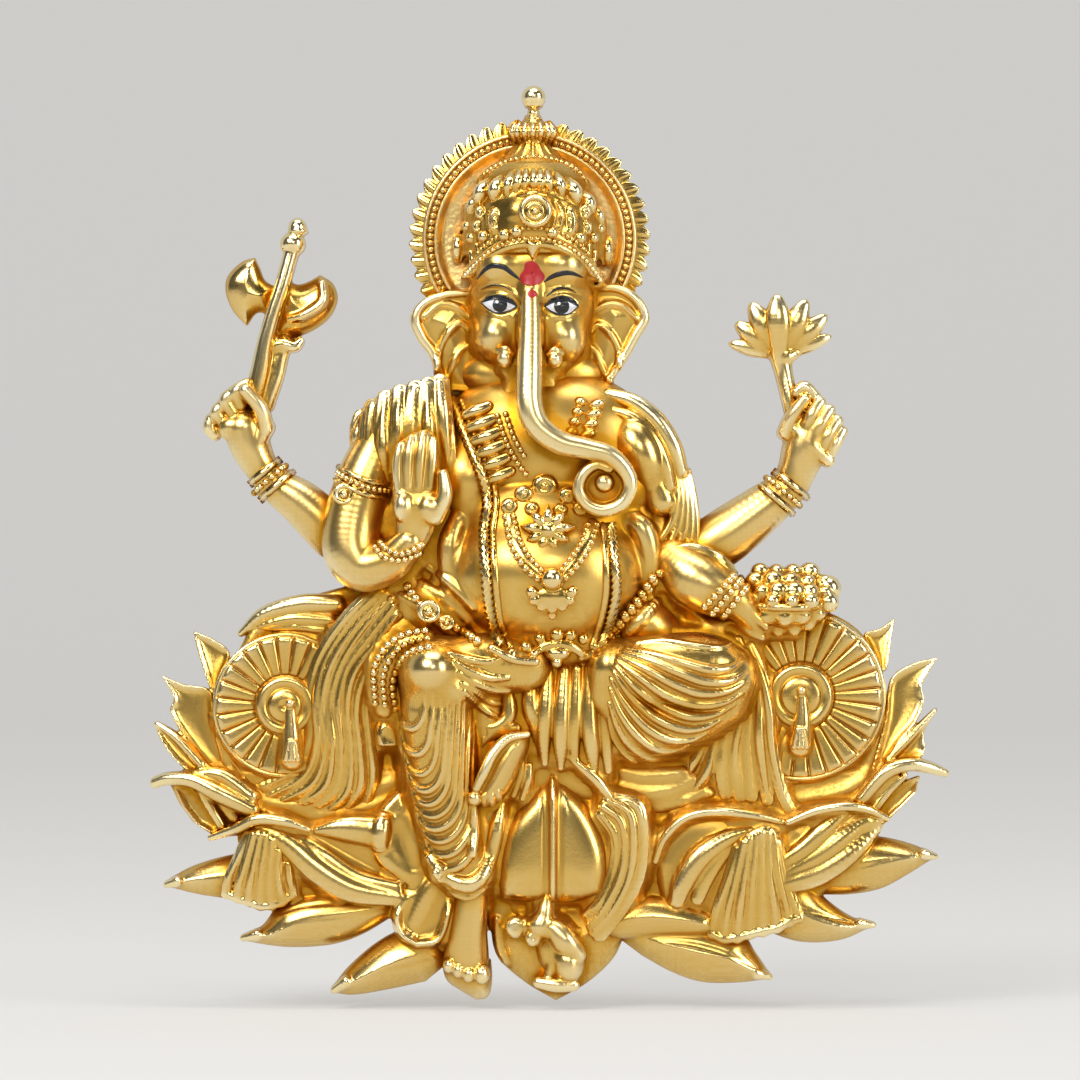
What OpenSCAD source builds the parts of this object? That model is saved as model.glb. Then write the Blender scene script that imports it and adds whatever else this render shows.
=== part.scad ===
// Seated elephant-headed figure in high relief on an open lotus, made of castings
// soldered side by side on a flat back plate. The front faces -Y, +Z is up, the back lies at y = 0.
// Right and left are the figure's own.

/* [Back plate] */
// Thickness of the flat plate that carries every casting
plate_t = 2; // [1.2:0.1:4]

/* [Lotus seat] */
// Height of the seat block above the plate
seat_t = 3; // [2:0.1:4]
// Rise of a petal from its rim to its midrib
petal_rise = 1.5; // [0.8:0.1:2.2]
// Rise of the upright centre petal above its rim
centre_rise = 3; // [1.5:0.1:4]

/* [Bolsters] */
// Radius of the right bolster's round end
bolster_right_r = 9.2; // [8:0.1:10]
// Radius of the left bolster's round end
bolster_left_r = 10.6; // [9:0.1:11.5]
// Depth of a bolster at its rim
bolster_t = 4; // [3:0.1:5]
// Rise of a flute from its valley to its crest
flute_rise = 0.9; // [0.4:0.1:1.4]
// Flutes round a bolster end
flutes = 24; // [16:1:32]
// Radius of the boss in the middle of a bolster end
hub_r = 3.8; // [3:0.1:5]
// Radius of a tassel at its foot
tassel_r = 1.3; // [0.8:0.1:1.8]

/* [Halo] */
// Radius of the halo disc, to the root of the rays
halo_r = 13.3; // [12:0.1:14.5]
// Thickness of the halo disc at its field
halo_t = 1.6; // [1:0.1:2.4]
// Height of the two ridges that hold the ring of beads
halo_ridge = 0.5; // [0.2:0.1:0.8]
// Length of a flame ray
ray_len = 2.8; // [1.5:0.1:4]
// Flame rays round the halo
rays = 46; // [30:1:60]
// Radius of a bead in the halo
halo_bead_r = 0.42; // [0.3:0.02:0.6]

/* [Crown] */
// Radius of the crown at its widest
crown_r = 8.5; // [7.5:0.1:9.5]
// Radius of the ribbed bulb on the spire
bulb_r = 2.6; // [2:0.1:3.2]
// Radius of the ball at the top
finial_r = 1.5; // [1:0.1:2]
// Radius of the round medallion on the front
medallion_r = 2; // [1.4:0.1:2.6]
// Radius of a petal in the row round the dome
crown_petal_r = 1.05; // [0.7:0.05:1.4]
// Radius of the brow band
brow_r = 0.75; // [0.5:0.05:1.1]

/* [Head and body] */
// Depth of the head at the level of the eyes
head_deep = 11.2; // [9:0.1:13]
// Depth of the belly at its fullest
belly_deep = 13.4; // [11:0.1:15]
// Radius of the trunk where it leaves the brow
trunk_r = 1.9; // [1.4:0.05:2.3]
// Radius of a tusk stump
tusk_r = 0.95; // [0.6:0.05:1.2]
// Depth of the right knee
knee_deep = 17; // [14:0.1:19]
// Depth of the folded left leg
thigh_deep = 13; // [10:0.1:15]

/* [Ornaments] */
// Radius of the rope that hangs from the shoulder to the lap
rope_r = 0.7; // [0.5:0.05:1]
// Radius of a bead string
string_r = 0.75; // [0.5:0.05:1]
// Radius of the sunburst on the chest
sunburst_r = 3; // [2:0.1:3.6]
// Radius of the ball pendant
pendant_r = 1.4; // [1:0.05:1.8]
// Radius of a bangle's wire
bangle_r = 0.6; // [0.4:0.05:0.9]
// Radius of the axe handle
handle_r = 0.8; // [0.5:0.05:1.1]
// Thickness of the axe blades
blade_t = 1.4; // [0.8:0.1:2]
// Radius of the lotus stem
stem_r = 0.7; // [0.5:0.05:1]
// Radius of the sweet bowl at its rim
bowl_r = 5.6; // [4.5:0.1:6.2]
// Radius of a sweet
sweet_r = 1.25; // [0.9:0.05:1.6]

/* [Hidden] */

$fn = 48;
// Sides of a faceted limb and of a faceted cord
limb_sides = 8;
trunk_steps = 18;
cord_sides = 6;
gold = [0.86, 0.66, 0.26];
deep_gold = [0.72, 0.50, 0.16];
pale_gold = [0.93, 0.78, 0.45];
red = [0.70, 0.05, 0.05];

// Width of a nick in the plate's outline that is filled
plate_nick = 0.4;
// Depths above the plate that castings share
halo_rim = halo_t + halo_ridge;
halo_front = halo_t + max(halo_ridge, 2 * halo_bead_r);
bolster_front = bolster_t + flute_rise;
petal_rim = seat_t + 0.8;
petal_front = petal_rim + petal_rise;

// Centres in the picture plane
halo_at = [-1.9, 38];
head_x = -1.6;
crown_z = 36.9;
chin_z = 19.6;
waist_z = -15.4;
bolster_right_at = [-32.5, -20.4];
bolster_left_at = [31.9, -19.1];
bowl_at = [30.3, -7.5];

// Torso from the waist to the neck: level, middle, half width, depth
torso_rows = [
    [waist_z, -0.5, 9.4, belly_deep - 4.4],
    [-12.9, -0.6, 10.4, belly_deep - 2.4],
    [-9.8, -1, 11.8, belly_deep - 0.6],
    [-6, -0.9, 13, belly_deep],
    [-1, -0.2, 13.1, belly_deep - 1],
    [4, -0.2, 12.2, belly_deep - 2.8],
    [9, 0, 13.1, belly_deep - 3.1],
    [15.2, -0.6, 12.5, belly_deep - 4.4],
    [chin_z, -2.2, 9.6, belly_deep - 6.4]
];

// Head from the chin to the crown: level, half width, depth
head_rows = [
    [chin_z, 3.2, head_deep - 3.7],
    [21, 5.4, head_deep - 2],
    [24, 7.2, head_deep - 0.4],
    [27.8, 7.8, head_deep + 0.2],
    [31, 7.7, head_deep],
    [34, 7.9, head_deep + 0.4],
    [crown_z, 7.4, head_deep - 0.4]
];

// Swellings of the head: place, spread, rise
head_lumps = [
    [-6, 25.8, 1.7, 2.1, 1],
    [2.3, 25.7, 1.7, 2.1, 1],
    [-5.6, 29.7, 2, 1.1, -0.6],
    [2.1, 29.5, 2, 1.1, -0.6],
    [-5.1, 34.8, 2.4, 1.6, 0.7],
    [1.9, 34.8, 2.4, 1.6, 0.7]
];

// Trunk from the brow to the curl: place and share of the root radius
trunk_line = [
    [-1.8, 31.5, 0.68], [-1.8, 26.5, 0.88], [-1.9, 21.5, 1], [-1.9, 17.1, 1],
    [-0.6, 14.2, 0.95], [1.9, 12.5, 0.9], [5, 11.5, 0.8], [7.9, 10.6, 0.7],
    [9.8, 8.8, 0.62], [10.2, 6.9, 0.55], [9.4, 5.1, 0.5], [7.5, 4.2, 0.48],
    [5.5, 4.8, 0.45], [4.3, 6.5, 0.42], [4.7, 8.4, 0.38], [6.2, 9.4, 0.33], [7.9, 9.2, 0.28]
];

// Limbs: place, depth, radius
rear_arm_right_line = [
    [-23.5, -1, 2, 3.2], [-27.1, 1.5, 2.2, 3.1], [-30.6, 4.8, 2.2, 2.8], [-35.2, 9, 2.2, 2.1],
    [-36.6, 11.5, 2.4, 2.2], [-37.6, 14.2, 2.6, 2.5], [-37.4, 16.6, 2.4, 2.2]
];
rear_fingers_right = [
    [[-39.4, 14.4, 3, 1.4], [-41.3, 14.7, 2.6, 1]],
    [[-38.6, 16.4, 3.4, 1.1], [-40.1, 17.1, 3, 1]],
    [[-37.6, 17.6, 3.6, 1.1], [-39, 19, 3, 1]],
    [[-37.9, 19.2, 3.2, 0.9], [-35, 15.9, 3.4, 0.9]]
];
rear_arm_left_line = [
    [18.5, -1.6, 2, 3.2], [21.3, -0.4, 2.2, 3.2], [25, 2.3, 2.2, 3], [30, 6.6, 2.2, 2.4],
    [31.2, 8.6, 2.2, 2.1], [32.6, 11.6, 2.4, 2.3], [33.8, 14.6, 2.4, 2.3]
];
rear_fingers_left = [
    [[30.6, 15.2, 3, 0.9], [32.6, 18, 3.2, 0.9]],
    [[33.2, 15.9, 3.6, 1], [34.2, 17.2, 3, 0.9]],
    [[34.6, 15.4, 3.6, 1], [35.9, 16, 3, 0.9]],
    [[35.8, 14.4, 3.4, 1], [37, 13.8, 2.8, 0.9]],
    [[31.9, 13.4, 3.6, 1], [35.2, 11.2, 3.2, 1]]
];
front_arm_right_line = [
    [-20.8, 12.4, 4, 3], [-22.8, 8, 4.2, 3.2], [-23.8, 3, 4.6, 3.3], [-23.6, -0.6, 5.4, 3.4],
    [-21.4, -2.2, 6.4, 3.2], [-18.4, -1.2, 8, 2.7], [-16.6, 1, 9.4, 2.5], [-16, 3.4, 10, 2.8]
];
front_fingers_right = [
    [[-18, 4, 10.2, 1.2], [-17.6, 8, 11, 0.9], [-16.8, 12.5, 11, 0.75]],
    [[-16.6, 5, 10.6, 1.2], [-16.2, 9, 11.6, 0.9], [-15.5, 13.4, 11.6, 0.75]],
    [[-15.2, 5, 10.6, 1.2], [-14.8, 9, 11.6, 0.9], [-14.2, 13.1, 11.6, 0.75]],
    [[-14, 4, 10.2, 1.2], [-13.4, 8.6, 11.2, 0.9], [-12.9, 12.4, 11, 0.75]],
    [[-13.2, 3, 10.4, 1.1], [-12.4, 4.8, 11.6, 1], [-12.8, 8, 12.2, 0.8]]
];
front_arm_left_line = [
    [13.5, -2.6, 4, 3], [17, -3.9, 4.6, 3.3], [20.4, -5.2, 4.8, 3.1], [23, -6.6, 4.8, 2.6],
    [24.8, -8.8, 4.6, 2.2], [26.2, -11, 4.2, 1.7]
];
right_leg_rows = [
    [-10.2, -45, 3, 4, 11], [-10.7, -38, 3.8, 4.4, 12.4], [-11.8, -30, 4.4, 4.4, 13.6],
    [-12.6, -23, 5, 4.4, 15.4], [-13.4, -16, 5.7, 4.4, knee_deep], [-13.2, -11.6, 4.6, 4.4, knee_deep - 2.4]
];
right_foot_line = [
    [-10.2, -45.4, 8.4, 2.5], [-10.1, -49, 8, 2.4], [-9.9, -52.6, 7.4, 2.7], [-9.7, -55, 6.6, 2.3]
];
left_foot_line = [
    [-1, -22.4, 8, 2.2], [-3, -25.4, 8.4, 2.8], [-5, -28.6, 8.2, 2.7], [-6.8, -31.8, 7.4, 2.2]
];

// Flat outlines
axe_blade_right = [
    [-36.4, 35.5], [-38.4, 34.8], [-39.8, 33.2], [-40.1, 31.4], [-39.2, 29], [-37.2, 27.4],
    [-36.8, 29.4], [-35.4, 30.8], [-33.4, 30.4], [-32.8, 32.6], [-34.6, 33.6]
];
axe_blade_left = [
    [-28.4, 33.5], [-26.8, 32.4], [-26.2, 30.8], [-26.8, 28.8], [-28.4, 27.1], [-31, 26.1],
    [-34.6, 27.2], [-32.6, 32], [-31, 32.4]
];
plate_chains = [
    [[-2, 30, 8], [-1, 14, 12], [-0.6, -8, 13], [0, -30, 20]],
    [[-13, 14, 5], [-19, 10, 4], [-22.6, 2, 3.4], [-19, -6, 6], [-20, -16, 6]],
    [[9, 14, 5], [15, 8, 4], [17, 0, 4], [18, -8, 6], [26, -12, 4], [31, -9, 4]],
    [[0, -46, 9], [1.2, -54, 2.4]],
    [[-16, -48, 4], [-24, -53.4, 1.2]],
    [[16, -48, 4], [25, -53, 1]],
    [[-38, -16, 2], [-40.6, -15, 1.6], [-42.6, -13, 0.6]],
    [[-38, -22, 4], [-44, -19.6, 2.2], [-46.8, -17.4, 0.6]],
    [[-40, -28, 3], [-44.6, -25.8, 1.6], [-47.6, -23.2, 0.5]],
    [[-35, -32, 3], [-42, -30.2, 1.6], [-47, -30.1, 0.5]],
    [[39, -16, 2], [41.4, -14, 1.6], [43, -11, 0.5]],
    [[39, -22, 4], [44.6, -20, 2.2], [48, -15.6, 0.6]],
    [[41, -28, 3], [45.4, -25.6, 1.6], [48.2, -21.6, 0.5]],
    [[36, -32, 3], [43, -29.2, 1.6], [48.4, -28.6, 0.5]],
    [[-33, -42, 3], [-41, -41.4, 1.8], [-45.8, -42.4, 0.5]],
    [[-24, -46, 2], [-30, -47.4, 1.6], [-36, -49, 0.5]],
    [[33, -40, 4], [42, -41, 1.8], [47, -40, 0.5]],
    [[30, -44, 2], [35.4, -46.2, 1.4], [39.4, -47.2, 0.4]],
    [[-22, -1, 3], [-30.6, 4.8, 2.4], [-35.2, 9, 1.8], [-37.8, 14.6, 2.2], [-36.4, 19.6, 0.5]],
    [[-36.4, 19.6, 0.5], [-34.2, 29, 0.5], [-31.6, 37.4, 1]],
    [[18.5, -1.6, 2.8], [25, 2.3, 2.6], [30, 6.6, 2], [33.4, 13.6, 2]],
    [[33.4, 13.6, 2], [30.4, 19.6, 0.4], [29.4, 24, 0.5], [29.8, 26.4, 1.8]]
];

// Petals from root to tip: root, shoulder, tip, half width, depth of the rim at root and tip
rear_right_petals = [
    [[-38, -20], [-41, -15.6], [-44.1, -11.4], 2.3, 2, 1.2],
    [[-38.5, -25.5], [-43.6, -21.5], [-48.2, -16.6], 3.4, 2.4, 1.2],
    [[-38.5, -30], [-44.2, -26.6], [-49, -22.4], 2.6, 2.6, 1.2],
    [[-36.5, -32.4], [-42.4, -29.6], [-48.8, -30.2], 2.2, 4, 1.6]
];
rear_left_petals = [
    [[39, -18], [41.6, -14], [43.8, -9.6], 2.2, 2, 1.2],
    [[39.5, -25], [44.6, -20.6], [49.1, -14.5], 3.4, 2.4, 1.2],
    [[40, -30], [45, -26.6], [49.1, -20.8], 2.6, 2.6, 1.2],
    [[38.6, -32.2], [43.4, -28.8], [50, -28.6], 2.2, 4, 1.6]
];
front_right_petals = [
    [[-36.4, -41.4], [-41.2, -41.2], [-47.4, -42.6], 2.8, 2.4, 1.2],
    [[-22.6, -46.8], [-29.4, -47.2], [-37.8, -49.4], 2.5, 4.4, 2.6],
    [[-14, -49.6], [-19.6, -52], [-26.6, -56], 3.1, 4.2, 2],
    [[-18.6, -43.4], [-29, -38.2], [-41.6, -36.6], 3.1, 5.2, 3.4]
];
front_left_petals = [
    [[39, -41.6], [43, -41], [48.8, -39.6], 2.6, 2.4, 1.2],
    [[30, -45.9], [35.2, -46.2], [40.9, -47.6], 2, 4.4, 2.6],
    [[9.6, -49.6], [18.6, -52.6], [28, -54.2], 3, 4.2, 2],
    [[30.6, -41.2], [36.6, -36.4], [42.6, -34.2], 3.4, 4.4, 2.8],
    [[15, -42.4], [20.6, -36.6], [29.6, -34.8], 3.4, 5.2, 4]
];
// Share of a petal's half width from root to tip
petal_girth = [[0, 0.72], [0.35, 1], [0.6, 0.86], [0.82, 0.48], [1, 0.06]];

// Smooth curve through a list of rows, v from 0 to 1
function spline(p, v) =
    let (n = len(p) - 1, s = min(v * n, n - 0.0001), i = floor(s), t = s - i)
    let (a = p[max(i - 1, 0)], b = p[i], c = p[i + 1], d = p[min(i + 2, n)])
    0.5 * (2 * b + (c - a) * t + (2 * a - 5 * b + 4 * c - d) * t * t + (3 * b - a - 3 * c + d) * t * t * t);
function heading(p, v) =
    let (q = spline(p, min(v + 0.02, 1)) - spline(p, max(v - 0.02, 0)))
    [q[0], q[1]] / norm([q[0], q[1]]);
function to_left(h) = [-h[1], h[0]];
function column(rows, k) = [for (r = rows) [r[0], r[k]]];
function mix(a, b, t) = a + (b - a) * t;
function swelling(x, z, g) = g[4] * exp(-pow((x - g[0]) / g[2], 2) - pow((z - g[1]) / g[3], 2));
function total(list, i = 0) = i == len(list) ? 0 : list[i] + total(list, i + 1);

torso_mid = column(torso_rows, 1);
torso_half = column(torso_rows, 2);
torso_deep = column(torso_rows, 3);
head_half = column(head_rows, 1);
head_depth = column(head_rows, 2);

// Depth of the body and of the head at a place in the picture plane
function torso_front(x, z) =
    let (s = (x - lookup(z, torso_mid)) / lookup(z, torso_half))
    abs(s) >= 1 ? 0 : lookup(z, torso_deep) * sqrt(1 - s * s);
function head_front(x, z) =
    let (s = (x - head_x) / lookup(z, head_half))
    z < chin_z || abs(s) >= 1 ? 0
        : lookup(z, head_depth) * sqrt(1 - s * s) + total([for (g = head_lumps) swelling(x, z, g)]);
function body_front(x, z) = max(torso_front(x, z), head_front(x, z));

// Turns picture coordinates (across, up, towards the viewer) into the part's frame
module facing() translate([0, -plate_t, 0]) rotate([90, 0, 0]) children();

// Everything nearer the back than a level
module below(level) translate([-80, -80, level - 40]) cube([160, 160, 40]);

// Convex block over a list of points
module block(points) hull() polyhedron(points, [for (i = [0 : len(points) - 3]) [i, i + 1, i + 2]]);

// Closed relief: a grid front, straight walls and a flat back at the level "base"
module skin(rows, cols, at, base) {
    n = cols + 1;
    first = n * (rows + 1);
    middle = first + n;
    last = middle + 2 * (rows - 1);
    lefts = [for (j = [0 : rows]) j == 0 ? first : j == rows ? last : middle + 2 * (j - 1)];
    rights = [for (j = [0 : rows]) j == 0 ? first + cols : j == rows ? last + cols : middle + 2 * j - 1];
    front = [for (j = [0 : rows]) for (i = [0 : cols]) at(i / cols, j / rows)];
    flat = [for (q = front) [q[0], q[1], base]];
    points = concat(
        front,
        [for (i = [0 : cols]) flat[i]],
        [for (j = [1 : rows - 1]) each [flat[j * n], flat[j * n + cols]]],
        [for (i = [0 : cols]) flat[rows * n + i]]
    );
    faces = concat(
        [for (j = [0 : rows - 1]) for (i = [0 : cols - 1])
            let (a = j * n + i, c = a + n) each [[a, c, c + 1], [a, c + 1, a + 1]]],
        [for (j = [0 : rows - 1])
            let (a = j * n, c = a + n) each [[lefts[j], lefts[j + 1], c], [lefts[j], c, a]]],
        [for (j = [0 : rows - 1])
            let (a = j * n + cols, c = a + n) each [[a, c, rights[j + 1]], [a, rights[j + 1], rights[j]]]],
        [for (i = [0 : cols - 1]) each [[i, i + 1, first + i + 1], [i, first + i + 1, first + i]]],
        [for (i = [0 : cols - 1])
            let (c = rows * n + i) each [[c + 1, c, last + i], [c + 1, last + i, last + i + 1]]],
        [for (i = [0 : cols - 1]) [first + i, first + i + 1, lefts[1]]],
        [[first + cols, rights[1], lefts[1]]],
        [for (j = [1 : 1 : rows - 2])
            each [[lefts[j], rights[j], rights[j + 1]], [lefts[j], rights[j + 1], lefts[j + 1]]]],
        [[lefts[rows - 1], rights[rows - 1], last + cols]],
        [for (i = [0 : cols - 1]) [lefts[rows - 1], last + i + 1, last + i]]
    );
    polyhedron(points, faces);
}

// Draped cloth between two edges listed from the hem up, with folds running along it
module cloth(left, right, rows, folds, rim, crest, bulge, base) {
    skin(rows, folds * 4,
        function(u, v)
            let (q = mix(spline(left, v), spline(right, v), u))
            [q[0], q[1], rim + bulge * sin(180 * u) + (crest - rim) * (0.5 - 0.5 * cos(360 * folds * u))],
        base);
}

// A lump on a straight skirt, and a limb of such lumps along a smooth line
module lump(p, base) {
    translate([p[0], p[1], p[2]]) sphere(p[3]);
    translate([p[0], p[1], base]) cylinder(r = p[3], h = p[2] - base);
}
module limb(line, steps, base, $fn = limb_sides) {
    for (i = [0 : steps - 1]) {
        hull() {
            lump(spline(line, i / steps), base);
            lump(spline(line, (i + 1) / steps), base);
        }
    }
}

// A round cord laid along a list of places and depths
module cord(line, steps, r) {
    for (i = [0 : steps - 1]) {
        hull() {
            translate(spline(line, i / steps)) sphere(r, $fn = cord_sides);
            translate(spline(line, (i + 1) / steps)) sphere(r, $fn = cord_sides);
        }
    }
}

// The same line lifted on to the body
function on_body(line, lift) = [for (p = line) [p[0], p[1], body_front(p[0], p[1]) + lift]];

// Ridged relief along rows of place, half width, rim depth and crest depth
module ridge(line, steps, base) {
    for (i = [0 : steps - 1]) {
        block(concat(ridge_section(line, i / steps, base), ridge_section(line, (i + 1) / steps, base)));
    }
}
function ridge_section(line, v, base) =
    let (q = spline(line, v), side = to_left(heading(line, v)) * q[2], c = [q[0], q[1]])
    [
        each [for (s = [-1, 1]) let (e = c + side * s) [e[0], e[1], base]],
        each [for (s = [-1, 1]) let (e = c + side * s) [e[0], e[1], q[3]]],
        [c[0], c[1], q[4]]
    ];

// Rounded relief along the same kind of rows
module swell(line, steps, base) {
    for (i = [0 : steps - 1]) {
        block(concat(swell_section(line, i / steps, base), swell_section(line, (i + 1) / steps, base)));
    }
}
function swell_section(line, v, base) =
    let (q = spline(line, v), side = to_left(heading(line, v)) * q[2], c = [q[0], q[1]])
    [
        each [for (s = [-1, 1]) let (e = c + side * s) [e[0], e[1], base]],
        each [for (a = [0 : 30 : 180]) let (e = c + side * cos(a)) [e[0], e[1], mix(q[3], q[4], sin(a))]]
    ];

// The same ridged relief as one closed shell
module keel(line, rows, base) {
    skin(rows, 4,
        function(u, v)
            let (q = spline(line, v), e = [q[0], q[1]] + to_left(heading(line, v)) * q[2] * (1 - 2 * u))
            [e[0], e[1], mix(q[4], q[3], abs(1 - 2 * u))],
        base);
}

// A lotus petal: root, shoulder, tip, half width, rim depth at root and tip
function petal_line(p) = [
    for (g = petal_girth)
        let (t = g[0], c = spline([p[0], p[1], p[2]], t), rim = mix(p[4], p[5], t * t))
        [c[0], c[1], p[3] * g[1], rim, rim + petal_rise * (1 - 0.75 * t)]
];
module petal(p) keel(petal_line(p), 5, 0);

// Half of a turned piece with its axis upright, standing on the halo
module half_turned(profile, level) {
    translate([head_x, -plate_t - level, 0]) rotate([0, 0, 180]) rotate_extrude(angle = 180) polygon(profile);
}

// Plain bodies that neighbours are cut to
module torso_form() {
    skin(11, 12,
        function(u, v)
            let (z = mix(waist_z, chin_z, v), s = -cos(180 * u), w = lookup(z, torso_half))
            [lookup(z, torso_mid) + w * s, z, max(lookup(z, torso_deep) * sin(180 * u), 0.6)],
        0);
}
module head_form() {
    skin(11, 12,
        function(u, v)
            let (z = mix(chin_z, crown_z, v), s = -cos(180 * u), x = head_x + lookup(z, head_half) * s)
            [x, z, max(head_front(x, z), 0.6)],
        0);
}
module halo_blank() {
    translate([halo_at[0], halo_at[1], -1]) cylinder(r = halo_r + ray_len, h = halo_front + 1);
}
module bolster_blank(at, r) translate([at[0], at[1], -1]) cylinder(r = r, h = bolster_front + 1);
module bolster_blanks() {
    bolster_blank(bolster_right_at, bolster_right_r);
    bolster_blank(bolster_left_at, bolster_left_r);
}
module seat_outline() {
    hull() {
        translate([-31, -39]) circle(5);
        translate([31, -39]) circle(5);
        translate([-15, -48]) circle(4);
        translate([15, -48]) circle(4);
        translate([-18, waist_z - 4]) circle(4);
        translate([18, waist_z - 4]) circle(4);
    }
}
module seat_form() translate([0, 0, -1]) linear_extrude(seat_t + 1) seat_outline();
module dome_form() half_turned(dome_profile, halo_front);
module dome_seat() translate([head_x, -plate_t - halo_front, crown_z]) cylinder(r = crown_r, h = 2 * brow_r);
dome_profile = [
    [0, crown_z], [crown_r - 0.5, crown_z], [crown_r, crown_z + 3], [crown_r - 0.2, crown_z + 5.6],
    [crown_r - 1.6, crown_z + 7.6], [crown_r - 2.6, crown_z + 9], [crown_r - 3.6, crown_z + 10.4],
    [crown_r - 4.4, crown_z + 11.2], [0, crown_z + 11.2]
];
module right_leg_form() swell(right_leg_rows, 14, seat_t);
module left_leg_form() {
    cloth([[25.2, -20.6], [18.2, -24.8], [13.2, -27.2], [8.4, -25.6]],
        [[24.4, -12.6], [21.4, -10.4], [14.4, -11.6], [7.4, -14.2]],
        6, 5, 6.4, thigh_deep - 4.6, 4.6, seat_t);
}
module front_arm_right_form() {
    limb(front_arm_right_line, 8, 0);
    for (f = front_fingers_right) {
        limb(f, 2, 7, $fn = cord_sides);
    }
}
module front_arm_left_form() limb(front_arm_left_line, 8, 0);
module rear_arm_right_form() {
    limb(rear_arm_right_line, 7, 0);
    for (f = rear_fingers_right) {
        limb(f, 1, 0, $fn = cord_sides);
    }
}
module rear_arm_left_form() {
    limb(rear_arm_left_line, 7, 0);
    for (f = rear_fingers_left) {
        limb(f, 1, 0, $fn = cord_sides);
    }
}

module plate_outline() {
    translate(halo_at) circle(halo_r - 0.4);
    translate(bolster_right_at) circle(bolster_right_r - 0.4);
    translate(bolster_left_at) circle(bolster_left_r - 0.4);
    seat_outline();
    for (chain = plate_chains) {
        for (i = [0 : len(chain) - 2]) {
            hull() {
                for (p = [chain[i], chain[i + 1]]) {
                    translate([p[0], p[1]]) circle(p[2], $fn = p[2] > 2 ? 10 : 6);
                }
            }
        }
    }
}
// Narrow nicks between the arms of the outline are filled
module back_plate() {
    color(deep_gold) facing() translate([0, 0, -plate_t]) linear_extrude(plate_t)
        offset(delta = -plate_nick) offset(delta = plate_nick) plate_outline($fn = 24);
}

module seat_block() {
    color(deep_gold) facing() difference() {
        linear_extrude(seat_t) seat_outline();
        bolster_blanks();
    }
}

module petal_group(petals) {
    difference() {
        for (p = petals) {
            petal(p);
        }
        seat_form();
        bolster_blanks();
    }
}
// Low bed that joins the roots of the rear petals
module petal_bed(places) {
    difference() {
        for (i = [0 : len(places) - 2]) {
            hull() {
                for (p = [places[i], places[i + 1]]) {
                    translate([p[0], p[1], 0]) cylinder(r = 2.2, h = 1, $fn = 10);
                }
            }
        }
        seat_form();
        bolster_blanks();
    }
}
module rear_petals_right() {
    color(gold) facing() {
        petal_group(rear_right_petals);
        petal_bed([[-40.6, -16], [-42.4, -21.6], [-42, -27], [-39.4, -31]]);
    }
}
module rear_petals_left() {
    color(gold) facing() {
        petal_group(rear_left_petals);
        petal_bed([[41.4, -14], [43.4, -20.4], [43.4, -26.4], [40.8, -30.6]]);
    }
}
module front_petals_right() {
    color(pale_gold) facing() petal_group(front_right_petals);
}
module front_petals_left() {
    color(pale_gold) facing() petal_group(front_left_petals);
}

centre_rows = [
    [1, -43.6, 3.4, petal_rim, petal_front], [1, -40.4, 6.2, petal_rim, petal_rim + centre_rise],
    [0.9, -36.6, 6, petal_rim, petal_rim + centre_rise], [0.8, -32.6, 3.6, petal_rim, petal_front],
    [0.6, -29.2, 0.3, petal_rim, petal_rim + 0.3]
];
module centre_form() ridge(centre_rows, 9, seat_t);
module centre_petal() {
    color(pale_gold) facing() centre_form();
}
bottom_rows = [
    [1, -44, 7.4, petal_rim, petal_front - 0.4], [1.1, -48.6, 7.2, petal_rim, petal_front],
    [1.2, -52, 4.6, petal_rim - 0.8, petal_front - 0.6], [1.2, -55.2, 2, petal_rim - 1.6, petal_rim - 0.6],
    [1.3, -57.2, 0.3, 1.6, 1.9]
];
module bottom_form() ridge(bottom_rows, 9, 0);
module bottom_petal() {
    color(pale_gold) facing() difference() {
        bottom_form();
        seat_form();
        centre_form();
        for (p = front_right_petals) {
            petal(p);
        }
        for (p = front_left_petals) {
            petal(p);
        }
    }
}

mouse_line = [[0.2, -45.6, 6.4, 0.8], [-0.6, -48.2, 7, 1.4], [1.2, -50.4, 7, 1.9], [3.2, -51, 6.8, 2.2]];
mouse_limbs = [
    [[-3.6, -48.4, 6.8, 1.1], [-3.4, -48.6, 7.2, 1.1]],
    [[-1.4, -49.8, 6.8, 1], [-1.2, -49.9, 7.4, 1]],
    [[3.6, -52.8, 6.2, 1.7], [0.6, -54.8, 5.2, 0.8]],
    [[3.4, -49, 6, 0.8], [5.4, -48.4, 5.8, 0.6]]
];
module mouse_form() {
    limb(mouse_line, 4, 1);
    for (m = mouse_limbs) {
        limb(m, 1, 1, $fn = cord_sides);
    }
}
module mouse() {
    color(gold) facing() difference() {
        mouse_form();
        bottom_form();
        seat_form();
        centre_form();
    }
}

// Round bolster end: fluted face between a hub and a rim
module fluted_disc(r) {
    steps = flutes * 3;
    function ring(radius, depth) = [for (k = [0 : steps - 1]) let (a = 360 * k / steps)
        [radius * cos(a), radius * sin(a), depth(a)]];
    wave = function(a) bolster_t + flute_rise * (0.5 + 0.5 * cos(a * flutes));
    points = concat(
        ring(r, function(a) 0), ring(r, function(a) bolster_t - 1), ring(r - 0.7, wave),
        ring(hub_r - 0.2, function(a) bolster_t), [[0, 0, 0], [0, 0, bolster_t]]
    );
    faces = [for (k = [0 : steps - 1]) let (m = (k + 1) % steps)
        each concat(
            [[4 * steps, k, m]],
            [for (b = [0 : 2]) each [
                [b * steps + k, (b + 1) * steps + k, (b + 1) * steps + m],
                [b * steps + k, (b + 1) * steps + m, b * steps + m]
            ]],
            [[3 * steps + k, 4 * steps + 1, 3 * steps + m]]
        )];
    polyhedron(points, faces);
}
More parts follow.
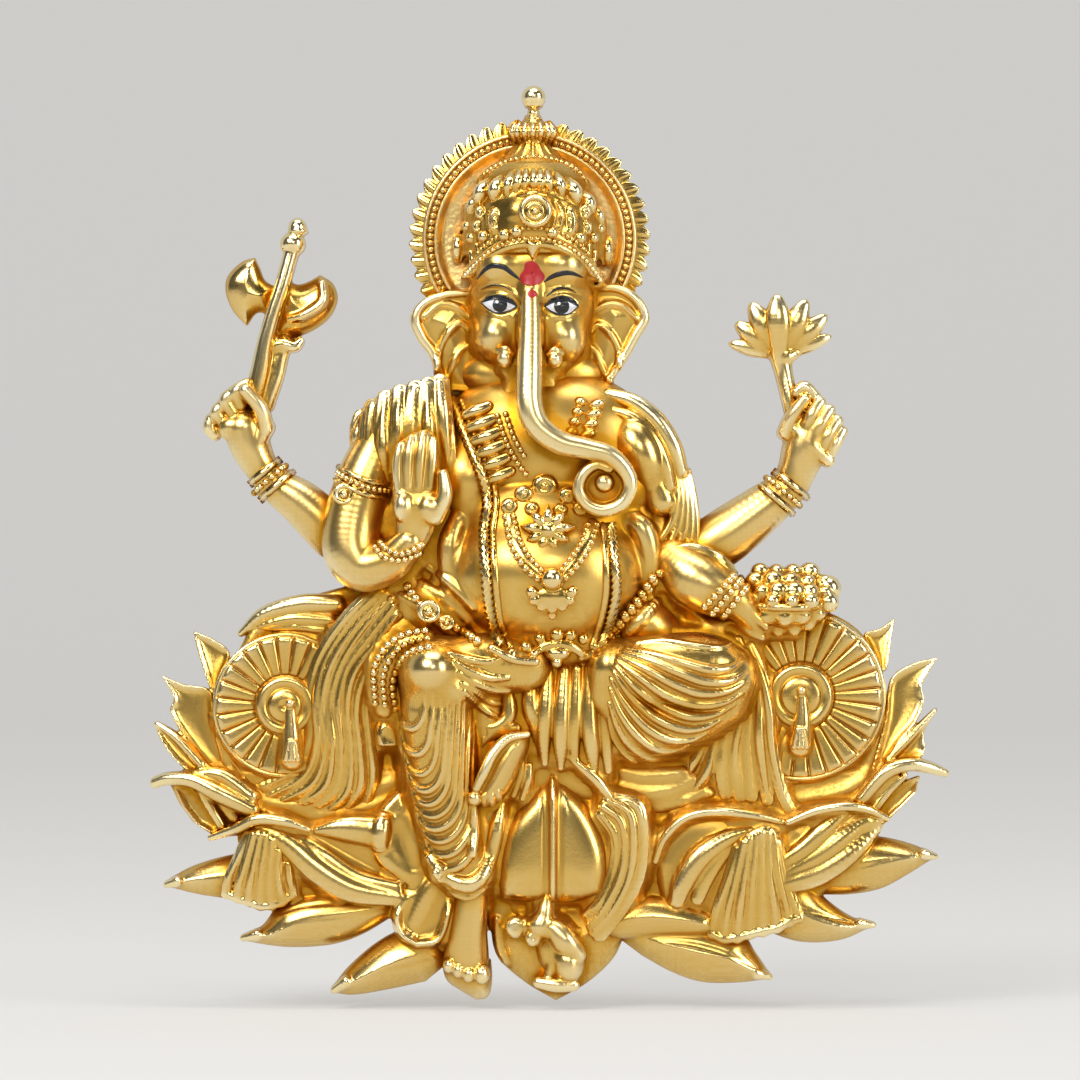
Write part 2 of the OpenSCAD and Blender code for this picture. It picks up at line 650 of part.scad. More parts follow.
hub_profile = [
    [0, bolster_t], [hub_r, bolster_t], [hub_r, bolster_t + 0.7], [hub_r - 0.6, bolster_t + 1.2],
    [hub_r - 1, bolster_t + 0.7], [hub_r - 1.4, bolster_t + 0.7], [hub_r - 1.8, bolster_t + 1.3],
    [0, bolster_t + 1.3]
];
module bolster(at, r) {
    translate([at[0], at[1], 0]) {
        fluted_disc(r);
        rotate_extrude() polygon(hub_profile);
    }
}
module bolster_right() {
    color(gold) facing() bolster(bolster_right_at, bolster_right_r);
}
module bolster_left() {
    color(gold) facing() bolster(bolster_left_at, bolster_left_r);
}

tassel_d = bolster_t + 1.3;
module tassel(at) {
    translate([at[0], at[1] - hub_r - 3, tassel_d]) difference() {
        rotate([-90, 0, 0]) cylinder(r1 = tassel_r, r2 = tassel_r * 0.35, h = hub_r + 3);
        below(0);
    }
}
module bolster_tassels() {
    color(pale_gold) facing() {
        tassel(bolster_right_at);
        tassel(bolster_left_at);
    }
}

module seat_drape_right_form() {
    cloth([[-30.8, -31.4], [-29.9, -24.8], [-30.2, -19.8], [-29, -14.8], [-25.8, -9.6], [-22.6, -5.8]],
        [[-22.4, -31.4], [-24, -24.8], [-24, -19.8], [-22.8, -14.8], [-20, -11], [-18.2, -7.4]],
        7, 5, 6, 7.4, 0.6, 0);
}
module seat_drape_right() {
    color(gold) facing() difference() {
        seat_drape_right_form();
        bolster_blanks();
        seat_form();
    }
}
module seat_drape_left_form() {
    cloth([[23.8, -33.2], [23.6, -28.4], [25, -23.4], [25.7, -18.4], [25.7, -13.4]],
        [[31.2, -33], [30.6, -28.4], [29.6, -22.4], [29.2, -18.4], [29, -12.6]],
        7, 5, 6, 7.4, 0.6, 0);
}
module seat_drape_left() {
    color(gold) facing() difference() {
        seat_drape_left_form();
        bolster_blanks();
        seat_form();
    }
}
module petal_drape_right() {
    color(gold) facing() difference() {
        cloth([[-40, -43.6], [-38.8, -39.8], [-36.8, -36.8]], [[-31.4, -45.2], [-31.8, -41], [-32.8, -37]],
            5, 5, 5, 6.4, 0.8, 0);
        seat_form();
        petal(front_right_petals[0]);
        petal(front_right_petals[3]);
    }
}
module petal_drape_left() {
    color(gold) facing() difference() {
        cloth([[20.4, -49.6], [22.2, -44.8], [24.2, -39.8], [26.2, -36.4]],
            [[30.8, -47.8], [31.2, -43.6], [31.6, -39.8], [31.8, -36.4]],
            5, 5, 5.4, 7, 1, 0);
        seat_form();
        petal(front_left_petals[1]);
        petal(front_left_petals[3]);
        petal(front_left_petals[4]);
    }
}

sash_rows = [
    [6.4, -31, 1.2, 6, 7], [10.4, -32, 1.6, 6, 7.4], [12.4, -36, 1.8, 6, 7.6],
    [11.8, -41, 1.9, 6, 7.6], [9.4, -45.4, 1.9, 6, 7.4], [6.4, -48.8, 2, 6, 7]
];
module sash_end() {
    color(gold) facing() difference() {
        swell(sash_rows, 10, seat_t);
        centre_form();
        bottom_form();
        mouse_form();
        for (p = front_left_petals) {
            petal(p);
        }
    }
}

module apron() {
    color(gold) facing() difference() {
        cloth([[-1.4, -28], [-1.4, -22], [-2.2, waist_z]], [[8.2, -28.4], [7.8, -22], [8.2, waist_z]],
            4, 6, 6.4, 8, 1.6, seat_t);
        left_leg_form();
        left_foot_form();
        centre_form();
    }
}

module torso() {
    color(gold) facing() torso_form();
}

module belt() {
    color(pale_gold) facing() difference() {
        union() {
            cord(on_body([[-7.6, -13], [-4, -13.6], [0.4, -13.8], [4.6, -13.6], [8, -12.8]], 0.1), 10, 1);
            translate([1.6, -13.2, 0]) cylinder(r = 2.2, h = torso_front(1.6, -13.2) + 1, $fn = 12);
        }
        torso_form();
    }
}
module hip_garland() {
    color(pale_gold) facing() difference() {
        union() {
            cord(on_body([[-12.2, -7.2], [-11, -9], [-9, -11], [-7.8, -12]], 0.2), 6, string_r);
            cord(on_body([[7.4, -11.4], [9.6, -9], [11, -7], [12, -4]], 0.2), 6, string_r);
        }
        torso_form();
    }
}

thread_right = [
    [-11.4, 17.4], [-9.4, 12.8], [-8.1, 9], [-7.3, 5.2], [-7.6, 1.5], [-7.3, -4.8], [-6.6, -9.8],
    [-6.2, -11.6]
];
thread_left = [[8.1, 2.8], [8.4, -1], [8.6, -6], [7.9, -9.6], [7.6, -11.2]];
module sacred_thread() {
    color(pale_gold) facing() difference() {
        union() {
            cord(on_body(thread_right, rope_r * 0.5), 9, rope_r);
            cord(on_body(thread_left, rope_r * 0.5), 5, rope_r);
        }
        torso_form();
    }
}
module collar_necklace() {
    color(pale_gold) facing() difference() {
        cord(on_body([[-8.2, 17.4], [-7.2, 14], [-6.2, 10.8], [-5.2, 8]], 0.4), 8, 1.2);
        torso_form();
        cord(on_body(thread_right, rope_r * 0.5), 9, rope_r);
        trunk_form();
    }
}
module long_necklace() {
    color(pale_gold) facing() difference() {
        cord(on_body([[-5.2, 4], [-4.4, 1], [-2.6, -3], [0.9, -5], [3.6, -3], [4.8, 0], [5.8, 2.4]], 0.3),
            10, string_r);
        torso_form();
        sunburst_blank();
        pendant_ball();
    }
}
sunburst_at = [0.4, 1.5];
pendant_at = [0.9, -4.8];
module sunburst_blank() {
    translate([sunburst_at[0], sunburst_at[1], 0])
        cylinder(r = sunburst_r, h = torso_front(sunburst_at[0], sunburst_at[1]) + 0.9, $fn = 24);
}
module pendant_ball() {
    translate([pendant_at[0], pendant_at[1], torso_front(pendant_at[0], pendant_at[1]) + 0.4])
        sphere(pendant_r, $fn = 12);
}
module pendants() {
    color(pale_gold) facing() difference() {
        union() {
            sunburst_blank();
            pendant_ball();
            cord(on_body([[-2, -6.2], [-1, -7.6], [0.9, -8.4], [2.8, -7.6], [3.8, -6.2]], 0.1), 8, 0.9);
        }
        torso_form();
    }
}

module shawl_right_form() {
    cloth([[-23.6, 9.6], [-23.4, 13], [-22.8, 16.4]], [[-10.6, 12], [-11, 16], [-12.2, 19.8]],
        4, 6, 6.8, 8, 0.8, 0);
}
module shawl_right() {
    color(gold) facing() difference() {
        shawl_right_form();
        torso_form();
        front_arm_right_form();
    }
}
module shawl_left() {
    color(gold) facing() difference() {
        cloth([[13.4, -3.4], [14, 2.8], [14, 7.6], [11.6, 12.6], [9, 14.6], [7.6, 16.6]],
            [[16.8, -2], [19.2, 2.8], [19, 7.8], [17, 12.2], [12.6, 17.4], [8.4, 19.4]],
            8, 3, 6, 7.4, 0.6, 0);
        torso_form();
        front_arm_left_form();
        rear_arm_left_form();
    }
}

module head() {
    color(gold) facing() difference() {
        head_form();
        halo_blank();
        tusk_balls();
        tilak_balls();
    }
}
// An ear spread from the side of the head; "side" is -1 for the right ear and 1 for the left
function head_side(z, side) =
    head_x + side * lookup(z, head_half) * sqrt(1 - pow(halo_front / lookup(z, head_depth), 2));
module ear(outer, side) {
    skin(7, 6,
        function(u, v)
            let (far = spline(outer, v), z = mix(20.6, 31.2, v), near = [head_side(z, side), z])
            let (s = side < 0 ? u : 1 - u, q = mix(far, near, s))
            [q[0], q[1], halo_front + 1 + 2.6 * s * s + 1.2 * pow(1 - s, 4)],
        halo_front);
}
ear_right_edge = [
    [-12, 19.8], [-13.4, 22.2], [-14.2, 24.2], [-15.4, 26], [-16, 28.2], [-14.4, 29.9], [-11.4, 31]
];
ear_left_edge = [
    [7.6, 19.8], [8.6, 21.4], [9.4, 23], [10.6, 25], [12.2, 27.6], [12, 29.6], [9.8, 31.2]
];
module ear_right() {
    color(gold) facing() ear(ear_right_edge, -1);
}
module ear_left() {
    color(gold) facing() ear(ear_left_edge, 1);
}
module trunk_form() {
    line = [for (p = trunk_line) [p[0], p[1], body_front(p[0], p[1]) + 0.5 * p[2] * trunk_r, p[2] * trunk_r]];
    for (i = [0 : trunk_steps - 1]) {
        hull() {
            for (q = [spline(line, i / trunk_steps), spline(line, (i + 1) / trunk_steps)]) {
                translate([q[0], q[1], q[2]]) sphere(q[3], $fn = limb_sides);
            }
        }
    }
}
module trunk() {
    color(gold) facing() difference() {
        trunk_form();
        head_form();
        torso_form();
    }
}
tusk_right = [-4.9, 23];
tusk_left = [1.2, 22.9];
module tusk_balls() {
    for (t = [tusk_right, tusk_left]) {
        translate([t[0], t[1], head_front(t[0], t[1])]) sphere(tusk_r);
    }
}
module tusks() {
    color(pale_gold) facing() tusk_balls();
}
tilak_lobes = [[-2.2, 34.1, 0.5], [-1, 34.1, 0.5], [-1.6, 33.3, 0.5]];
module tilak_balls() {
    for (t = tilak_lobes) {
        translate([t[0], t[1], head_front(t[0], t[1]) - 0.1]) sphere(t[2]);
    }
}
module tilak() {
    color(red) facing() tilak_balls();
}

brow_line = [[-8.9, 34.6], [-7.4, 36], [-5, 36.9], [-1.6, 37.3], [1.8, 36.9], [4.2, 36], [5.7, 34.6]];
module crown_band() {
    color(pale_gold) difference() {
        facing() cord([
            for (p = brow_line) [p[0], p[1], head_front(p[0], min(p[1], crown_z)) + 0.3 * brow_r]
        ], 10, brow_r);
        facing() head_form();
        dome_seat();
    }
}
module crown_dome() {
    color(gold) dome_form();
}
module crown_petals() {
    color(pale_gold) difference() {
        for (a = [-72 : 18 : 72]) {
            translate([
                head_x + (crown_r - 1) * sin(a),
                -plate_t - halo_front - (crown_r - 1) * cos(a),
                crown_z + 7.4
            ]) sphere(crown_petal_r);
        }
        dome_form();
    }
}
module crown_medallion() {
    level = halo_front + crown_r - 1.4;
    color(pale_gold) difference() {
        facing() translate([head_x + 0.4, crown_z + 4.2, level]) rotate_extrude() polygon([
            [0, 0], [medallion_r, 0], [medallion_r, 2.2], [medallion_r - 0.4, 2.5], [medallion_r - 0.7, 2.2],
            [medallion_r - 0.9, 2.5], [medallion_r - 1.2, 2.9], [0, 2.9]
        ]);
        dome_form();
    }
}
module crown_rosettes() {
    color(pale_gold) difference() {
        facing() {
            for (x = [head_x - crown_r - 0.6, head_x + crown_r + 0.6]) {
                translate([x, crown_z, halo_front]) cylinder(r1 = 1.5, r2 = 0.8, h = 1.8);
            }
        }
        dome_form();
        facing() head_form();
    }
}
spire_z = crown_z + 11.2;
spire_top = spire_z + 5.2;
module crown_spire() {
    color(gold) half_turned([
        [0, spire_z], [crown_r - 4.6, spire_z], [2.7, spire_z + 0.8], [2.1, spire_z + 1.7], [1.9, spire_z + 2.4],
        [bulb_r - 0.3, spire_z + 2.7], [bulb_r, spire_z + 3.4], [bulb_r - 0.3, spire_z + 4.2],
        [0.9, spire_z + 4.7], [0.7, spire_top], [0, spire_top]
    ], halo_front);
}
module finial() {
    color(pale_gold) half_turned([
        [0, spire_top], [0.7, spire_top], [0.7, spire_top + 0.5],
        for (a = [-60 : 15 : 75]) [finial_r * cos(a), spire_top + finial_r + 0.3 + finial_r * sin(a)],
        [0, spire_top + 2 * finial_r + 0.3]
    ], halo_front);
}

bead_ring_r = halo_r - 0.9;
module halo_disc() {
    color(deep_gold) facing() translate([halo_at[0], halo_at[1], 0]) rotate_extrude($fn = 96) polygon([
        [0, 0], [halo_r, 0], [halo_r, halo_rim], [bead_ring_r + halo_bead_r, halo_rim],
        [bead_ring_r + halo_bead_r, halo_t], [bead_ring_r - halo_bead_r, halo_t],
        [bead_ring_r - halo_bead_r, halo_rim], [bead_ring_r - halo_bead_r - 0.5, halo_rim],
        [bead_ring_r - halo_bead_r - 0.8, halo_t], [0, halo_t]
    ]);
}
module halo_beads() {
    color(pale_gold) facing() translate([halo_at[0], halo_at[1], halo_t + halo_bead_r]) rotate_extrude($fn = 96)
        translate([bead_ring_r, 0]) circle(halo_bead_r, $fn = 16);
}
// Ring of flame rays, each with a raised midrib
module halo_rays() {
    steps = 2 * round(rays);
    section = function(k) k % 2 == 0
        ? [[halo_r, 0], [halo_r, 1.1], [halo_r + 0.3, 0.9], [halo_r + 0.3, 0]]
        : [[halo_r, 0], [halo_r, halo_rim], [halo_r + ray_len, 0.5], [halo_r + ray_len, 0]];
    points = [for (k = [0 : steps - 1]) for (q = section(k))
        [q[0] * cos(k * 360 / steps), q[0] * sin(k * 360 / steps), q[1]]];
    faces = [for (k = [0 : steps - 1]) for (m = [0 : 3])
        let (a = 4 * k + m, b = 4 * k + (m + 1) % 4, n = 4 * ((k + 1) % steps))
        let (c = n + m, d = n + (m + 1) % 4)
        each [[a, c, d], [a, d, b]]];
    color(pale_gold) facing() translate([halo_at[0], halo_at[1], 0]) polyhedron(points, faces);
}

module rear_arm_right() {
    color(gold) facing() difference() {
        rear_arm_right_form();
        front_arm_right_form();
        below(0);
    }
}
module rear_arm_left() {
    color(gold) facing() difference() {
        rear_arm_left_form();
        front_arm_left_form();
        torso_form();
        below(0);
    }
}
module bangle(at, turn, r) {
    translate([at[0], at[1], at[2]]) rotate([0, 0, turn]) rotate([0, 90, 0])
        for (s = [-0.7, 0.7]) {
            translate([0, 0, s]) rotate_extrude($fn = 14) translate([r, 0]) circle(bangle_r, $fn = 6);
        }
}
module rear_bangles() {
    color(pale_gold) facing() difference() {
        union() {
            bangle([-33.6, 7.5, 2.2], -43, 2.4);
            bangle([29.4, 6, 2.2], 40, 2.5);
        }
        rear_arm_right_form();
        rear_arm_left_form();
        below(0);
    }
}
axe_line = [[-31.8, 35.6, 1.8], [-33.2, 32.1, 1.8], [-34.2, 29, 1.8], [-35.1, 25.2, 1.8], [-36, 21.4, 1.8], [-36.6, 18.6, 1.8]];
module axe() {
    color(pale_gold) facing() difference() {
        union() {
            cord(axe_line, 8, handle_r);
            translate([-31, 39.7, 1.5]) sphere(1.1, $fn = 10);
            translate([-31.5, 37.4, 1.5]) sphere(1.6, $fn = 10);
            for (blade = [axe_blade_right, axe_blade_left]) {
                linear_extrude(blade_t) polygon(blade);
            }
        }
        rear_arm_right_form();
        below(0);
    }
}
lotus_at = [30, 24.4];
lotus_tips = [[23.9, 24.8], [24.5, 27], [26.6, 29], [29.4, 30.7], [32.7, 30], [35.3, 28], [35.9, 25.8]];
stem_line = [[29, 24.2, 1.2], [29.9, 22.6, 1.2], [30.4, 19.6, 1.2], [31, 16.8, 1.2]];
module lotus_flower() {
    color(pale_gold) facing() difference() {
        union() {
            cord(stem_line, 5, stem_r);
            for (tip = lotus_tips) {
                keel([
                    [lotus_at[0], lotus_at[1], 0.7, 1.4, 2.4],
                    [mix(lotus_at[0], tip[0], 0.55), mix(lotus_at[1], tip[1], 0.55), 1.3, 1.4, 2.8],
                    [tip[0], tip[1], 0.15, 0.8, 1]
                ], 3, 0);
            }
        }
        rear_arm_left_form();
        below(0);
    }
}

module front_arm_right() {
    color(gold) facing() difference() {
        front_arm_right_form();
        torso_form();
        below(0);
    }
}
module armlet_right() {
    color(pale_gold) facing() difference() {
        union() {
            cord([[-25.2, 8, 5.4], [-24, 7.8, 7], [-22.4, 7.2, 7.7], [-20.8, 6.4, 7.2], [-19.8, 6, 5.4]], 8, 0.7);
            translate([-24.8, 6.2, 5]) sphere(1.6, $fn = 10);
        }
        front_arm_right_form();
        shawl_right_form();
    }
}
module front_bangle_right() {
    color(pale_gold) facing() difference() {
        cord([[-20.4, 0.2, 9.4], [-19.6, -1.6, 10], [-17.8, -2.4, 10.4], [-15.6, -1.4, 10.8], [-14.4, 0, 10.6]], 9,
            bangle_r + 0.2);
        front_arm_right_form();
        torso_form();
    }
}
module front_arm_left() {
    color(gold) facing() difference() {
        front_arm_left_form();
        torso_form();
        bolster_blanks();
        below(0);
    }
}
module front_bangle_left() {
    color(pale_gold) facing() difference() {
        cord([[23.6, -4.2, 5.6], [23.2, -5, 7], [22.4, -6.4, 7.4], [21, -8, 7], [20.4, -8.8, 5.6]], 9, bangle_r + 0.5);
        front_arm_left_form();
        left_leg_form();
    }
}
bowl_depth = 2;
module bowl_form() {
    translate([bowl_at[0], -plate_t - bowl_depth, 0]) rotate([0, 0, 180]) rotate_extrude(angle = 180) polygon([
        [0, bowl_at[1] - 3.8], [2.8, bowl_at[1] - 3.8], [bowl_r - 1, bowl_at[1] - 2.6],
        [bowl_r - 0.3, bowl_at[1] - 1.2], [bowl_r, bowl_at[1] - 0.7], [bowl_r, bowl_at[1]], [0, bowl_at[1]]
    ]);
}
module bowl() {
    color(gold) difference() {
        bowl_form();
        facing() bolster_blanks();
        facing() front_arm_left_form();
    }
}
sweet_places = [
    [-3.4, 1, 3.6], [-2.6, 2.7, 3], [-0.8, 3.2, 3], [1.6, 3.4, 3], [3.4, 2.6, 3],
    [-1.2, 1, 5.4], [1.4, 1, 5.6], [3.8, 1.1, 4.4]
];
heap_profile = [
    [0, bowl_at[1]], [bowl_r - 1.2, bowl_at[1]], [bowl_r - 1.6, bowl_at[1] + 1.4],
    [bowl_r - 3, bowl_at[1] + 2.8], [0, bowl_at[1] + 3.6]
];
module sweets() {
    color(pale_gold) difference() {
        union() {
            translate([bowl_at[0], -plate_t - bowl_depth, 0]) rotate([0, 0, 180])
                rotate_extrude(angle = 180) polygon(heap_profile);
            for (s = sweet_places) {
                translate([bowl_at[0] + s[0], -plate_t - s[2], bowl_at[1] + s[1]]) sphere(sweet_r);
            }
        }
        bowl_form();
    }
}

module right_leg() {
    color(gold) facing() difference() {
        right_leg_form();
        torso_form();
        seat_drape_right_form();
    }
}
module right_foot_form() {
    limb(right_foot_line, 6, 1);
    for (x = [-12 : 1.1 : -7.6]) {
        limb([[x, -55.4, 6.2, 0.75], [x, -56.2, 5.2, 0.7]], 1, 1, $fn = cord_sides);
    }
}
module right_foot() {
    color(gold) facing() difference() {
        right_foot_form();
        right_leg_form();
        seat_form();
        bottom_form();
        for (p = front_right_petals) {
            petal(p);
        }
    }
}
module knee_band() {
    color(pale_gold) facing() difference() {
        limb([[-16, -10.6, 8, string_r], [-18.6, -11.8, 8, string_r], [-20.4, -14.6, 7, string_r],
            [-20.6, -19, 6.4, string_r]], 6, seat_t, $fn = cord_sides);
        right_leg_form();
        seat_drape_right_form();
        torso_form();
        front_arm_right_form();
    }
}
module left_leg() {
    color(gold) facing() difference() {
        left_leg_form();
        torso_form();
        front_arm_left_form();
        bolster_blanks();
    }
}
module left_foot_form() {
    limb(left_foot_line, 6, seat_t);
    limb([[-6.8, -31.4, 7, 1.6], [-8.6, -31.4, 6.6, 1.1]], 2, seat_t);
}
module left_foot() {
    color(gold) facing() difference() {
        left_foot_form();
        right_leg_form();
        left_leg_form();
        centre_form();
    }
}

back_plate();
seat_block();
rear_petals_right();
rear_petals_left();
front_petals_right();
front_petals_left();
centre_petal();
bottom_petal();
mouse();
bolster_right();
bolster_left();
bolster_tassels();
seat_drape_right();
seat_drape_left();
petal_drape_right();
petal_drape_left();
sash_end();
apron();
torso();
belt();
hip_garland();
sacred_thread();
collar_necklace();
long_necklace();
pendants();
shawl_right();
shawl_left();
head();
ear_right();
ear_left();
trunk();
tusks();
tilak();
crown_band();
crown_dome();
crown_petals();
crown_medallion();
crown_rosettes();
crown_spire();
finial();
halo_disc();
halo_rays();
halo_beads();
rear_arm_right();
rear_arm_left();
rear_bangles();
axe();
lotus_flower();
front_arm_right();
armlet_right();
front_bangle_right();
front_arm_left();
front_bangle_left();
bowl();
sweets();
right_leg();
right_foot();
knee_band();
left_leg();
left_foot();
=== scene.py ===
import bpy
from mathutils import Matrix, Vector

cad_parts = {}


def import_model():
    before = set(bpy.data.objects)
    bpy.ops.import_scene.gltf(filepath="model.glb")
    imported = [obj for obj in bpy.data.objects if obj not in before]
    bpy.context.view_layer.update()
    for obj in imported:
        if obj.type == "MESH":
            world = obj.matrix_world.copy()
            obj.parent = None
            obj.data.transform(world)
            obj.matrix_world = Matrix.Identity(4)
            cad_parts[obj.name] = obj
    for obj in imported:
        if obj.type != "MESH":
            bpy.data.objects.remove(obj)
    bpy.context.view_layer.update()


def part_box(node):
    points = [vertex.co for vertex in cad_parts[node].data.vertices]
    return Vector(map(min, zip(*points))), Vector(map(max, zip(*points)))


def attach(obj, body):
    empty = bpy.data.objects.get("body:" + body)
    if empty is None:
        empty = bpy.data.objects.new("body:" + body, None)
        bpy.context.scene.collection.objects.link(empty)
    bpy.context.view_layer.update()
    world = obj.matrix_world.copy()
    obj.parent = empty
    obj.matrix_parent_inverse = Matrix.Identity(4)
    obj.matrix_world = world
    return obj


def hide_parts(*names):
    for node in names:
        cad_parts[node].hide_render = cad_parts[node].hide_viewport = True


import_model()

import math

import bpy
import numpy as np
import openvdb
from mathutils import Vector

# Back plate: the flat ground that everything is cast on, of gilt brass, pecked all over with a
# fine matting punch. Its finish is made here; its mesh comes last, when all that stands on it is known.
plate_front = -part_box("back_plate")[0].y * 1000


def group(name, inputs, outputs):
    """An empty shader node group with named sockets."""
    made = bpy.data.node_groups.new(name, "ShaderNodeTree")
    for kind, label, value in inputs:
        socket = made.interface.new_socket(label, in_out="INPUT", socket_type="NodeSocket" + kind)
        if value is not None:
            socket.default_value = value
    for kind, label in outputs:
        made.interface.new_socket(label, in_out="OUTPUT", socket_type="NodeSocket" + kind)
    return made, made.nodes.new("NodeGroupInput"), made.nodes.new("NodeGroupOutput")


def maths(tree, operation, *values):
    """A sum worked on numbers or on the outputs of other nodes."""
    made = tree.nodes.new("ShaderNodeMath")
    made.operation = operation
    for socket, value in zip(made.inputs, values):
        if isinstance(value, bpy.types.NodeSocket):
            tree.links.new(value, socket)
        else:
            socket.default_value = value
    return made.outputs[0]


def mixed(tree, kind, factor, first, second):
    """A mix of two colours or two numbers, by a factor."""
    made = tree.nodes.new("ShaderNodeMix")
    made.data_type = kind
    for label, value in (("Factor", factor), ("A", first), ("B", second)):
        if isinstance(value, bpy.types.NodeSocket):
            tree.links.new(value, made.inputs[label])
        else:
            made.inputs[label].default_value = value
    return made.outputs["Result"]


def gilding_group():
    """The gold colour with painted light: a painted highlight where a piece stands proud and a painted shade,
    mottled at random, where it lies in a hollow.
    """
    made, given, out = group(
        "gilding",
        [("Vector", "Place", None), ("Float", "Hollow", 0.0), ("Float", "Crest", 0.0),
         ("Color", "Bright", (1, 1, 1, 1)), ("Color", "Plain", (1, 1, 1, 1)),
         ("Color", "Deep", (1, 1, 1, 1)),
         ("Float", "Satin", 0.3), ("Float", "Matt", 0.5)],
        [("Color", "Colour"), ("Float", "Roughness")],
    )
    new, link = made.nodes.new, made.links.new
    cloud = new("ShaderNodeTexNoise")
    cloud.inputs["Scale"].default_value = 160
    cloud.inputs["Detail"].default_value = 3
    link(given.outputs["Place"], cloud.inputs["Vector"])
    # The noise mottles the painted shade at random; the painted shade also makes the surface rougher.
    cloudy = 0.24
    shift = maths(made, "SUBTRACT", given.outputs["Hollow"], cloudy / 2)
    shade = maths(made, "MULTIPLY_ADD", cloud.outputs["Fac"], cloudy, shift)
    shade.node.use_clamp = True
    to_deep = mixed(made, "RGBA", shade, given.outputs["Plain"], given.outputs["Deep"])
    to_bright = mixed(made, "RGBA", given.outputs["Crest"], to_deep, given.outputs["Bright"])
    link(to_bright, out.inputs["Colour"])
    link(mixed(made, "FLOAT", shade, given.outputs["Satin"], given.outputs["Matt"]),
         out.inputs["Roughness"])
    return made


def tooling_group():
    """The skin of the casting: a fine satin grain, and pecks of a matting punch where asked."""
    made, given, out = group(
        "tooling",
        [("Vector", "Place", None), ("Float", "Grain", 2600.0), ("Float", "Peck", 2000.0),
         ("Float", "Pecked", 0.0)],
        [("Float", "Height")],
    )
    new, link = made.nodes.new, made.links.new
    grain = new("ShaderNodeTexNoise")
    grain.inputs["Detail"].default_value = 2
    link(given.outputs["Place"], grain.inputs["Vector"])
    link(given.outputs["Grain"], grain.inputs["Scale"])
    peck = new("ShaderNodeTexVoronoi")
    peck.feature = "SMOOTH_F1"
    link(given.outputs["Place"], peck.inputs["Vector"])
    link(given.outputs["Peck"], peck.inputs["Scale"])
    grain_share = 0.35
    weighed = maths(made, "MULTIPLY", peck.outputs["Distance"], given.outputs["Pecked"])
    link(maths(made, "MULTIPLY_ADD", grain.outputs["Fac"], grain_share, weighed), out.inputs["Height"])
    return made


gilding = gilding_group()
tooling = tooling_group()
# The highlight tone is a painted highlight and the shade tone a painted shade; the plain tone is the gold's
# own colour.
bright_gold = (1.0, 0.86, 0.5, 1)
plain_gold = (0.74, 0.48, 0.12, 1)
deep_gold = (0.5, 0.23, 0.012, 1)


def gilt(name, satin, matt, pecked=0.0, relief=0.25):
    """A gold-plated finish; satin and matt are its roughness in the open and in the hollows."""
    made = bpy.data.materials.new(name)
    made.use_nodes = True
    nodes, link = made.node_tree.nodes, made.node_tree.links.new
    metal = nodes["Principled BSDF"]
    metal.inputs["Metallic"].default_value = 1
    place = nodes.new("ShaderNodeTexCoord")
    leaf = nodes.new("ShaderNodeGroup")
    leaf.node_tree = gilding
    tones = {"Bright": bright_gold, "Plain": plain_gold, "Deep": deep_gold, "Satin": satin, "Matt": matt}
    for label, value in tones.items():
        leaf.inputs[label].default_value = value
    link(place.outputs["Object"], leaf.inputs["Place"])
    # Each piece carries its painted shade and painted highlight as attributes.
    for label in ("Hollow", "Crest"):
        mark = nodes.new("ShaderNodeAttribute")
        mark.attribute_name = label.lower()
        link(mark.outputs["Fac"], leaf.inputs[label])
    link(leaf.outputs["Colour"], metal.inputs["Base Color"])
    link(leaf.outputs["Roughness"], metal.inputs["Roughness"])
    skin = nodes.new("ShaderNodeGroup")
    skin.node_tree = tooling
    skin.inputs["Pecked"].default_value = pecked
    link(place.outputs["Object"], skin.inputs["Place"])
    bump = nodes.new("ShaderNodeBump")
    bump.inputs["Strength"].default_value = relief
    bump.inputs["Distance"].default_value = 0.0001
    link(skin.outputs["Height"], bump.inputs["Height"])
    link(bump.outputs["Normal"], metal.inputs["Normal"])
    return made


gilt_ground = gilt("gilt_ground", 0.34, 0.5, pecked=1.0, relief=0.4)

# Seat: the low cushion that the figure sits on, cast with the plate and pecked like it.
# Its front edge runs out in a soft cove over the roots of the lotus petals.


def bow(points, steps=6):
    """A smooth line through given points."""
    p = np.asarray(points, float)
    p = np.vstack([2 * p[0] - p[1], p, 2 * p[-1] - p[-2]])
    t = (np.arange(steps) / steps)[:, None]
    spans = [
        b + 0.5 * t * (c - a + t * (2 * a - 5 * b + 4 * c - d + t * (3 * (b - c) + d - a)))
        for a, b, c, d in zip(p, p[1:], p[2:], p[3:])
    ]
    return np.vstack(spans + [p[-2:-1]])


def edge_distance(outline, x, z):
    """Distance to a closed outline, less than nothing inside it."""
    best = np.full(np.broadcast(x, z).shape, 1e9)
    inside = np.zeros(best.shape, bool)
    for a, b in zip(outline, np.roll(outline, -1, 0)):
        span = b - a
        t = np.clip(((x - a[0]) * span[0] + (z - a[1]) * span[1]) / (span @ span + 1e-12), 0, 1)
        best = np.minimum(best, (x - a[0] - t * span[0]) ** 2 + (z - a[1] - t * span[1]) ** 2)
        if a[1] != b[1]:
            crosses = (a[1] > z) != (b[1] > z)
            inside ^= crosses & (x < a[0] + (z - a[1]) * span[0] / span[1])
    return np.where(inside, -1, 1) * np.sqrt(best)


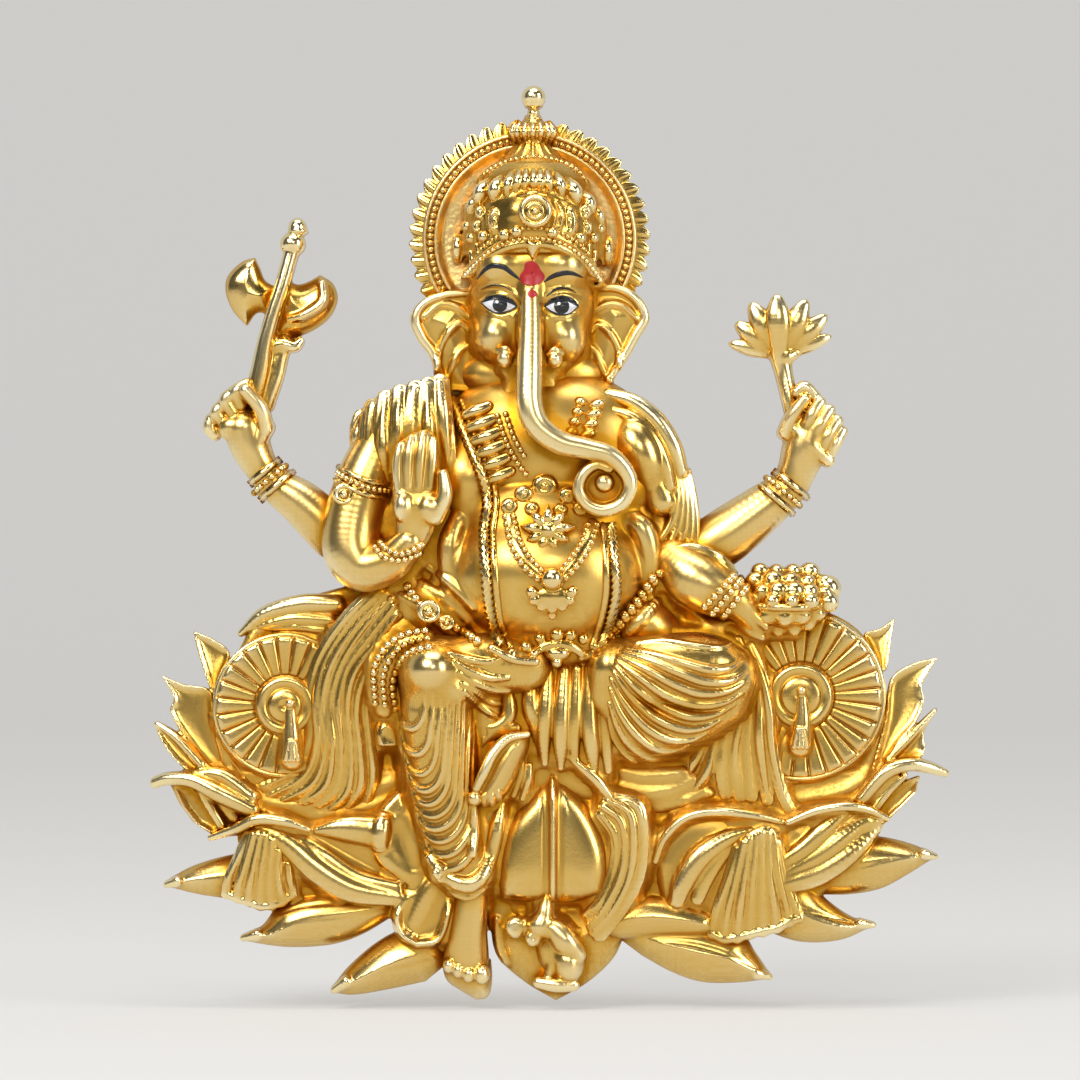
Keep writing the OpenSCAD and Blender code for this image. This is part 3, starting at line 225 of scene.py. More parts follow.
class Clay:
    """A modelling block: x across, z up and d out from the plate, all in millimetres.
    Whatever is laid on reaches straight back to the ground, as in a relief."""

    open_air = 5.0

    def __init__(self, across, up, out, grain=0.22):
        self.grain = grain
        self.axes = [np.arange(lo, hi + grain, grain, dtype=np.float32) for lo, hi in (across, up, out)]
        self.field = np.full([len(a) for a in self.axes], self.open_air, np.float32)
        self.front = None

    def cell(self, lo, hi):
        """The part of the block between two corners, and its x, z and d."""
        cuts = []
        for axis, a, b in zip(self.axes, lo, hi):
            first = int(np.clip((a - axis[0]) / self.grain - 1, 0, len(axis) - 2))
            last = int(np.clip((b - axis[0]) / self.grain + 2, first + 1, len(axis)))
            cuts.append(slice(first, last))
        x, z, d = (axis[c] for axis, c in zip(self.axes, cuts))
        return tuple(cuts), x[:, None, None], z[None, :, None], d[None, None, :]

    def lay(self, cuts, form, blend, cut):
        """Joins a form on, or cuts it away, with a fillet of about the blend."""
        old = self.field[cuts]
        round_off = np.maximum(blend - np.abs(old + form if cut else old - form), 0) ** 2 / (4 * blend)
        self.field[cuts] = np.maximum(old, -form) + round_off if cut else np.minimum(old, form) - round_off
        self.front = None

    def stroke(self, line, blend=0.35, tall=1.0, lift=None, steps=6, cut=False):
        """A bar along rows of x, z, d and radius; with a lift, of x, z and radius, laid on what is there."""
        p = bow(line, steps)
        if lift is not None:
            p = np.column_stack([p[:, :2], self.depth(p[:, 0], p[:, 1]) + lift, p[:, 2]])
        p[:, 3] = np.maximum(p[:, 3], 0.05)
        reach = p[:, 3].max() + blend + 2 * self.grain
        floor = p[:, 2].min() - reach if cut else self.axes[2][0]
        cuts, x, z, d = self.cell([*p[:, :2].min(0) - reach, floor],
                                  [*p[:, :2].max(0) + reach, p[:, 2].max() + reach])
        form = np.full([c.stop - c.start for c in cuts], self.open_air, np.float32)
        for a, b in zip(p, p[1:]):
            reach = max(a[3], b[3]) + blend + 2 * self.grain
            near, x, z, d = self.cell(
                [*np.minimum(a, b)[:2] - reach, floor],
                [*np.maximum(a, b)[:2] + reach, max(a[2], b[2]) + reach])
            span = b - a
            t = np.clip(((x - a[0]) * span[0] + (z - a[1]) * span[1]) / (span[:2] @ span[:2] + 1e-9), 0, 1)
            flat = (x - a[0] - t * span[0]) ** 2 + (z - a[1] - t * span[1]) ** 2
            rise = d - a[2] - t * span[2]
            rise = (rise if cut else np.maximum(rise, 0)) / tall
            dist = np.sqrt(flat + rise * rise) - (a[3] + t * span[3])
            local = tuple(slice(n.start - c.start, n.stop - c.start) for n, c in zip(near, cuts))
            form[local] = np.minimum(form[local], dist)
        self.lay(cuts, form, blend, cut)

    def strokes(self, lines, *alike, **also):
        """Several bars laid alike, one after the other."""
        for line in lines:
            self.stroke(line, *alike, **also)

    def ball(self, x, z, d, across, up, out, turn=0, blend=0.5, cut=False, whole=False):
        """A rounded lump with its three half sizes, turned in the plane of the plate by degrees."""
        reach = max(across, up) + blend + 2 * self.grain
        floor = d - out - reach if whole else self.axes[2][0]
        cuts, gx, gz, gd = self.cell([x - reach, z - reach, floor], [x + reach, z + reach, d + out + reach])
        c, s = math.cos(math.radians(turn)), math.sin(math.radians(turn))
        u = ((gx - x) * c + (gz - z) * s) / across
        v = ((gz - z) * c - (gx - x) * s) / up
        w = (gd - d if whole else np.maximum(gd - d, 0)) / out
        near = np.sqrt(u * u + v * v + w * w)
        slope = np.sqrt((u / across) ** 2 + (v / up) ** 2 + (w / out) ** 2) + 1e-6
        self.lay(cuts, near * (near - 1) / slope, blend, cut)

    def slab(self, outline, front, blend=0.2, edge=0.25):
        """A piece with an outline; front gives its depth from x, z and the distance in from the edge."""
        outline = np.asarray(outline, float)
        reach = blend + edge + 3 * self.grain
        cuts, x, z, d = self.cell([*outline.min(0) - reach, self.axes[2][0]],
                                  [*outline.max(0) + reach, self.axes[2][-1]])
        out = edge_distance(outline, x[:, :, 0], z[:, :, 0])
        top = front(x[:, :, 0], z[:, :, 0], -out) + 0 * out
        slope = np.sqrt(1 + sum(g * g for g in np.gradient(top, self.grain)))
        over = (d - top[:, :, None]) / slope[:, :, None]
        out = np.broadcast_to(out[:, :, None], over.shape)
        fillet = np.maximum(edge - np.abs(out - over), 0)
        self.lay(cuts, np.maximum(out, over) + fillet * fillet / (4 * edge), blend, False)

    def turned(self, axis, d, rows, blend=0.1):
        """An upright half-round body from rows of height, half width and half depth."""
        rows = np.asarray(rows, float)
        order = np.argsort(rows[:, 0])
        z_rows, wide_rows, deep_rows = rows[order].T
        reach = blend + 3 * self.grain
        cuts, x, z, out = self.cell([axis - wide_rows.max() - reach, z_rows[0] - reach, self.axes[2][0]],
                                    [axis + wide_rows.max() + reach, z_rows[-1] + reach,
                                     d + deep_rows.max() + reach])
        wide, deep = np.interp(z, z_rows, wide_rows), np.interp(z, z_rows, deep_rows)
        near = np.sqrt(((x - axis) / wide) ** 2 + (np.maximum(out - d, 0) / deep) ** 2)
        form = np.maximum((near - 1) * np.minimum(wide, deep), np.maximum(z_rows[0] - z, z - z_rows[-1]))
        self.lay(cuts, form.astype(np.float32), blend, False)

    def depth(self, x, z):
        """How far the clay stands out at places across and up."""
        if self.front is None:
            full = self.field < 0
            last = self.field.shape[2] - 2
            top = np.minimum(last + 1 - np.argmax(full[:, :, ::-1], 2), last)
            i, j = np.indices(top.shape)
            a, b = self.field[i, j, top], self.field[i, j, top + 1]
            self.front = np.where(full.any(2), self.axes[2][top] + self.grain * a / (a - b - 1e-9),
                                  self.axes[2][0])
        u = np.clip((np.asarray(x, float) - self.axes[0][0]) / self.grain, 0, self.field.shape[0] - 1.001)
        v = np.clip((np.asarray(z, float) - self.axes[1][0]) / self.grain, 0, self.field.shape[1] - 1.001)
        i, j = u.astype(int), v.astype(int)
        u, v, f = u - i, v - j, self.front
        low = f[i, j] * (1 - u) + f[i + 1, j] * u
        high = f[i, j + 1] * (1 - u) + f[i + 1, j + 1] * u
        return low * (1 - v) + high * v

    def cast(self, name, finish, nodes=None, floor=0.0):
        """The clay as a closed metal piece with its back at the floor; it stands for the node of its name."""
        f = np.maximum(self.field, floor - self.axes[2][None, None, :])
        for k in range(3):
            for end in (0, -1):
                np.moveaxis(f, k, 0)[end] = self.grain
        grid = openvdb.FloatGrid(self.open_air)
        grid.copyFromArray(np.clip(f, -3 * self.grain, 3 * self.grain))
        points, corners, squares = grid.convertToPolygons(adaptivity=0.001)
        faces = np.vstack([corners.reshape(-1, 3), squares[:, :3], squares[:, [0, 2, 3]]])
        points = points * self.grain + [axis[0] for axis in self.axes]
        return piece(name, points, faces, finish, nodes or [name])


cast_pieces = []


def piece(name, points, faces, finish, nodes):
    """A closed piece from points of x, z and d in millimetres, standing for CAD nodes. It takes its finish as
    its one material."""
    points = np.asarray(points, float)
    faces = np.asarray(faces, np.int64)
    a, b, c = (points[faces[:, k]] for k in range(3))
    volume = np.einsum("ij,ij->i", a, np.cross(b, c)).sum()
    if faces.shape[1] == 4:
        volume += np.einsum("ij,ij->i", a, np.cross(c, points[faces[:, 3]])).sum()
    if volume < 0:
        faces = faces[:, ::-1]
    mesh = bpy.data.meshes.new("cast_" + name)
    mesh.vertices.add(len(points))
    mesh.vertices.foreach_set("co", (np.column_stack(
        [points[:, 0], -plate_front - points[:, 2], points[:, 1]]) / 1000).astype(np.float32).ravel())
    mesh.loops.add(faces.size)
    mesh.loops.foreach_set("vertex_index", faces.astype(np.int32).ravel())
    mesh.polygons.add(len(faces))
    mesh.polygons.foreach_set("loop_start", np.arange(0, faces.size, faces.shape[1], dtype=np.int32))
    mesh.update(calc_edges=True)
    mesh.shade_smooth()
    mesh.materials.append(finish)
    made = bpy.data.objects.new("cast_" + name, mesh)
    bpy.context.scene.collection.objects.link(made)
    return seated(made, nodes)


def seated(made, nodes):
    """Fixes a finished piece to the one body of the part."""
    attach(made, "root")
    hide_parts(*nodes)
    cast_pieces.append(made)
    return made


seat = Clay((-45, 45), (-36, 2), (-0.6, 6), 0.3)
seat_edge = np.vstack([
    bow([(-39.1, -14.8), (-35.4, -9.2), (-26.9, -6), (-14.4, -3.5), (0, -2.2), (14.4, -2.9), (26.9, -6),
         (38.1, -10), (42.4, -15.8)]),
    bow([(42.9, -22.2), (40.4, -30.5), (31.9, -33.8), (16.9, -33.8), (0, -34.1), (-15.6, -33.8),
         (-30.6, -34.8), (-38.4, -33), (-41.5, -24.5)]),
])
seat.slab(seat_edge, lambda x, z, inside: 2.6 + 0.4 * np.exp(-((inside - 1) / 0.8) ** 2), edge=0.6)
seat.slab([(-39.9, -28.5), (40.6, -28.5), (42.4, -32.2), (40.1, -35.2), (19.4, -36.8), (0, -37),
           (-20.6, -36.8), (-37.4, -36.5), (-41.1, -33)],
          lambda x, z, inside: 2.4 + 0.6 * np.clip((z + 36.5) / 5, 0, 1) + 0 * x, 0.6, 0.6)
seat.slab([(7.6, -26.8), (14.4, -26.2), (20.9, -27.8), (22.4, -32.2), (18.1, -34.2), (11.9, -34.2),
           (7.4, -33)],
          lambda x, z, inside: 2.6 + 1.7 * np.clip(inside / 2, 0, 1) + 0 * x, 0.8, 0.8)
seat.strokes([
    [(8.4, -28.2, 0.4), (11.9, -29.2, 0.8), (15.9, -29, 0.8), (19.9, -28.2, 0.4)],
    [(8.1, -30, 0.4), (11.9, -31.2, 0.8), (15.4, -31, 0.7), (18.4, -29.8, 0.4)],
    [(8.4, -32, 0.4), (12.6, -33, 0.8), (17.4, -32.5, 0.7), (21.1, -31.2, 0.4)],
    [(-37.4, -31.8, 0.3), (-31.9, -33, 0.7), (-25.6, -32.2, 0.7), (-19.1, -30, 0.4)],
    [(-36.6, -33.8, 0.3), (-29.4, -34.5, 0.7), (-22.4, -33.2, 0.7), (-18.1, -31.8, 0.4)],
    [(31.9, -32.2, 0.3), (36.4, -31.5, 0.6), (40.1, -29.8, 0.4)],
], 0.8, tall=0.7, lift=-0.1)
seat.cast("seat", gilt_ground, ["seat_block"])

# Rear petals: the outer ring of the lotus, thin pointed blades fanned out at both sides.
# They are modelled with the plate, polished, with a raised rim and a shallow cup.
gilt_petal = gilt("gilt_petal", 0.25, 0.42)


def blade(clay, near, far, level, rise, cup=0.5):
    """A pointed petal between two edges that both run from its tip to its root."""
    near, far = bow(near), bow(far)
    tip = near[0]
    way = (near[-1] + far[-1]) / 2 - tip
    length = np.hypot(*way)
    rim, rim_width, cup_width = 0.35, 0.45, 1.2

    def front(x, z, inside):
        """Rises from the tip to the root, with a raised rim round a shallow cup."""
        along = np.clip(((x - tip[0]) * way[0] + (z - tip[1]) * way[1]) / length ** 2, 0, 1)
        dished = cup * (1 - np.exp(-np.maximum(inside, 0) / cup_width)) * along
        return level + rise * along + rim * np.exp(-(inside / rim_width) ** 2) - dished

    clay.slab(np.vstack([near, far[::-1][:-1]]), front)


rear_right = Clay((-51, -33), (-42, -9), (-0.6, 6.5), 0.2)
blade(rear_right, [(-44.2, -11.1), (-41.9, -12), (-39.6, -13.8), (-40.4, -16.8)],
      [(-44.2, -11.1), (-43.4, -14.2), (-42.1, -18), (-41.1, -18.5)], 0.9, 1.4)
blade(rear_right, [(-48.2, -16.6), (-45.4, -17.8), (-42, -18.6), (-41.4, -22.5), (-39.9, -26.2),
                   (-35.4, -31.8)],
      [(-48.2, -16.6), (-46.6, -19.5), (-47, -21.2), (-45.4, -24.1), (-42.4, -28), (-37.4, -33)],
      1.2, 2.2, cup=0.8)
blade(rear_right, [(-49.2, -22.4), (-46.9, -23.4), (-44.1, -25.5), (-41.6, -28.5)],
      [(-49.2, -22.4), (-48.1, -25), (-46.2, -27.5), (-43.6, -29.4)], 1.2, 1.8)
rear_right.stroke([(-48.6, -22.8, 1.6, 0.3), (-46.2, -24.5, 2.4, 0.5), (-43.1, -27.8, 3, 0.6)], 0.3)
pillow_base = np.array([(-47.1, -30.2), (-44.4, -29.2), (-39.9, -29.8), (-37.4, -33), (-38.1, -36.8),
                        (-41.6, -36.8), (-44.1, -35.2), (-45.9, -32.8)])
rear_right.slab(pillow_base, lambda x, z, inside: 1.5 + 0 * x, edge=0.5)
rear_right.slab(np.array([(-46.6, -30.5), (-44.6, -30.5), (-42.5, -32.2), (-40.1, -35.5), (-41.6, -36.6),
                          (-43.6, -35.5), (-45.4, -33.2)]),
                lambda x, z, inside: 1.6 + 0.5 * np.exp(-(inside / 0.5) ** 2) + 0 * x)
rear_right.strokes([
    [(-43.6, -30, 3.2, 0.4), (-42.4, -32.2, 3.2, 0.6), (-40.5, -35.5, 3, 0.5)],
    [(-42.5, -30.2, 3.2, 0.4), (-40.6, -32.2, 3.2, 0.8), (-38.9, -34.5, 3.2, 0.7)],
    [(-48.8, -30.1, 2.2, 0.75), (-47.1, -29.6, 2.8, 0.8), (-44.1, -29.8, 3.6, 0.9),
     (-40.6, -31.5, 4.2, 1.1), (-36.6, -33.5, 4.2, 1)],
], 0.25)
rear_right.stroke([(-44.4, -29, 3, 0.5), (-40.6, -29.2, 3.4, 1), (-36.9, -31.8, 3.6, 1.2)], 0.4)
rear_right.cast("rear_petals_right", gilt_petal)

rear_left = Clay((38, 51.5), (-42, -8), (-0.6, 6.5), 0.2)
blade(rear_left, [(44, -9.4), (42.1, -10.8), (40.1, -11.5), (40.9, -13.8)],
      [(44, -9.4), (43.5, -12.2), (42.9, -15.8), (41.9, -16.2)], 0.9, 1.4)
blade(rear_left, [(49.4, -14.4), (46.2, -15.2), (43.4, -17.2), (42.6, -22.2), (40.9, -28.5)],
      [(49.4, -14.4), (47.4, -17.8), (47.6, -20), (46.4, -22.8), (44.1, -25.5), (42.4, -29.5)],
      1.2, 2.2, cup=0.8)
blade(rear_left, [(49.4, -20.5), (46.4, -23.5), (43.6, -26.8), (42.4, -28.2)],
      [(49.4, -20.5), (47.6, -23.8), (47.6, -26.5), (44.9, -28)], 1.2, 1.8)
rear_left.stroke([(48.9, -21.2, 1.6, 0.3), (46.1, -24.1, 2.4, 0.5), (43.1, -27.2, 3, 0.6)], 0.3)
rear_left.slab(np.array([(47.1, -29.2), (45.4, -29.8), (42.6, -32.2), (40.9, -34.5), (42.9, -35),
                         (45.1, -33), (46.6, -31.5)]),
               lambda x, z, inside: 1.6 + 0.5 * np.exp(-(inside / 0.5) ** 2) + 0 * x)
rear_left.strokes([
    [(45.1, -29.2, 3.2, 0.4), (42.9, -31.2, 3.2, 0.6), (40.9, -33.8, 3.2, 0.6)],
    [(43.9, -29.2, 3.4, 0.4), (41.4, -31.2, 3.4, 0.6), (39.6, -33.2, 3.4, 0.6)],
    [(50.2, -28.9, 2.2, 0.55), (48.1, -28.2, 3, 0.8), (45.6, -27.8, 3.8, 0.85), (42.6, -28.8, 4.2, 0.9),
     (39.6, -32.2, 4, 0.8)],
], 0.25)
rear_left.cast("rear_petals_left", gilt_petal)

# Front petals: the inner ring, thick and pillowed, with rolled lips and turned-back tips.
# They stand out over the rear ring and carry the ends of the seat cloths.


def pillow(clay, outline, level, puff, soft=1.4, edge=0.3, lean=(0, 0)):
    """A plump leaf inside an outline; lean is its slope across and up."""
    outline = np.asarray(outline, float)
    mid = outline.mean(0)
    clay.slab(outline, lambda x, z, inside: level + puff * (1 - np.exp(-np.maximum(inside, 0) / soft))
              + lean[0] * (x - mid[0]) + lean[1] * (z - mid[1]), 0.15, edge)


def leaf(*sides):
    """A closed outline whose sides are smooth lines with sharp corners between them.
    Each side goes on from the end of the one before, and the last one runs back to the start."""
    whole = [sides[0]] + [[before[-1], *side] for before, side in zip(sides, sides[1:])]
    whole[-1] = [*whole[-1], sides[0][0]]
    return np.vstack([bow(side)[:-1] for side in whole])


front_right = Clay((-49, -11), (-57.5, -31), (-0.6, 9.5), 0.2)
pillow(front_right, [(-38.6, -37), (-35.4, -34.5), (-26.9, -33), (-13.1, -31.8), (-13.1, -47.9),
                     (-20.6, -47), (-26.9, -44.8), (-33.1, -44.1), (-37.4, -42.2)], 2.4, 0.8)
pillow(front_right, leaf([(-47.9, -43), (-45.4, -41.2), (-42.1, -39.9), (-37.6, -38.8)],
                         [(-36.6, -42.2), (-37.4, -45)], [(-40.9, -44.6), (-44.4, -44)]), 1.2, 2.6, 1.5)
front_right.stroke([(-46.6, -42.8, 0.12), (-42.5, -42.2, 0.3), (-38.1, -42, 0.3)], 0.3, lift=0.25, cut=True)
front_right.stroke([(-47.4, -42.9, 2, 0.45), (-46.1, -42.5, 2.6, 0.7)], 0.3)
pillow(front_right, leaf([(-26.9, -56.4), (-24.9, -53.5), (-21.1, -50.2), (-17.6, -48.5), (-12.4, -47.5)],
                         [(-12.1, -52.2), (-14.9, -55.1)], [(-19.6, -56.1), (-24.1, -56.8)]), 1.4, 3.2, 1.8)
front_right.stroke([(-25.1, -55.8, 0.15), (-20.1, -53.8, 0.3), (-14.4, -52.5, 0.35)], 0.3, lift=0.3,
                   cut=True)
front_right.stroke([(-26.4, -56.1, 2.2, 0.5), (-24.9, -55.1, 2.8, 0.8)], 0.3)
pillow(front_right, leaf([(-38.1, -49.8), (-35.4, -48), (-33.4, -45.5), (-29.9, -43.9), (-24.9, -43.5),
                          (-18.6, -44.2)], [(-18.4, -46.5)],
                         [(-22.9, -49.2), (-26.9, -50.5), (-31.9, -50.8), (-35.6, -50.4)]), 1.6, 3.2, 1.5)
front_right.stroke([(-35.4, -48.9, 0.15), (-30.6, -47.5, 0.35), (-25.6, -46.9, 0.4), (-19.1, -46.1, 0.3)],
                   0.3, lift=0.3, cut=True)
front_right.stroke([(-33.6, -46.5, 0.15), (-30, -45.4, 0.3), (-24.4, -44.9, 0.35), (-19.4, -44.9, 0.25)],
                   0.3, lift=0.25, cut=True)
front_right.stroke([(-37.8, -49.6, 2.2, 0.45), (-36.1, -49.2, 2.8, 0.75)], 0.3)
pillow(front_right, leaf([(-42, -37), (-38.4, -35.4), (-35.4, -34.1), (-30.6, -34.8), (-25, -34.2),
                          (-20.1, -33.8)], [(-19.1, -38.5), (-17.6, -43.8)],
                         [(-20.1, -45.8), (-24.9, -45), (-29.6, -42.5), (-33.1, -39), (-36.1, -36.5),
                          (-38.9, -36.8)]), 3, 1.9, 1.2)
front_right.stroke([(-29.4, -36.2, 0.4), (-26.1, -38, 0.9), (-22.4, -40, 1), (-18.6, -42, 0.7)], 0.8,
                   lift=0.55, cut=True)
front_right.strokes([
    [(-36.9, -35.2, 4.1, 0.6), (-32.5, -37.5, 4.7, 1.3), (-28.4, -41, 5, 1.6), (-24.1, -43.5, 5.1, 1.5),
     (-18.4, -44.5, 4.9, 1)],
    [(-32.4, -36.2, 4.2, 0.5), (-27.9, -39.2, 4.8, 1.1), (-23.6, -42, 4.9, 1.1), (-18.6, -43.2, 4.8, 0.9)],
    [(-28.4, -36, 4.5, 0.5), (-24.9, -35.8, 4.9, 1.5), (-20.9, -36.2, 4.9, 2)],
], 0.5, tall=0.6)
front_right.stroke([(-41.9, -37, 3, 0.4), (-38.6, -35.8, 4.4, 0.65), (-35.9, -34.6, 5.3, 0.75),
                    (-32.5, -34.9, 5.4, 0.65), (-29.6, -35.9, 5, 0.4)], 0.3)
pillow(front_right, leaf([(-18.4, -31), (-20.4, -33.8), (-21.4, -37), (-20.8, -40), (-18.6, -41.8),
                          (-16.4, -43.5)],
                         [(-14.6, -42.2), (-13.9, -38.5), (-14.9, -34.1), (-16.8, -31.8)]), 4, 1.7, 1.2)
front_right.stroke([(-17.6, -33.8, 0.4), (-17.9, -37, 0.9), (-16.4, -40.5, 0.6)], 0.9, lift=0.5, cut=True)
front_right.stroke([(-18.2, -31.8, 0.5), (-19.9, -34.1, 0.9), (-20.6, -37, 1), (-19.9, -39.5, 0.95),
                    (-17.6, -41.5, 0.8), (-15.9, -43.2, 0.5)], 0.7, tall=0.7, lift=-0.1)
front_right.stroke([(-15.6, -33.2, 0.4), (-14.4, -36.2, 0.7), (-14.4, -39.5, 0.6), (-15.6, -42.2, 0.4)],
                   0.7, tall=0.6, lift=0)
front_right.slab(leaf([(-12.4, -40.2), (-15.4, -41.5), (-17.9, -43.8), (-19.2, -46.5), (-18.5, -49.4),
                       (-16.1, -51)], [(-13.1, -50.4), (-11.6, -47.5), (-11.1, -42.8)]),
                 lambda x, z, inside: 4.2 + 0.5 * np.clip(inside / 1.5, 0, 1)
                 + 1.3 * np.exp(-((inside - 0.7) / 0.6) ** 2) * np.clip((-43.6 - z) / 3, 0, 1)
                 + 0.12 * np.clip(z + 48, 0, 6), 0.4, 0.6)
front_right.stroke([(-12.9, -41, 0.5), (-14.6, -44, 0.95), (-16.1, -47.2, 0.8), (-16.9, -49, 0.4)], 0.9,
                   tall=0.6, lift=0)
front_right.cast("front_petals_right", gilt_petal)

front_left = Clay((6, 49.5), (-55.5, -31), (-0.6, 9.5), 0.2)
pillow(front_left, [(7.6, -48), (13.8, -35.5), (21.9, -33.2), (36.9, -32.8), (40.1, -35), (37.6, -41.8),
                    (31.9, -46.2), (21.9, -48.5), (13.1, -49.2)], 2.4, 0.8)
pillow(front_left, leaf([(49.2, -39.4), (46.2, -37.9), (41.9, -36.9), (37.4, -36.8)],
                        [(33.4, -41.2), (34.1, -44.2)], [(38.1, -44.2), (42.1, -43.5), (45.4, -41.8)]),
       1.2, 2.8, 1.5)
front_left.stroke([(47.6, -39.4, 0.15), (43.1, -39.8, 0.35), (37.6, -41.2, 0.35)], 0.3, lift=0.3, cut=True)
front_left.stroke([(49, -39.4, 2, 0.4), (47.6, -39.1, 2.6, 0.7)], 0.3)
pillow(front_left, leaf([(41.5, -48), (38.4, -46.9), (35.4, -44.8), (32.9, -42.2), (30.1, -41.2)],
                        [(29.1, -44.8), (27.1, -48.5)], [(31.9, -50.1), (37.1, -49.9)]), 1.6, 2.9, 1.4)
front_left.stroke([(40.1, -47.9, 0.15), (36.4, -47, 0.35), (32.6, -46, 0.35), (29.4, -46.2, 0.25)], 0.3,
                  lift=0.3, cut=True)
front_left.stroke([(41.2, -48, 2, 0.4), (39.6, -47.8, 2.6, 0.65)], 0.3)
pillow(front_left, leaf([(28.6, -54.6), (26.5, -51.5), (24.6, -49), (19.4, -47.5), (13.1, -47.5),
                         (8.4, -49)], [(12.1, -51.8)], [(15.9, -53.9), (19.9, -55.2), (24.9, -55.2)]),
       1.6, 3.2, 1.8)
front_left.stroke([(27.4, -53.8, 0.15), (23.6, -51.8, 0.4), (18.1, -50.2, 0.45), (11.9, -49.8, 0.3)], 0.4,
                  lift=0.35, cut=True)
front_left.stroke([(28.2, -54.5, 2, 0.4), (26.6, -54.1, 2.6, 0.7)], 0.3)
pillow(front_left, leaf([(43.1, -34.6), (40.1, -33.1), (37.1, -32.8), (33.4, -33.5), (30.1, -34.9)],
                        [(28.9, -38.5), (29.1, -43.2)], [(32.6, -43.2), (35.9, -42), (39.6, -39)]),
       3, 1.5, 0.9)
pillow(front_left, leaf([(30, -35), (25.6, -33.9), (21.4, -33.4), (17.6, -34.1), (14.6, -37), (13.4, -40)],
                        [(15.1, -45.5), (18.1, -45.5)], [(20.9, -43.5), (23.4, -39.8)]), 3.2, 1.4, 0.8)
pillow(front_left, leaf([(6.4, -48), (8.9, -45.1), (13.1, -44.2), (17.9, -45), (21.4, -46.5)],
                        [(20.9, -49.2), (14.4, -49.5), (8.4, -49.5)]), 3.2, 2.2, 1.2)
front_left.strokes([
    [(41.6, -36, 3.4, 0.5), (38.1, -38.9, 4.3, 1.3), (33.8, -41.6, 4.7, 1.5), (29.4, -43, 4.5, 1.1)],
    [(40.1, -34.8, 4, 0.5), (37.1, -37, 4.6, 1.1), (33.9, -39.5, 4.8, 1.2), (30.1, -41.5, 4.6, 0.9)],
    [(37.6, -33.8, 4.4, 0.45), (35.1, -35.8, 4.8, 1), (32.6, -38.2, 4.8, 1.1), (29.6, -40.2, 4.6, 0.8)],
    [(27.1, -35.8, 4.8, 0.5), (22.9, -37, 5.2, 1), (19.6, -39.2, 5.5, 1.3), (17.4, -42.5, 5.4, 1.2),
     (16.6, -44.8, 5.2, 0.9)],
    [(25.4, -37, 4.5, 0.5), (22.4, -38.8, 4.8, 1), (20.4, -41.5, 4.9, 1.1), (19.1, -44.5, 4.8, 0.9)],
], 0.5, tall=0.6)
front_left.strokes([
    [(42.9, -34.6, 3.4, 0.4), (40.4, -33.4, 4.6, 0.55), (37.4, -33, 5.4, 0.6), (33.8, -33.6, 5.6, 0.55),
     (30.4, -35, 5.2, 0.45)],
    [(29.9, -35, 4.6, 0.4), (25.9, -34.1, 5.5, 0.55), (21.4, -33.6, 5.9, 0.6), (17.6, -34.4, 5.7, 0.55),
     (14.9, -37, 5.3, 0.55), (13.8, -39.8, 5, 0.5)],
], 0.3)
front_left.cast("front_petals_left", gilt_petal)

# Centre and bottom petals: the upright petal below the figure's lap, a smooth shield with a
# sharp keel down the middle, and the broad petal under the mouse.
middle = Clay((-8.5, 11.5), (-58, -27), (-0.6, 10), 0.2)
pillow(middle, [(-7.6, -40.5), (9.4, -40.5), (11.1, -48), (8.4, -51), (-4.4, -51), (-7.1, -48.5)], 2.4, 0.8)
keel = 1.0
middle.slab(np.vstack([
                bow([(0.8, -28.2), (-2.1, -31.5), (-4.6, -34.5), (-6, -38), (-6.4, -42), (-5.6, -44.8)])[:-1],
                bow([(-5.6, -44.8), (1, -45.5), (7.6, -44.5)])[:-1],
                bow([(7.6, -44.5), (8.4, -41.2), (8, -37.5), (5.6, -32.8), (1, -28.2)])[:-1]]),
            lambda x, z, inside: 3.8 + 2.9 * (1 - np.exp(-np.maximum(inside, 0) / 0.9))
            + 0.4 * np.clip(1 - ((x - keel) / 8) ** 2, 0, 1)
            + 0.75 * np.exp(-((x - keel) / 0.4) ** 4)
            - 0.3 * np.exp(-((np.abs(x - keel) - 0.95) / 0.45) ** 2)
            - 0.014 * (z + 40) ** 2 * (z < -40) - 0.1 * np.maximum(z + 32, 0), edge=0.7)
pillow(middle, leaf([(-6.9, -48), (-5.9, -52), (-2.6, -55.1), (1.4, -57.5)],
                    [(5.4, -55.2), (8.6, -52.2), (10.1, -49)], [(6.9, -45), (-3.6, -44.5)]), 1.6, 3.2, 2.4)
middle.stroke([(-6, -47.2, 0.35), (-5.8, -50.4, 0.45), (-5, -52.5, 0.3)], 0.5, lift=0)
middle.cast("middle_petals", gilt_petal, ["centre_petal", "bottom_petal"])

# Mouse: the figure's mount, crouched at the foot of the lotus with its snout raised.
# Solid and smooth, cast with the petal behind it.
gilt_body = gilt("gilt_body", 0.29, 0.42)
mouse = Clay((-6, 7), (-57, -43), (-0.6, 11), 0.14)
mouse.ball(2, -51, 3.6, 3.1, 3.8, 2.6, 25)
mouse.ball(2.9, -52.5, 4.6, 2, 2.3, 2.6, 15, 0.5)
mouse.stroke([(-0.2, -48, 5.4, 1.3), (1.4, -48.5, 5.8, 1.45), (2.6, -49.9, 6, 1.6), (3.9, -51.4, 5.6, 1.3)],
             0.3)
mouse.ball(2.9, -53.1, 4.6, 1.85, 2, 2.6, blend=0.15)
mouse.stroke([(1.4, -51.2, 5, 0.5), (0.9, -52.8, 5.2, 0.55), (0.5, -54.2, 5, 0.6)], 0.4)
mouse.stroke([(-0.8, -55, 5, 0.7), (1.4, -55.3, 5.4, 0.9), (3.6, -55.4, 5, 0.75)], 0.3)
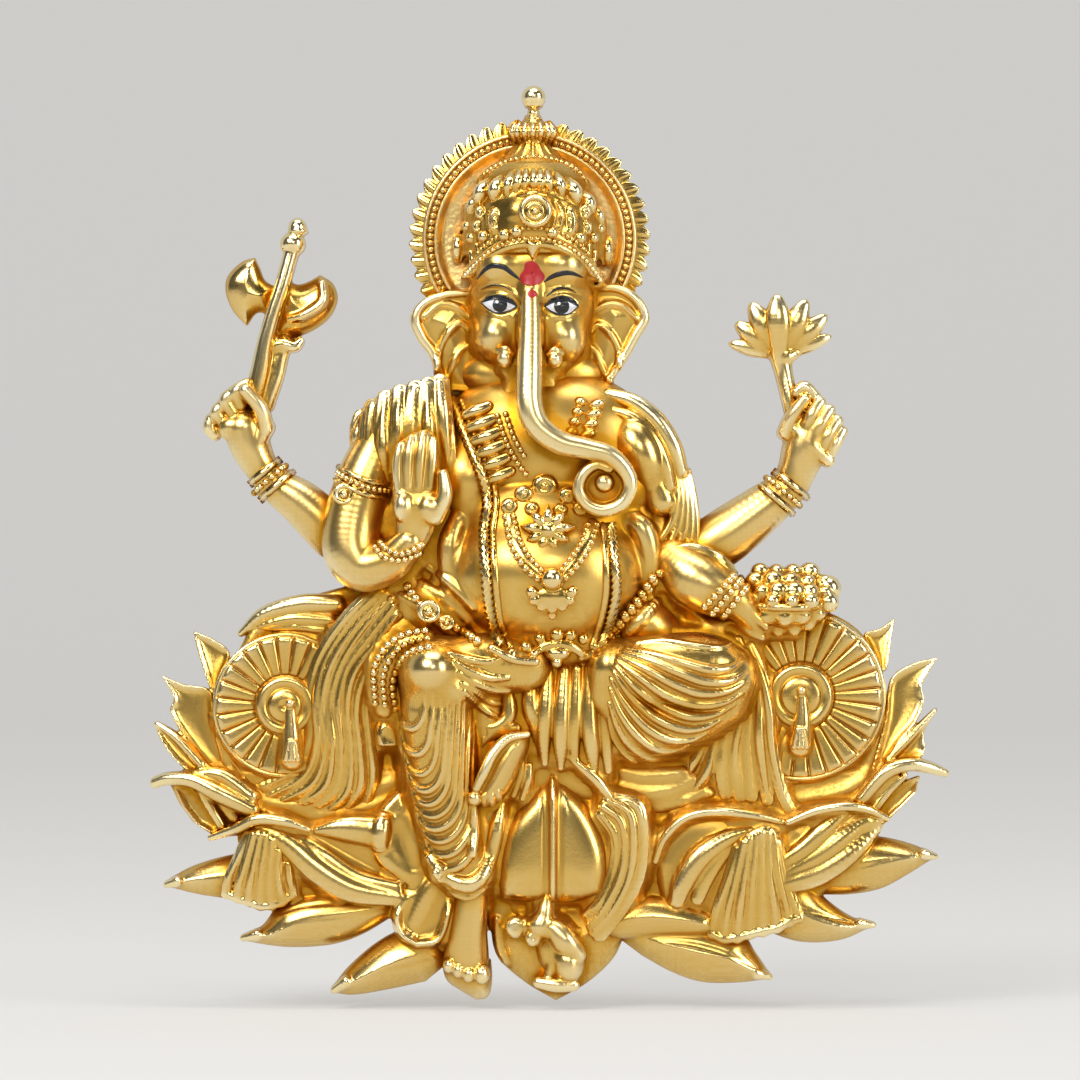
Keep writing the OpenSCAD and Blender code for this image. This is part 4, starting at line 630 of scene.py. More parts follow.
mouse.stroke([(-3.4, -48.1, 4.2, 1.1), (-0.6, -47.9, 4.8, 1.6)], 0.4)
mouse.ball(-0.5, -47.9, 5.4, 1.7, 1.65, 1.9, blend=0.4)
mouse.stroke([(-0.2, -47, 6, 1.1), (0.1, -45.5, 6, 0.85), (0.4, -43.8, 5.6, 0.4)], 0.4)
mouse.ball(-3.6, -48.1, 5, 1.35, 1.4, 1, blend=0.3)
mouse.ball(-3.8, -48.1, 6.4, 0.8, 0.85, 0.5, blend=0.4, cut=True, whole=True)
mouse.ball(-1.4, -49.4, 5.8, 1.1, 1.1, 1, blend=0.2)
mouse.ball(-1.4, -49.4, 7.1, 0.6, 0.6, 0.5, blend=0.2, cut=True, whole=True)
mouse.cast("mouse", gilt_body, floor=1.0)

# Bolsters: two round cushions on end, each a fluted drum face with a stepped hub and a hanging
# tassel. Turned in the mould; the flutes stand round the hub at an even pitch.
gilt_cloth = gilt("gilt_cloth", 0.25, 0.42)


def lathe(name, at, profile, finish, nodes=None, turns=96):
    """A round piece facing out of the plate, from rows of radius and depth."""
    profile = np.asarray(profile, float)
    angle = np.arange(turns) * 2 * math.pi / turns
    ring = len(profile)
    points = np.stack([
        at[0] + np.outer(np.cos(angle), profile[:, 0]),
        at[1] + np.outer(np.sin(angle), profile[:, 0]),
        np.broadcast_to(profile[:, 1], (turns, ring)),
    ], -1).reshape(-1, 3)
    k, j = np.meshgrid(np.arange(turns), np.arange(ring), indexing="ij")
    n, m = (k + 1) % turns, (j + 1) % ring
    faces = np.stack([k * ring + j, k * ring + m, n * ring + m, n * ring + j], -1).reshape(-1, 4)
    return piece(name, points, faces, finish, nodes or [name])


def repeat_tree(name, inputs):
    """A node tree for repeats, with the identifiers by which its named inputs are set."""
    made = bpy.data.node_groups.new(name, "GeometryNodeTree")
    sockets = {}
    for label, kind in inputs.items():
        socket = made.interface.new_socket(label, in_out="INPUT", socket_type="NodeSocket" + kind)
        sockets[label] = socket.identifier
    made.interface.new_socket("Repeats", in_out="OUTPUT", socket_type="NodeSocketGeometry")
    return made, sockets, made.nodes.new("NodeGroupInput"), made.nodes.new("NodeGroupOutput")


def made_real(made, given, out, copies):
    """Ends a tree: its copies become real meshes in the finish that is asked for."""
    real = made.nodes.new("GeometryNodeRealizeInstances")
    made.links.new(copies, real.inputs[0])
    finish = made.nodes.new("GeometryNodeSetMaterial")
    made.links.new(real.outputs[0], finish.inputs["Geometry"])
    made.links.new(given.outputs["Finish"], finish.inputs["Material"])
    made.links.new(finish.outputs[0], out.inputs[0])


def ring_tree():
    """Copies of one piece turned round a centre on the plate."""
    made, sockets, given, out = repeat_tree("ring_of_copies", {
        "Piece": "Geometry", "Copies": "Int", "Centre": "Vector", "Finish": "Material"})
    new, link = made.nodes.new, made.links.new
    points = new("GeometryNodePoints")
    link(given.outputs["Copies"], points.inputs["Count"])
    link(given.outputs["Centre"], points.inputs["Position"])
    index = new("GeometryNodeInputIndex")
    share = maths(made, "DIVIDE", index.outputs[0], given.outputs["Copies"])
    axis = new("ShaderNodeCombineXYZ")
    link(maths(made, "MULTIPLY", share, 2 * math.pi), axis.inputs["Y"])
    copies = new("GeometryNodeInstanceOnPoints")
    link(points.outputs[0], copies.inputs["Points"])
    link(given.outputs["Piece"], copies.inputs["Instance"])
    link(axis.outputs[0], copies.inputs["Rotation"])
    made_real(made, given, out, copies.outputs[0])
    return made, sockets


ring_copies, ring_sockets = ring_tree()


def grown(made, tree, values):
    """Runs a node tree on a piece and keeps the result as its plain mesh."""
    growth = made.modifiers.new("growth", "NODES")
    growth.node_group = tree
    for identifier, value in values.items():
        growth[identifier] = value
    bpy.context.view_layer.update()
    result = bpy.data.meshes.new_from_object(made.evaluated_get(bpy.context.evaluated_depsgraph_get()))
    made.modifiers.remove(growth)
    made.data = result
    return made


def world(x, z, d):
    """A place on the relief, in metres in the part's frame."""
    return (x / 1000, (-plate_front - d) / 1000, z / 1000)


def skin(name, at, rows, cols, back, finish, nodes, slot=None):
    """A closed piece whose front is at(u, v), an array of x, z and d, with its back at one depth."""
    u, v = np.meshgrid(np.linspace(0, 1, cols), np.linspace(0, 1, rows))
    front = np.stack(at(u, v), -1).reshape(-1, 3)
    rear = front.copy()
    rear[:, 2] = back
    k, j = np.meshgrid(np.arange(rows - 1), np.arange(cols - 1), indexing="ij")
    a = (k * cols + j).ravel()
    quads = np.column_stack([a, a + 1, a + cols + 1, a + cols])
    rim = np.concatenate([np.arange(cols), np.arange(2, rows + 1) * cols - 1,
                          rows * cols - 2 - np.arange(cols - 1), np.arange(rows - 2, 0, -1) * cols])
    n = len(front)
    nxt = np.roll(rim, -1)
    walls = np.column_stack([nxt, rim, rim + n, nxt + n])
    faces = np.vstack([quads, quads[:, ::-1] + n, walls])
    return piece(name, np.vstack([front, rear]), faces, finish, nodes)


def ring_of(made, copies, at, finish):
    """A ring of copies, round a place on the plate, of a piece made at the origin of the part's frame."""
    return grown(made, ring_copies, {
        ring_sockets["Copies"]: copies,
        ring_sockets["Centre"]: (at[0] / 1000, 0, at[1] / 1000),
        ring_sockets["Finish"]: finish,
    })


bolsters = (
    ("right", (-32.5, -20.4), 9.1, 3.6, 24, (-31.8, -20.1), (-31.6, -27)),
    ("left", (32, -19.2), 10.7, 4, 28, (32.1, -18.5), (31.9, -25.4)),
)
for side, at, r, hub, flutes, cord_top, cord_end in bolsters:
    lathe("bolster_" + side, at, [
        (0, 0.2), (r, 0.2), (r, 3.9), (r - 0.15, 4.15), (r - 0.35, 4.2), (r - 0.55, 4.05),
        (hub + 0.2, 4.05), (hub, 4.7), (hub - 0.25, 4.95), (hub - 0.5, 5), (hub - 1.1, 4.95),
        (hub - 1.3, 4.7), (hub - 1.45, 4.75), (hub - 1.6, 5.1), (hub - 1.8, 5.25), (hub - 2.6, 5.3),
        (0.02, 5.4),
    ], gilt_cloth)
    wide = math.pi / flutes * 0.985

    def flute(u, v, r=r, hub=hub, wide=wide):
        """The front of one flute of the cap, from its hub to its rim."""
        far = hub + 0.1 + (r - 0.5 - hub) * v
        half = (2 * u - 1) * wide * far
        end = np.clip(np.minimum(v / 0.06, (1 - v) / 0.08), 0, 1) ** 0.5
        return half, far, 4.05 + (0.25 + 0.3 * v) * np.clip(1 - (2 * u - 1) ** 4, 0, 1) ** 0.5 * end

    fluted = skin("bolster_flutes_" + side, flute, 16, 9, 3.9, gilt_cloth, ["bolster_" + side])
    ring_of(fluted, flutes, at, gilt_cloth)
    tassel = Clay((at[0] - 4, at[0] + 4), (at[1] - 8, at[1] + 3), (2, 9), 0.15)
    tassel.stroke([(*cord_top, 5.2, 0.55), (cord_top[0] + 0.1, (cord_top[1] + cord_end[1]) / 2, 5.2, 0.95),
                   (*cord_end, 5, 1.45)], 0.1, tall=0.8)
    tassel.ball(*cord_top, 5.6, 0.6, 0.6, 0.6, blend=0.2)
    for k in (-0.8, -0.25, 0.3, 0.85):
        tassel.stroke([(cord_end[0] + k * 0.5, cord_end[1] + 2.2, 6.4, 0.12),
                       (cord_end[0] + k, cord_end[1] - 0.2, 6.3 - 0.4 * k * k, 0.26)], 0.12)
    tassel.cast("tassel_" + side, gilt_cloth, ["bolster_tassels"], 3.5)

roll = Clay((-40, -24), (-13, -4), (-0.6, 6), 0.2)
roll.stroke([(-38.1, -11.4, 2, 0.45), (-35.1, -9, 2.6, 1), (-30.6, -7.8, 3, 1.3), (-26.1, -7.8, 3, 1.3)],
            0.2)
roll.stroke([(-36.9, -10.9, 2.4, 0.4), (-31.9, -9.6, 3.2, 0.8), (-26.9, -9.8, 3.4, 0.9)], 0.15)
roll.stroke([(-35.4, -10.9, 2.6, 0.3), (-31.2, -10.6, 3.4, 0.5), (-27.4, -11, 3.4, 0.6)], 0.12)
roll.cast("bolster_roll", gilt_cloth, ["bolster_right"])

# Cloths: the skirts of the seat cover hang in close folds over the bolsters and the lotus, and
# a sash end falls beside the centre petal. Each fold is a soft ridge laid against the next.


def folds(name, wide, high, lines, radius, deep=9, blend=0.2, wobble=0.15, hem=0.0):
    """A hanging cloth from its fold lines, each with rows of x, z and d, on one sheet.
    The wobble varies the folds and hem is the radius of the rolled edge."""
    cloth = Clay(wide, high, (-0.6, deep), 0.18)
    for line in lines:
        rows = np.asarray(line, float)
        cloth.stroke(np.column_stack([rows[:, :2], rows[:, 2] - 0.1, np.full(len(rows), 1.6 * radius)]),
                     0.3, tall=0.3)
    if hem:
        ends = [line[-1] for line in lines]
        cloth.stroke([(x, z - 0.15 * (k % 2), d - 0.1, hem) for k, (x, z, d) in enumerate(ends)], 0.3)
    for k, line in enumerate(lines):
        rows = np.asarray(line, float)
        swell = 0.85 + wobble * np.sin(1.7 * np.arange(len(rows)) + 2.1 * k) + 0.2 * math.sin(1.3 * k)
        swell[-1] *= 0.6
        cloth.stroke(np.column_stack([rows, radius * swell]), blend)
    cloth.cast(name, gilt_cloth)


folds("seat_drape_right", (-37, -17.5), (-36, -4.5), [
    [(-21.4, -6, 6.4), (-25.4, -10, 5.6), (-28.4, -14.8, 4.8), (-29.5, -19.8, 4.5), (-29.5, -24.5, 4.4),
     (-31.4, -28.5, 4), (-35.9, -30.9, 3)],
    [(-20.6, -6.1, 6.5), (-24.5, -10.1, 5.7), (-27.5, -14.9, 5), (-28.6, -19.9, 4.8), (-28.5, -24.9, 4.7),
     (-30.1, -29.2, 4.2), (-34.6, -31.8, 3)],
    [(-19.9, -6.4, 6.6), (-23.6, -10.5, 5.9), (-26.6, -15.1, 5.3), (-27.8, -20.1, 5), (-27.5, -25.1, 4.9),
     (-28.8, -29.9, 4.3), (-33.1, -32.5, 3)],
    [(-19.2, -7, 6.7), (-22.8, -11, 6), (-25.6, -15.5, 5.5), (-26.8, -20.4, 5.2), (-26.5, -25.4, 5.1),
     (-27.4, -30.4, 4.4), (-31.4, -33.1, 3)],
    [(-18.8, -7.9, 6.9), (-21.9, -11.8, 6.2), (-24.8, -15.9, 5.6), (-25.8, -20.5, 5.3), (-25.4, -25.5, 5.1),
     (-26, -30.6, 4.4), (-29.5, -33.5, 3)],
    [(-18.4, -9, 7), (-21, -12.6, 6.4), (-23.8, -16.4, 5.8), (-24.6, -20.8, 5.4), (-24.2, -25.5, 5.1),
     (-24.5, -30.8, 4.4), (-27.2, -33.8, 3)],
    [(-19.8, -13.5, 6.2), (-22.6, -17, 5.8), (-23.5, -21, 5.4), (-23.1, -25.4, 5.1), (-23, -30.4, 4.4),
     (-24.9, -33.6, 3)],
    [(-21.1, -16.8, 5.6), (-22.2, -20.2, 5.3), (-21.9, -24.5, 4.9), (-21.5, -29.2, 4.3), (-22.4, -33, 3)],
], 0.46, wobble=0.22)
folds("seat_drape_left", (18, 33), (-35, -10), [
    [(22.9, -12.2, 6), (24.9, -15.2, 5.6), (25.6, -19.8, 5.2), (25.4, -24.8, 5), (25.9, -31.8, 4.2)],
    [(24.1, -12.2, 6), (25.9, -15.8, 5.8), (26.8, -20.2, 5.4), (26.9, -25.2, 5.2), (27.9, -32.2, 4.2)],
    [(25.4, -13, 5.8), (27, -16.5, 5.6), (28, -21, 5.4), (28.4, -25.8, 5.2), (29.6, -31, 4.6),
     (31, -34, 4)],
    [(24.6, -21.8, 5.4), (23.9, -25, 5), (23.8, -28.2, 4.8), (24.4, -31.8, 4.2)],
    [(23.1, -22.5, 5.4), (22.4, -25.5, 5), (22.1, -28.5, 4.8), (22.6, -31.5, 4.2)],
    [(21.6, -23.5, 5), (20.9, -26.2, 4.8), (20.1, -29, 4.6), (18.6, -31.2, 4)],
    [(19.9, -25.2, 4.6), (18.6, -27.5, 4.4), (16.9, -29.5, 4), (13.6, -30.8, 3.6)],
], 0.54, wobble=0.22)
folds("petal_drape_right", (-42, -31), (-47, -35), [
    [(-37.1, -36.5, 4.6), (-38.4, -39.5, 4.4), (-39.6, -42.2, 4), (-39.9, -44, 3.4)],
    [(-36.4, -36.5, 5), (-37.4, -40, 4.8), (-38.2, -42.8, 4.4), (-38.4, -44.5, 3.6)],
    [(-35.6, -36.5, 5.2), (-36.4, -40.2, 5), (-36.9, -43, 4.6), (-37, -45, 3.8)],
    [(-34.9, -36.6, 5.2), (-35.4, -40.5, 5), (-35.6, -43.2, 4.6), (-35.6, -45.4, 3.8)],
    [(-34.1, -37.2, 5.2), (-34.4, -40.8, 5), (-34.4, -43.2, 4.6), (-34.2, -45.4, 3.8)],
    [(-33.4, -38.5, 5), (-33.4, -41.2, 4.8), (-33.1, -43.5, 4.4), (-32.9, -44.9, 3.6)],
    [(-32.1, -40.2, 4.6), (-31.9, -42.2, 4.4), (-31.5, -44, 3.8)],
], 0.42, hem=0.5)
folds("petal_drape_left", (19, 33), (-51, -34), [
    [(24.1, -38.2, 5.4), (22.9, -42.2, 5.2), (21.8, -45.5, 4.8), (21, -49, 4)],
    [(24.9, -37.5, 5.6), (23.8, -42.2, 5.4), (23, -45.8, 5), (22.5, -49.5, 4.2)],
    [(25.6, -37, 5.8), (24.9, -42, 5.6), (24.4, -45.8, 5.2), (24.1, -49.4, 4.4)],
    [(26.4, -36.5, 5.8), (26, -41.8, 5.6), (25.8, -45.5, 5.2), (25.6, -48.9, 4.4)],
    [(27.1, -36.2, 5.8), (27.1, -41.5, 5.6), (27.2, -45.2, 5.2), (27.4, -48.6, 4.4)],
    [(27.9, -36.2, 5.6), (28.1, -41.2, 5.4), (28.6, -45, 5), (29, -48.1, 4.4)],
    [(28.6, -36.5, 5.2), (29.1, -41.2, 5), (30, -44.8, 4.6), (30.6, -47.4, 4.2)],
    [(29.2, -37.5, 5), (30, -41.8, 4.8), (31.1, -45, 4.4), (32, -46.9, 4)],
], 0.5, hem=0.55)
folds("sash_end", (4, 14.5), (-50, -31), [
    [(7.1, -34, 6.4), (8.6, -36, 6.4), (9, -38.5, 6.2), (8.4, -41.8, 5.8), (6.9, -45, 5.4),
     (5.6, -46.5, 4.6)],
    [(7.4, -33, 6.6), (9.5, -34.8, 6.8), (10, -38.2, 6.5), (9.4, -41.8, 6.1), (7.6, -45.5, 5.5),
     (5.9, -47.8, 4.6)],
    [(7.9, -32.2, 6.6), (10.6, -33.8, 7), (11.1, -37.9, 6.7), (10.5, -41.9, 6.3), (8.5, -45.9, 5.7),
     (6.2, -48.6, 4.6)],
    [(8.5, -31.9, 6.3), (11.6, -33, 6.8), (12.2, -37.5, 6.5), (11.6, -42, 6.1), (9.6, -45.8, 5.5),
     (6.8, -49.4, 4.4)],
], 0.52)

# Torso: the bare body, a broad smooth belly below two full breasts, cast in one with the
# shoulders. It is the deepest plain surface of the piece and takes the longest highlight.
torso = Clay((-21, 21), (-18, 21.5), (-0.6, 16), 0.22)
torso.ball(0, -4, 3.4, 13.4, 9.6, 10, blend=0.6)
torso.ball(0, 3.5, 3, 12.5, 6, 7.6, blend=1.5)
torso.ball(0, 11.5, 2.4, 14.6, 10.5, 7, blend=0.6)
torso.ball(-9.6, 8, 4.4, 4.6, 5.2, 5, blend=1)
torso.ball(8.9, 6.8, 4.2, 5, 4.8, 4.4, blend=1)
torso.stroke([(10.1, 3.2, 6.4, 1.3), (12.2, 1.5, 7, 1.6), (13.1, -2.5, 6.6, 1.6), (12.6, -6.2, 6, 1.4)],
             0.7)
torso.stroke([(-10.9, 2.8, 7, 1.2), (-11.9, -0.5, 7.6, 1.5), (-11.4, -5.8, 7.2, 1.5)], 0.9)
torso.ball(0, -12.2, 2.4, 11, 5, 7, blend=0.8)
torso.ball(-13.9, -1.8, 2, 4, 6.4, 4.6, blend=0.8)
torso.ball(-13.6, -8.8, 2.6, 7.6, 4.6, 5.6, -25, blend=0.8)
torso.ball(11.9, -9.8, 2.6, 6.6, 4, 6, -35, blend=0.8)
torso.ball(13.6, -0.8, 2, 3.8, 7.4, 4.8, blend=0.8)
torso.strokes([
    [(-18.4, -6.2, 0.4), (-15.1, -8.2, 0.7), (-11.6, -11.2, 0.6), (-9.4, -13.2, 0.4)],
    [(-16.6, -4.5, 0.4), (-13.1, -6.5, 0.6), (-9.9, -9.2, 0.6), (-7.1, -12.5, 0.4)],
    [(-14.6, -3, 0.3), (-11.6, -5.2, 0.5), (-8.9, -8, 0.4)],
    [(15.4, -6, 0.4), (13.4, -8, 0.6), (10.9, -10.8, 0.6), (8.9, -12.8, 0.4)],
], 0.6, tall=0.8, lift=0)
torso.cast("torso", gilt_body)

# Legs: both are wrapped in a pleated cloth. The right one hangs over the seat in deep swags
# with its bare foot below; the left one is folded, its pleats fanned from the lap.
right_leg = Clay((-20.5, 2), (-47.5, -9), (-0.6, 17.2), 0.17)
right_leg.strokes([
    [(-2.6, -15.2, 7, 3.6), (-7.6, -15.2, 8, 4), (-11.1, -16.2, 8.2, 4.2)],
    [(-13.4, -18.2, 7.8, 4.2), (-13.4, -21.6, 7.8, 4.4), (-12.6, -27.2, 7, 4.2), (-11.9, -33.5, 6.2, 3.7),
     (-10.6, -38.5, 5.6, 3.3), (-9.6, -41.8, 5, 2.8)],
], 0.8)
right_leg.strokes([
    [(-16.6, -18.5, 5.4, 2), (-16.1, -26, 5, 2.2), (-14.6, -33.5, 4.6, 2.2), (-12.6, -39.2, 4.4, 2)],
    [(-7.6, -18.5, 6, 2.8), (-7.4, -26, 5, 2.4), (-7.1, -34.8, 4.6, 2), (-7.1, -39.2, 4.4, 1.4)],
], 1)
right_leg.ball(-14, -15.8, 7.4, 4.4, 4.3, 7.4, blend=1.6)
right_leg.ball(-11.5, -18.2, 8.6, 2.8, 2.3, 4.4, -30, 1)
right_leg.strokes([
    [(-11.6, -13.8, 0.3), (-9.6, -14.5, 0.55), (-7.1, -14.8, 0.4), (-5.1, -14.2, 0.25)],
    [(-11.1, -14.8, 0.3), (-9.4, -15.9, 0.6), (-6.9, -16.8, 0.5), (-4.6, -16.8, 0.3)],
    [(-10.6, -16.2, 0.3), (-8.9, -17.2, 0.6), (-6.6, -18.2, 0.5), (-4.6, -18.5, 0.3)],
    [(-10.2, -17.5, 0.3), (-8.6, -18.5, 0.5), (-6.9, -19.8, 0.45), (-5.1, -20.2, 0.25)],
    [(-10, -18.5, 0.3), (-8.6, -19.8, 0.5), (-7.2, -21, 0.45), (-5.9, -21.8, 0.25)],
], 0.3, lift=0)
swags = (
    ((-18, -21.2), (-15.1, -21.2), 1.9, (-14.8, -19.2)),
    ((-17.8, -23.2), (-14.2, -23.5), 2.9, (-13.9, -19)),
    ((-17.4, -25.5), (-13.4, -25.2), 3.5, (-12.9, -19.4)),
    ((-17, -27.5), (-12.5, -27), 3.6, (-12, -19.6)),
    ((-16.6, -29.4), (-11.9, -28.2), 3.7, (-11.2, -20)),
    ((-16.2, -31.1), (-11.1, -29.8), 3.6, (-10.5, -19.6)),
    ((-15.8, -32.9), (-10.4, -31), 3.6, (-9.9, -20)),
    ((-15.2, -34.6), (-9.8, -32.2), 3.7, (-9.2, -20.8)),
    ((-14.8, -36.4), (-9.1, -33.8), 3.8, (-8.8, -22.5)),
    ((-14.1, -38.1), (-8.5, -35.5), 3.8, (-8.2, -28.5)),
)
ridges = []
for k, (left, right, drop, top) in enumerate(swags):
    t = np.linspace(0, 1, 13)
    x = left[0] + (right[0] - left[0]) * (1 - np.cos(math.pi * t)) / 2
    z = left[1] + (right[1] - left[1]) * t - drop * np.sin(math.pi * t)
    thick = (0.5 + 0.06 * math.sin(2.3 * k)) * (0.75 + 0.3 * np.sin(math.pi * t))
    up = np.linspace(0.2, 1, 5)[:, None] * (np.array(top) - right) + right
    rows = np.vstack([np.column_stack([x, z, thick]), np.column_stack([up, np.linspace(0.34, 0.06, 5)])])
    ridges.append(np.column_stack([rows[:, :2], right_leg.depth(rows[:, 0], rows[:, 1]) + 0.04,
                                   rows[:, 2]]))
for ridge in ridges:
    right_leg.stroke(ridge, 0.3, steps=3)
right_leg.strokes([
    [(-15.6, -37, 0.4), (-13.9, -39.8, 0.8), (-11.9, -41.8, 1), (-9.6, -42.6, 1.1), (-7.9, -41.5, 1.1),
     (-6.8, -38.8, 1.15), (-6, -35.5, 1), (-5.4, -32.2, 0.6)],
    [(-8.9, -32.2, 0.4), (-8.8, -36, 0.6), (-9, -38.8, 0.5)],
    [(-13.6, -41.2, 0.4), (-11.6, -43.5, 0.5), (-9.4, -44.2, 0.55), (-7.4, -43, 0.4)],
], 0.3, lift=0.1)
right_leg.cast("right_leg", gilt_cloth)

left_leg = Clay((3.5, 27.5), (-30, -9), (-0.6, 14.5), 0.18)
left_leg.stroke([(8.9, -15.8, 6.6, 4), (13.9, -15.8, 8, 4.4), (19.4, -16, 7.6, 4.8),
                 (22.1, -16.8, 6.6, 4.4)], 0.8)
left_leg.strokes([
    [(8.6, -18.5, 6, 4), (12.5, -22.5, 6, 3.8), (18.1, -21.5, 6, 3.8), (22.1, -19.5, 5.8, 3.6)],
    [(8.4, -22.2, 5, 3), (11.9, -25.2, 4.6, 2.4), (15.4, -24.5, 4.4, 2)],
], 1)
pleats = [bow(line) for line in (
    [(11.4, -12.4, 0.15), (14.9, -12.2, 0.3), (18.6, -12.8, 0.35), (22.1, -13, 0.2), (23.6, -12.2, 0.1)],
    [(10.1, -13.2, 0.15), (13.4, -13.9, 0.42), (16.9, -14.9, 0.55), (20.4, -15.8, 0.6), (22.9, -15.6, 0.4),
     (24.5, -14.6, 0.1)],
    [(9.6, -13.6, 0.15), (12.9, -14.6, 0.45), (16.4, -16, 0.6), (19.9, -17.2, 0.65), (22.9, -17.2, 0.45),
     (25, -16.1, 0.1)],
    [(9.2, -14.1, 0.15), (12.4, -15.6, 0.45), (15.8, -17.4, 0.6), (19.2, -18.6, 0.65), (22.5, -18.5, 0.45),
     (25, -17.4, 0.1)],
    [(9, -14.8, 0.15), (11.9, -16.8, 0.45), (15.1, -18.9, 0.6), (18.8, -20.1, 0.65), (22.1, -19.9, 0.45),
     (24.6, -18.8, 0.1)],
    [(8.8, -15.4, 0.15), (11.2, -17.9, 0.45), (14.4, -20.2, 0.6), (17.9, -21.6, 0.62), (21.1, -21.4, 0.4),
     (23.6, -20.2, 0.1)],
    [(8.5, -16.1, 0.15), (10.6, -19, 0.45), (13.4, -21.6, 0.6), (16.8, -23.1, 0.6), (19.6, -23.1, 0.4),
     (21.9, -22.1, 0.1)],
    [(8.2, -17, 0.15), (10, -20.1, 0.45), (12.5, -22.9, 0.58), (15.4, -24.5, 0.55), (18.1, -24.6, 0.35),
     (20.1, -23.8, 0.1)],
    [(8.1, -18.2, 0.15), (9.5, -21.4, 0.45), (11.6, -24.1, 0.55), (14.1, -25.8, 0.5), (16.4, -25.9, 0.3),
     (18.1, -25.2, 0.1)],
    [(8, -20, 0.15), (9, -22.8, 0.4), (10.6, -25.2, 0.5), (12.9, -26.9, 0.45), (14.6, -27, 0.25),
     (15.9, -26.5, 0.1)],
    [(7.9, -22, 0.12), (8.5, -24.2, 0.35), (9.8, -26.2, 0.42), (11.5, -27.5, 0.35), (12.9, -27.5, 0.1)],
)]
for pleat in [np.column_stack([p[:, :2], left_leg.depth(p[:, 0], p[:, 1]) + 0.12, p[:, 2]])
              for p in pleats]:
    left_leg.stroke(pleat, 0.25, steps=2)
left_leg.cast("left_leg", gilt_cloth)

lap = Clay((-8, 10), (-34, -13), (-0.6, 12), 0.16)
pillow(lap, leaf([(-6.4, -27.2), (-5.6, -23.5), (-0.6, -22.8), (9.1, -22.8)], [(9.9, -27.2), (8.9, -33)],
                 [(4.4, -33), (-3.1, -32.5)]), 3.6, 2, 1.4)
pillow(lap, leaf([(-6.6, -19.8), (-5.9, -14.2), (-0.6, -12), (8.9, -11.8)], [(9.6, -18.5), (9.1, -24.5)],
                 [(6.4, -26.2), (1.9, -25.5), (-3.1, -24.2)]), 5.2, 2.4, 1.5)
lap.strokes([
    [(-1.6, -15.5, 7, 0.7), (-1.8, -19.8, 7.5, 1), (-1.1, -23, 7.2, 0.95), (-0.5, -26.2, 6.4, 0.5)],
    [(0.4, -16.2, 7.4, 0.7), (0.1, -20.5, 7.8, 1.05), (-0.1, -24, 7.6, 0.95), (0, -27.5, 6.6, 0.5)],
    [(2.4, -16, 7.6, 0.7), (2.1, -20.8, 8, 1.05), (2, -24.8, 7.8, 1), (2, -28, 6.6, 0.5)],
    [(4, -15.8, 7.6, 0.6), (3.8, -20.8, 7.8, 0.95), (3.6, -24.5, 7.6, 0.9), (3.8, -27.2, 6.8, 0.5)],
    [(5.6, -15.8, 7.6, 0.7), (5.5, -21, 7.9, 1.05), (5.8, -25.2, 7.8, 1), (6.2, -28.5, 6.6, 0.5)],
    [(7.1, -16.8, 7.2, 0.6), (7.4, -21.2, 7.5, 0.95), (7.6, -25.2, 7.2, 0.85), (7.9, -28.5, 6.4, 0.5)],
], 0.3)
lap.strokes([
    [(2.6, -26.2, 6.8, 0.4), (4.6, -28, 7, 0.6), (6.6, -29.8, 6.8, 0.7), (8.1, -31.8, 6.4, 0.6)],
    [(-2.9, -26.2, 6.6, 0.5), (-3.1, -28.8, 6.6, 0.6), (-3.9, -31.5, 6, 0.5)],
    [(-1.9, -27.8, 6.4, 0.4), (-2.1, -29.8, 6.4, 0.5), (-2.8, -32, 6, 0.4)],
    [(-7.9, -22.5, 6.6, 1), (-6.4, -23.2, 7, 1.1), (-4.6, -21.8, 7.2, 1), (-4.6, -19, 7.2, 0.8),
     (-5.4, -16.8, 7, 0.6)],
], 0.4)
lap.stroke([(-9.1, -26.8, 6.6, 0.7), (-7.4, -24.5, 7, 0.8), (-5.4, -23.5, 7.2, 0.8),
            (-3.6, -23.2, 7.2, 0.7)], 0.3)
lap.cast("apron", gilt_cloth)

right_foot = Clay((-15.5, -4.5), (-58, -42), (-0.6, 12), 0.14)
right_foot.stroke([(-8.9, -42.8, 4.6, 1.9), (-9.4, -46.2, 4, 2.2), (-9.8, -49.2, 3.2, 2.6),
                   (-9.9, -52, 2.4, 2.9)], 0.4)
pillow(right_foot, np.vstack([bow([(-13, -52), (-12.4, -54.8), (-10.6, -56.2), (-8.6, -57.4)])[:-1],
                              bow([(-8.6, -57.4), (-7.1, -57), (-6.6, -54.8), (-6.8, -51.8)])[:-1]]),
       2, 2.2, 0.9)
for x, z, r in ((-12, -52.9, 0.75), (-10.8, -53.5, 0.78), (-9.5, -54, 0.85), (-7.9, -54, 1)):
    right_foot.ball(x, z, 4.4, r, 1.25 * r, 1.1, blend=0.25)
right_foot.cast("right_foot", gilt_body)

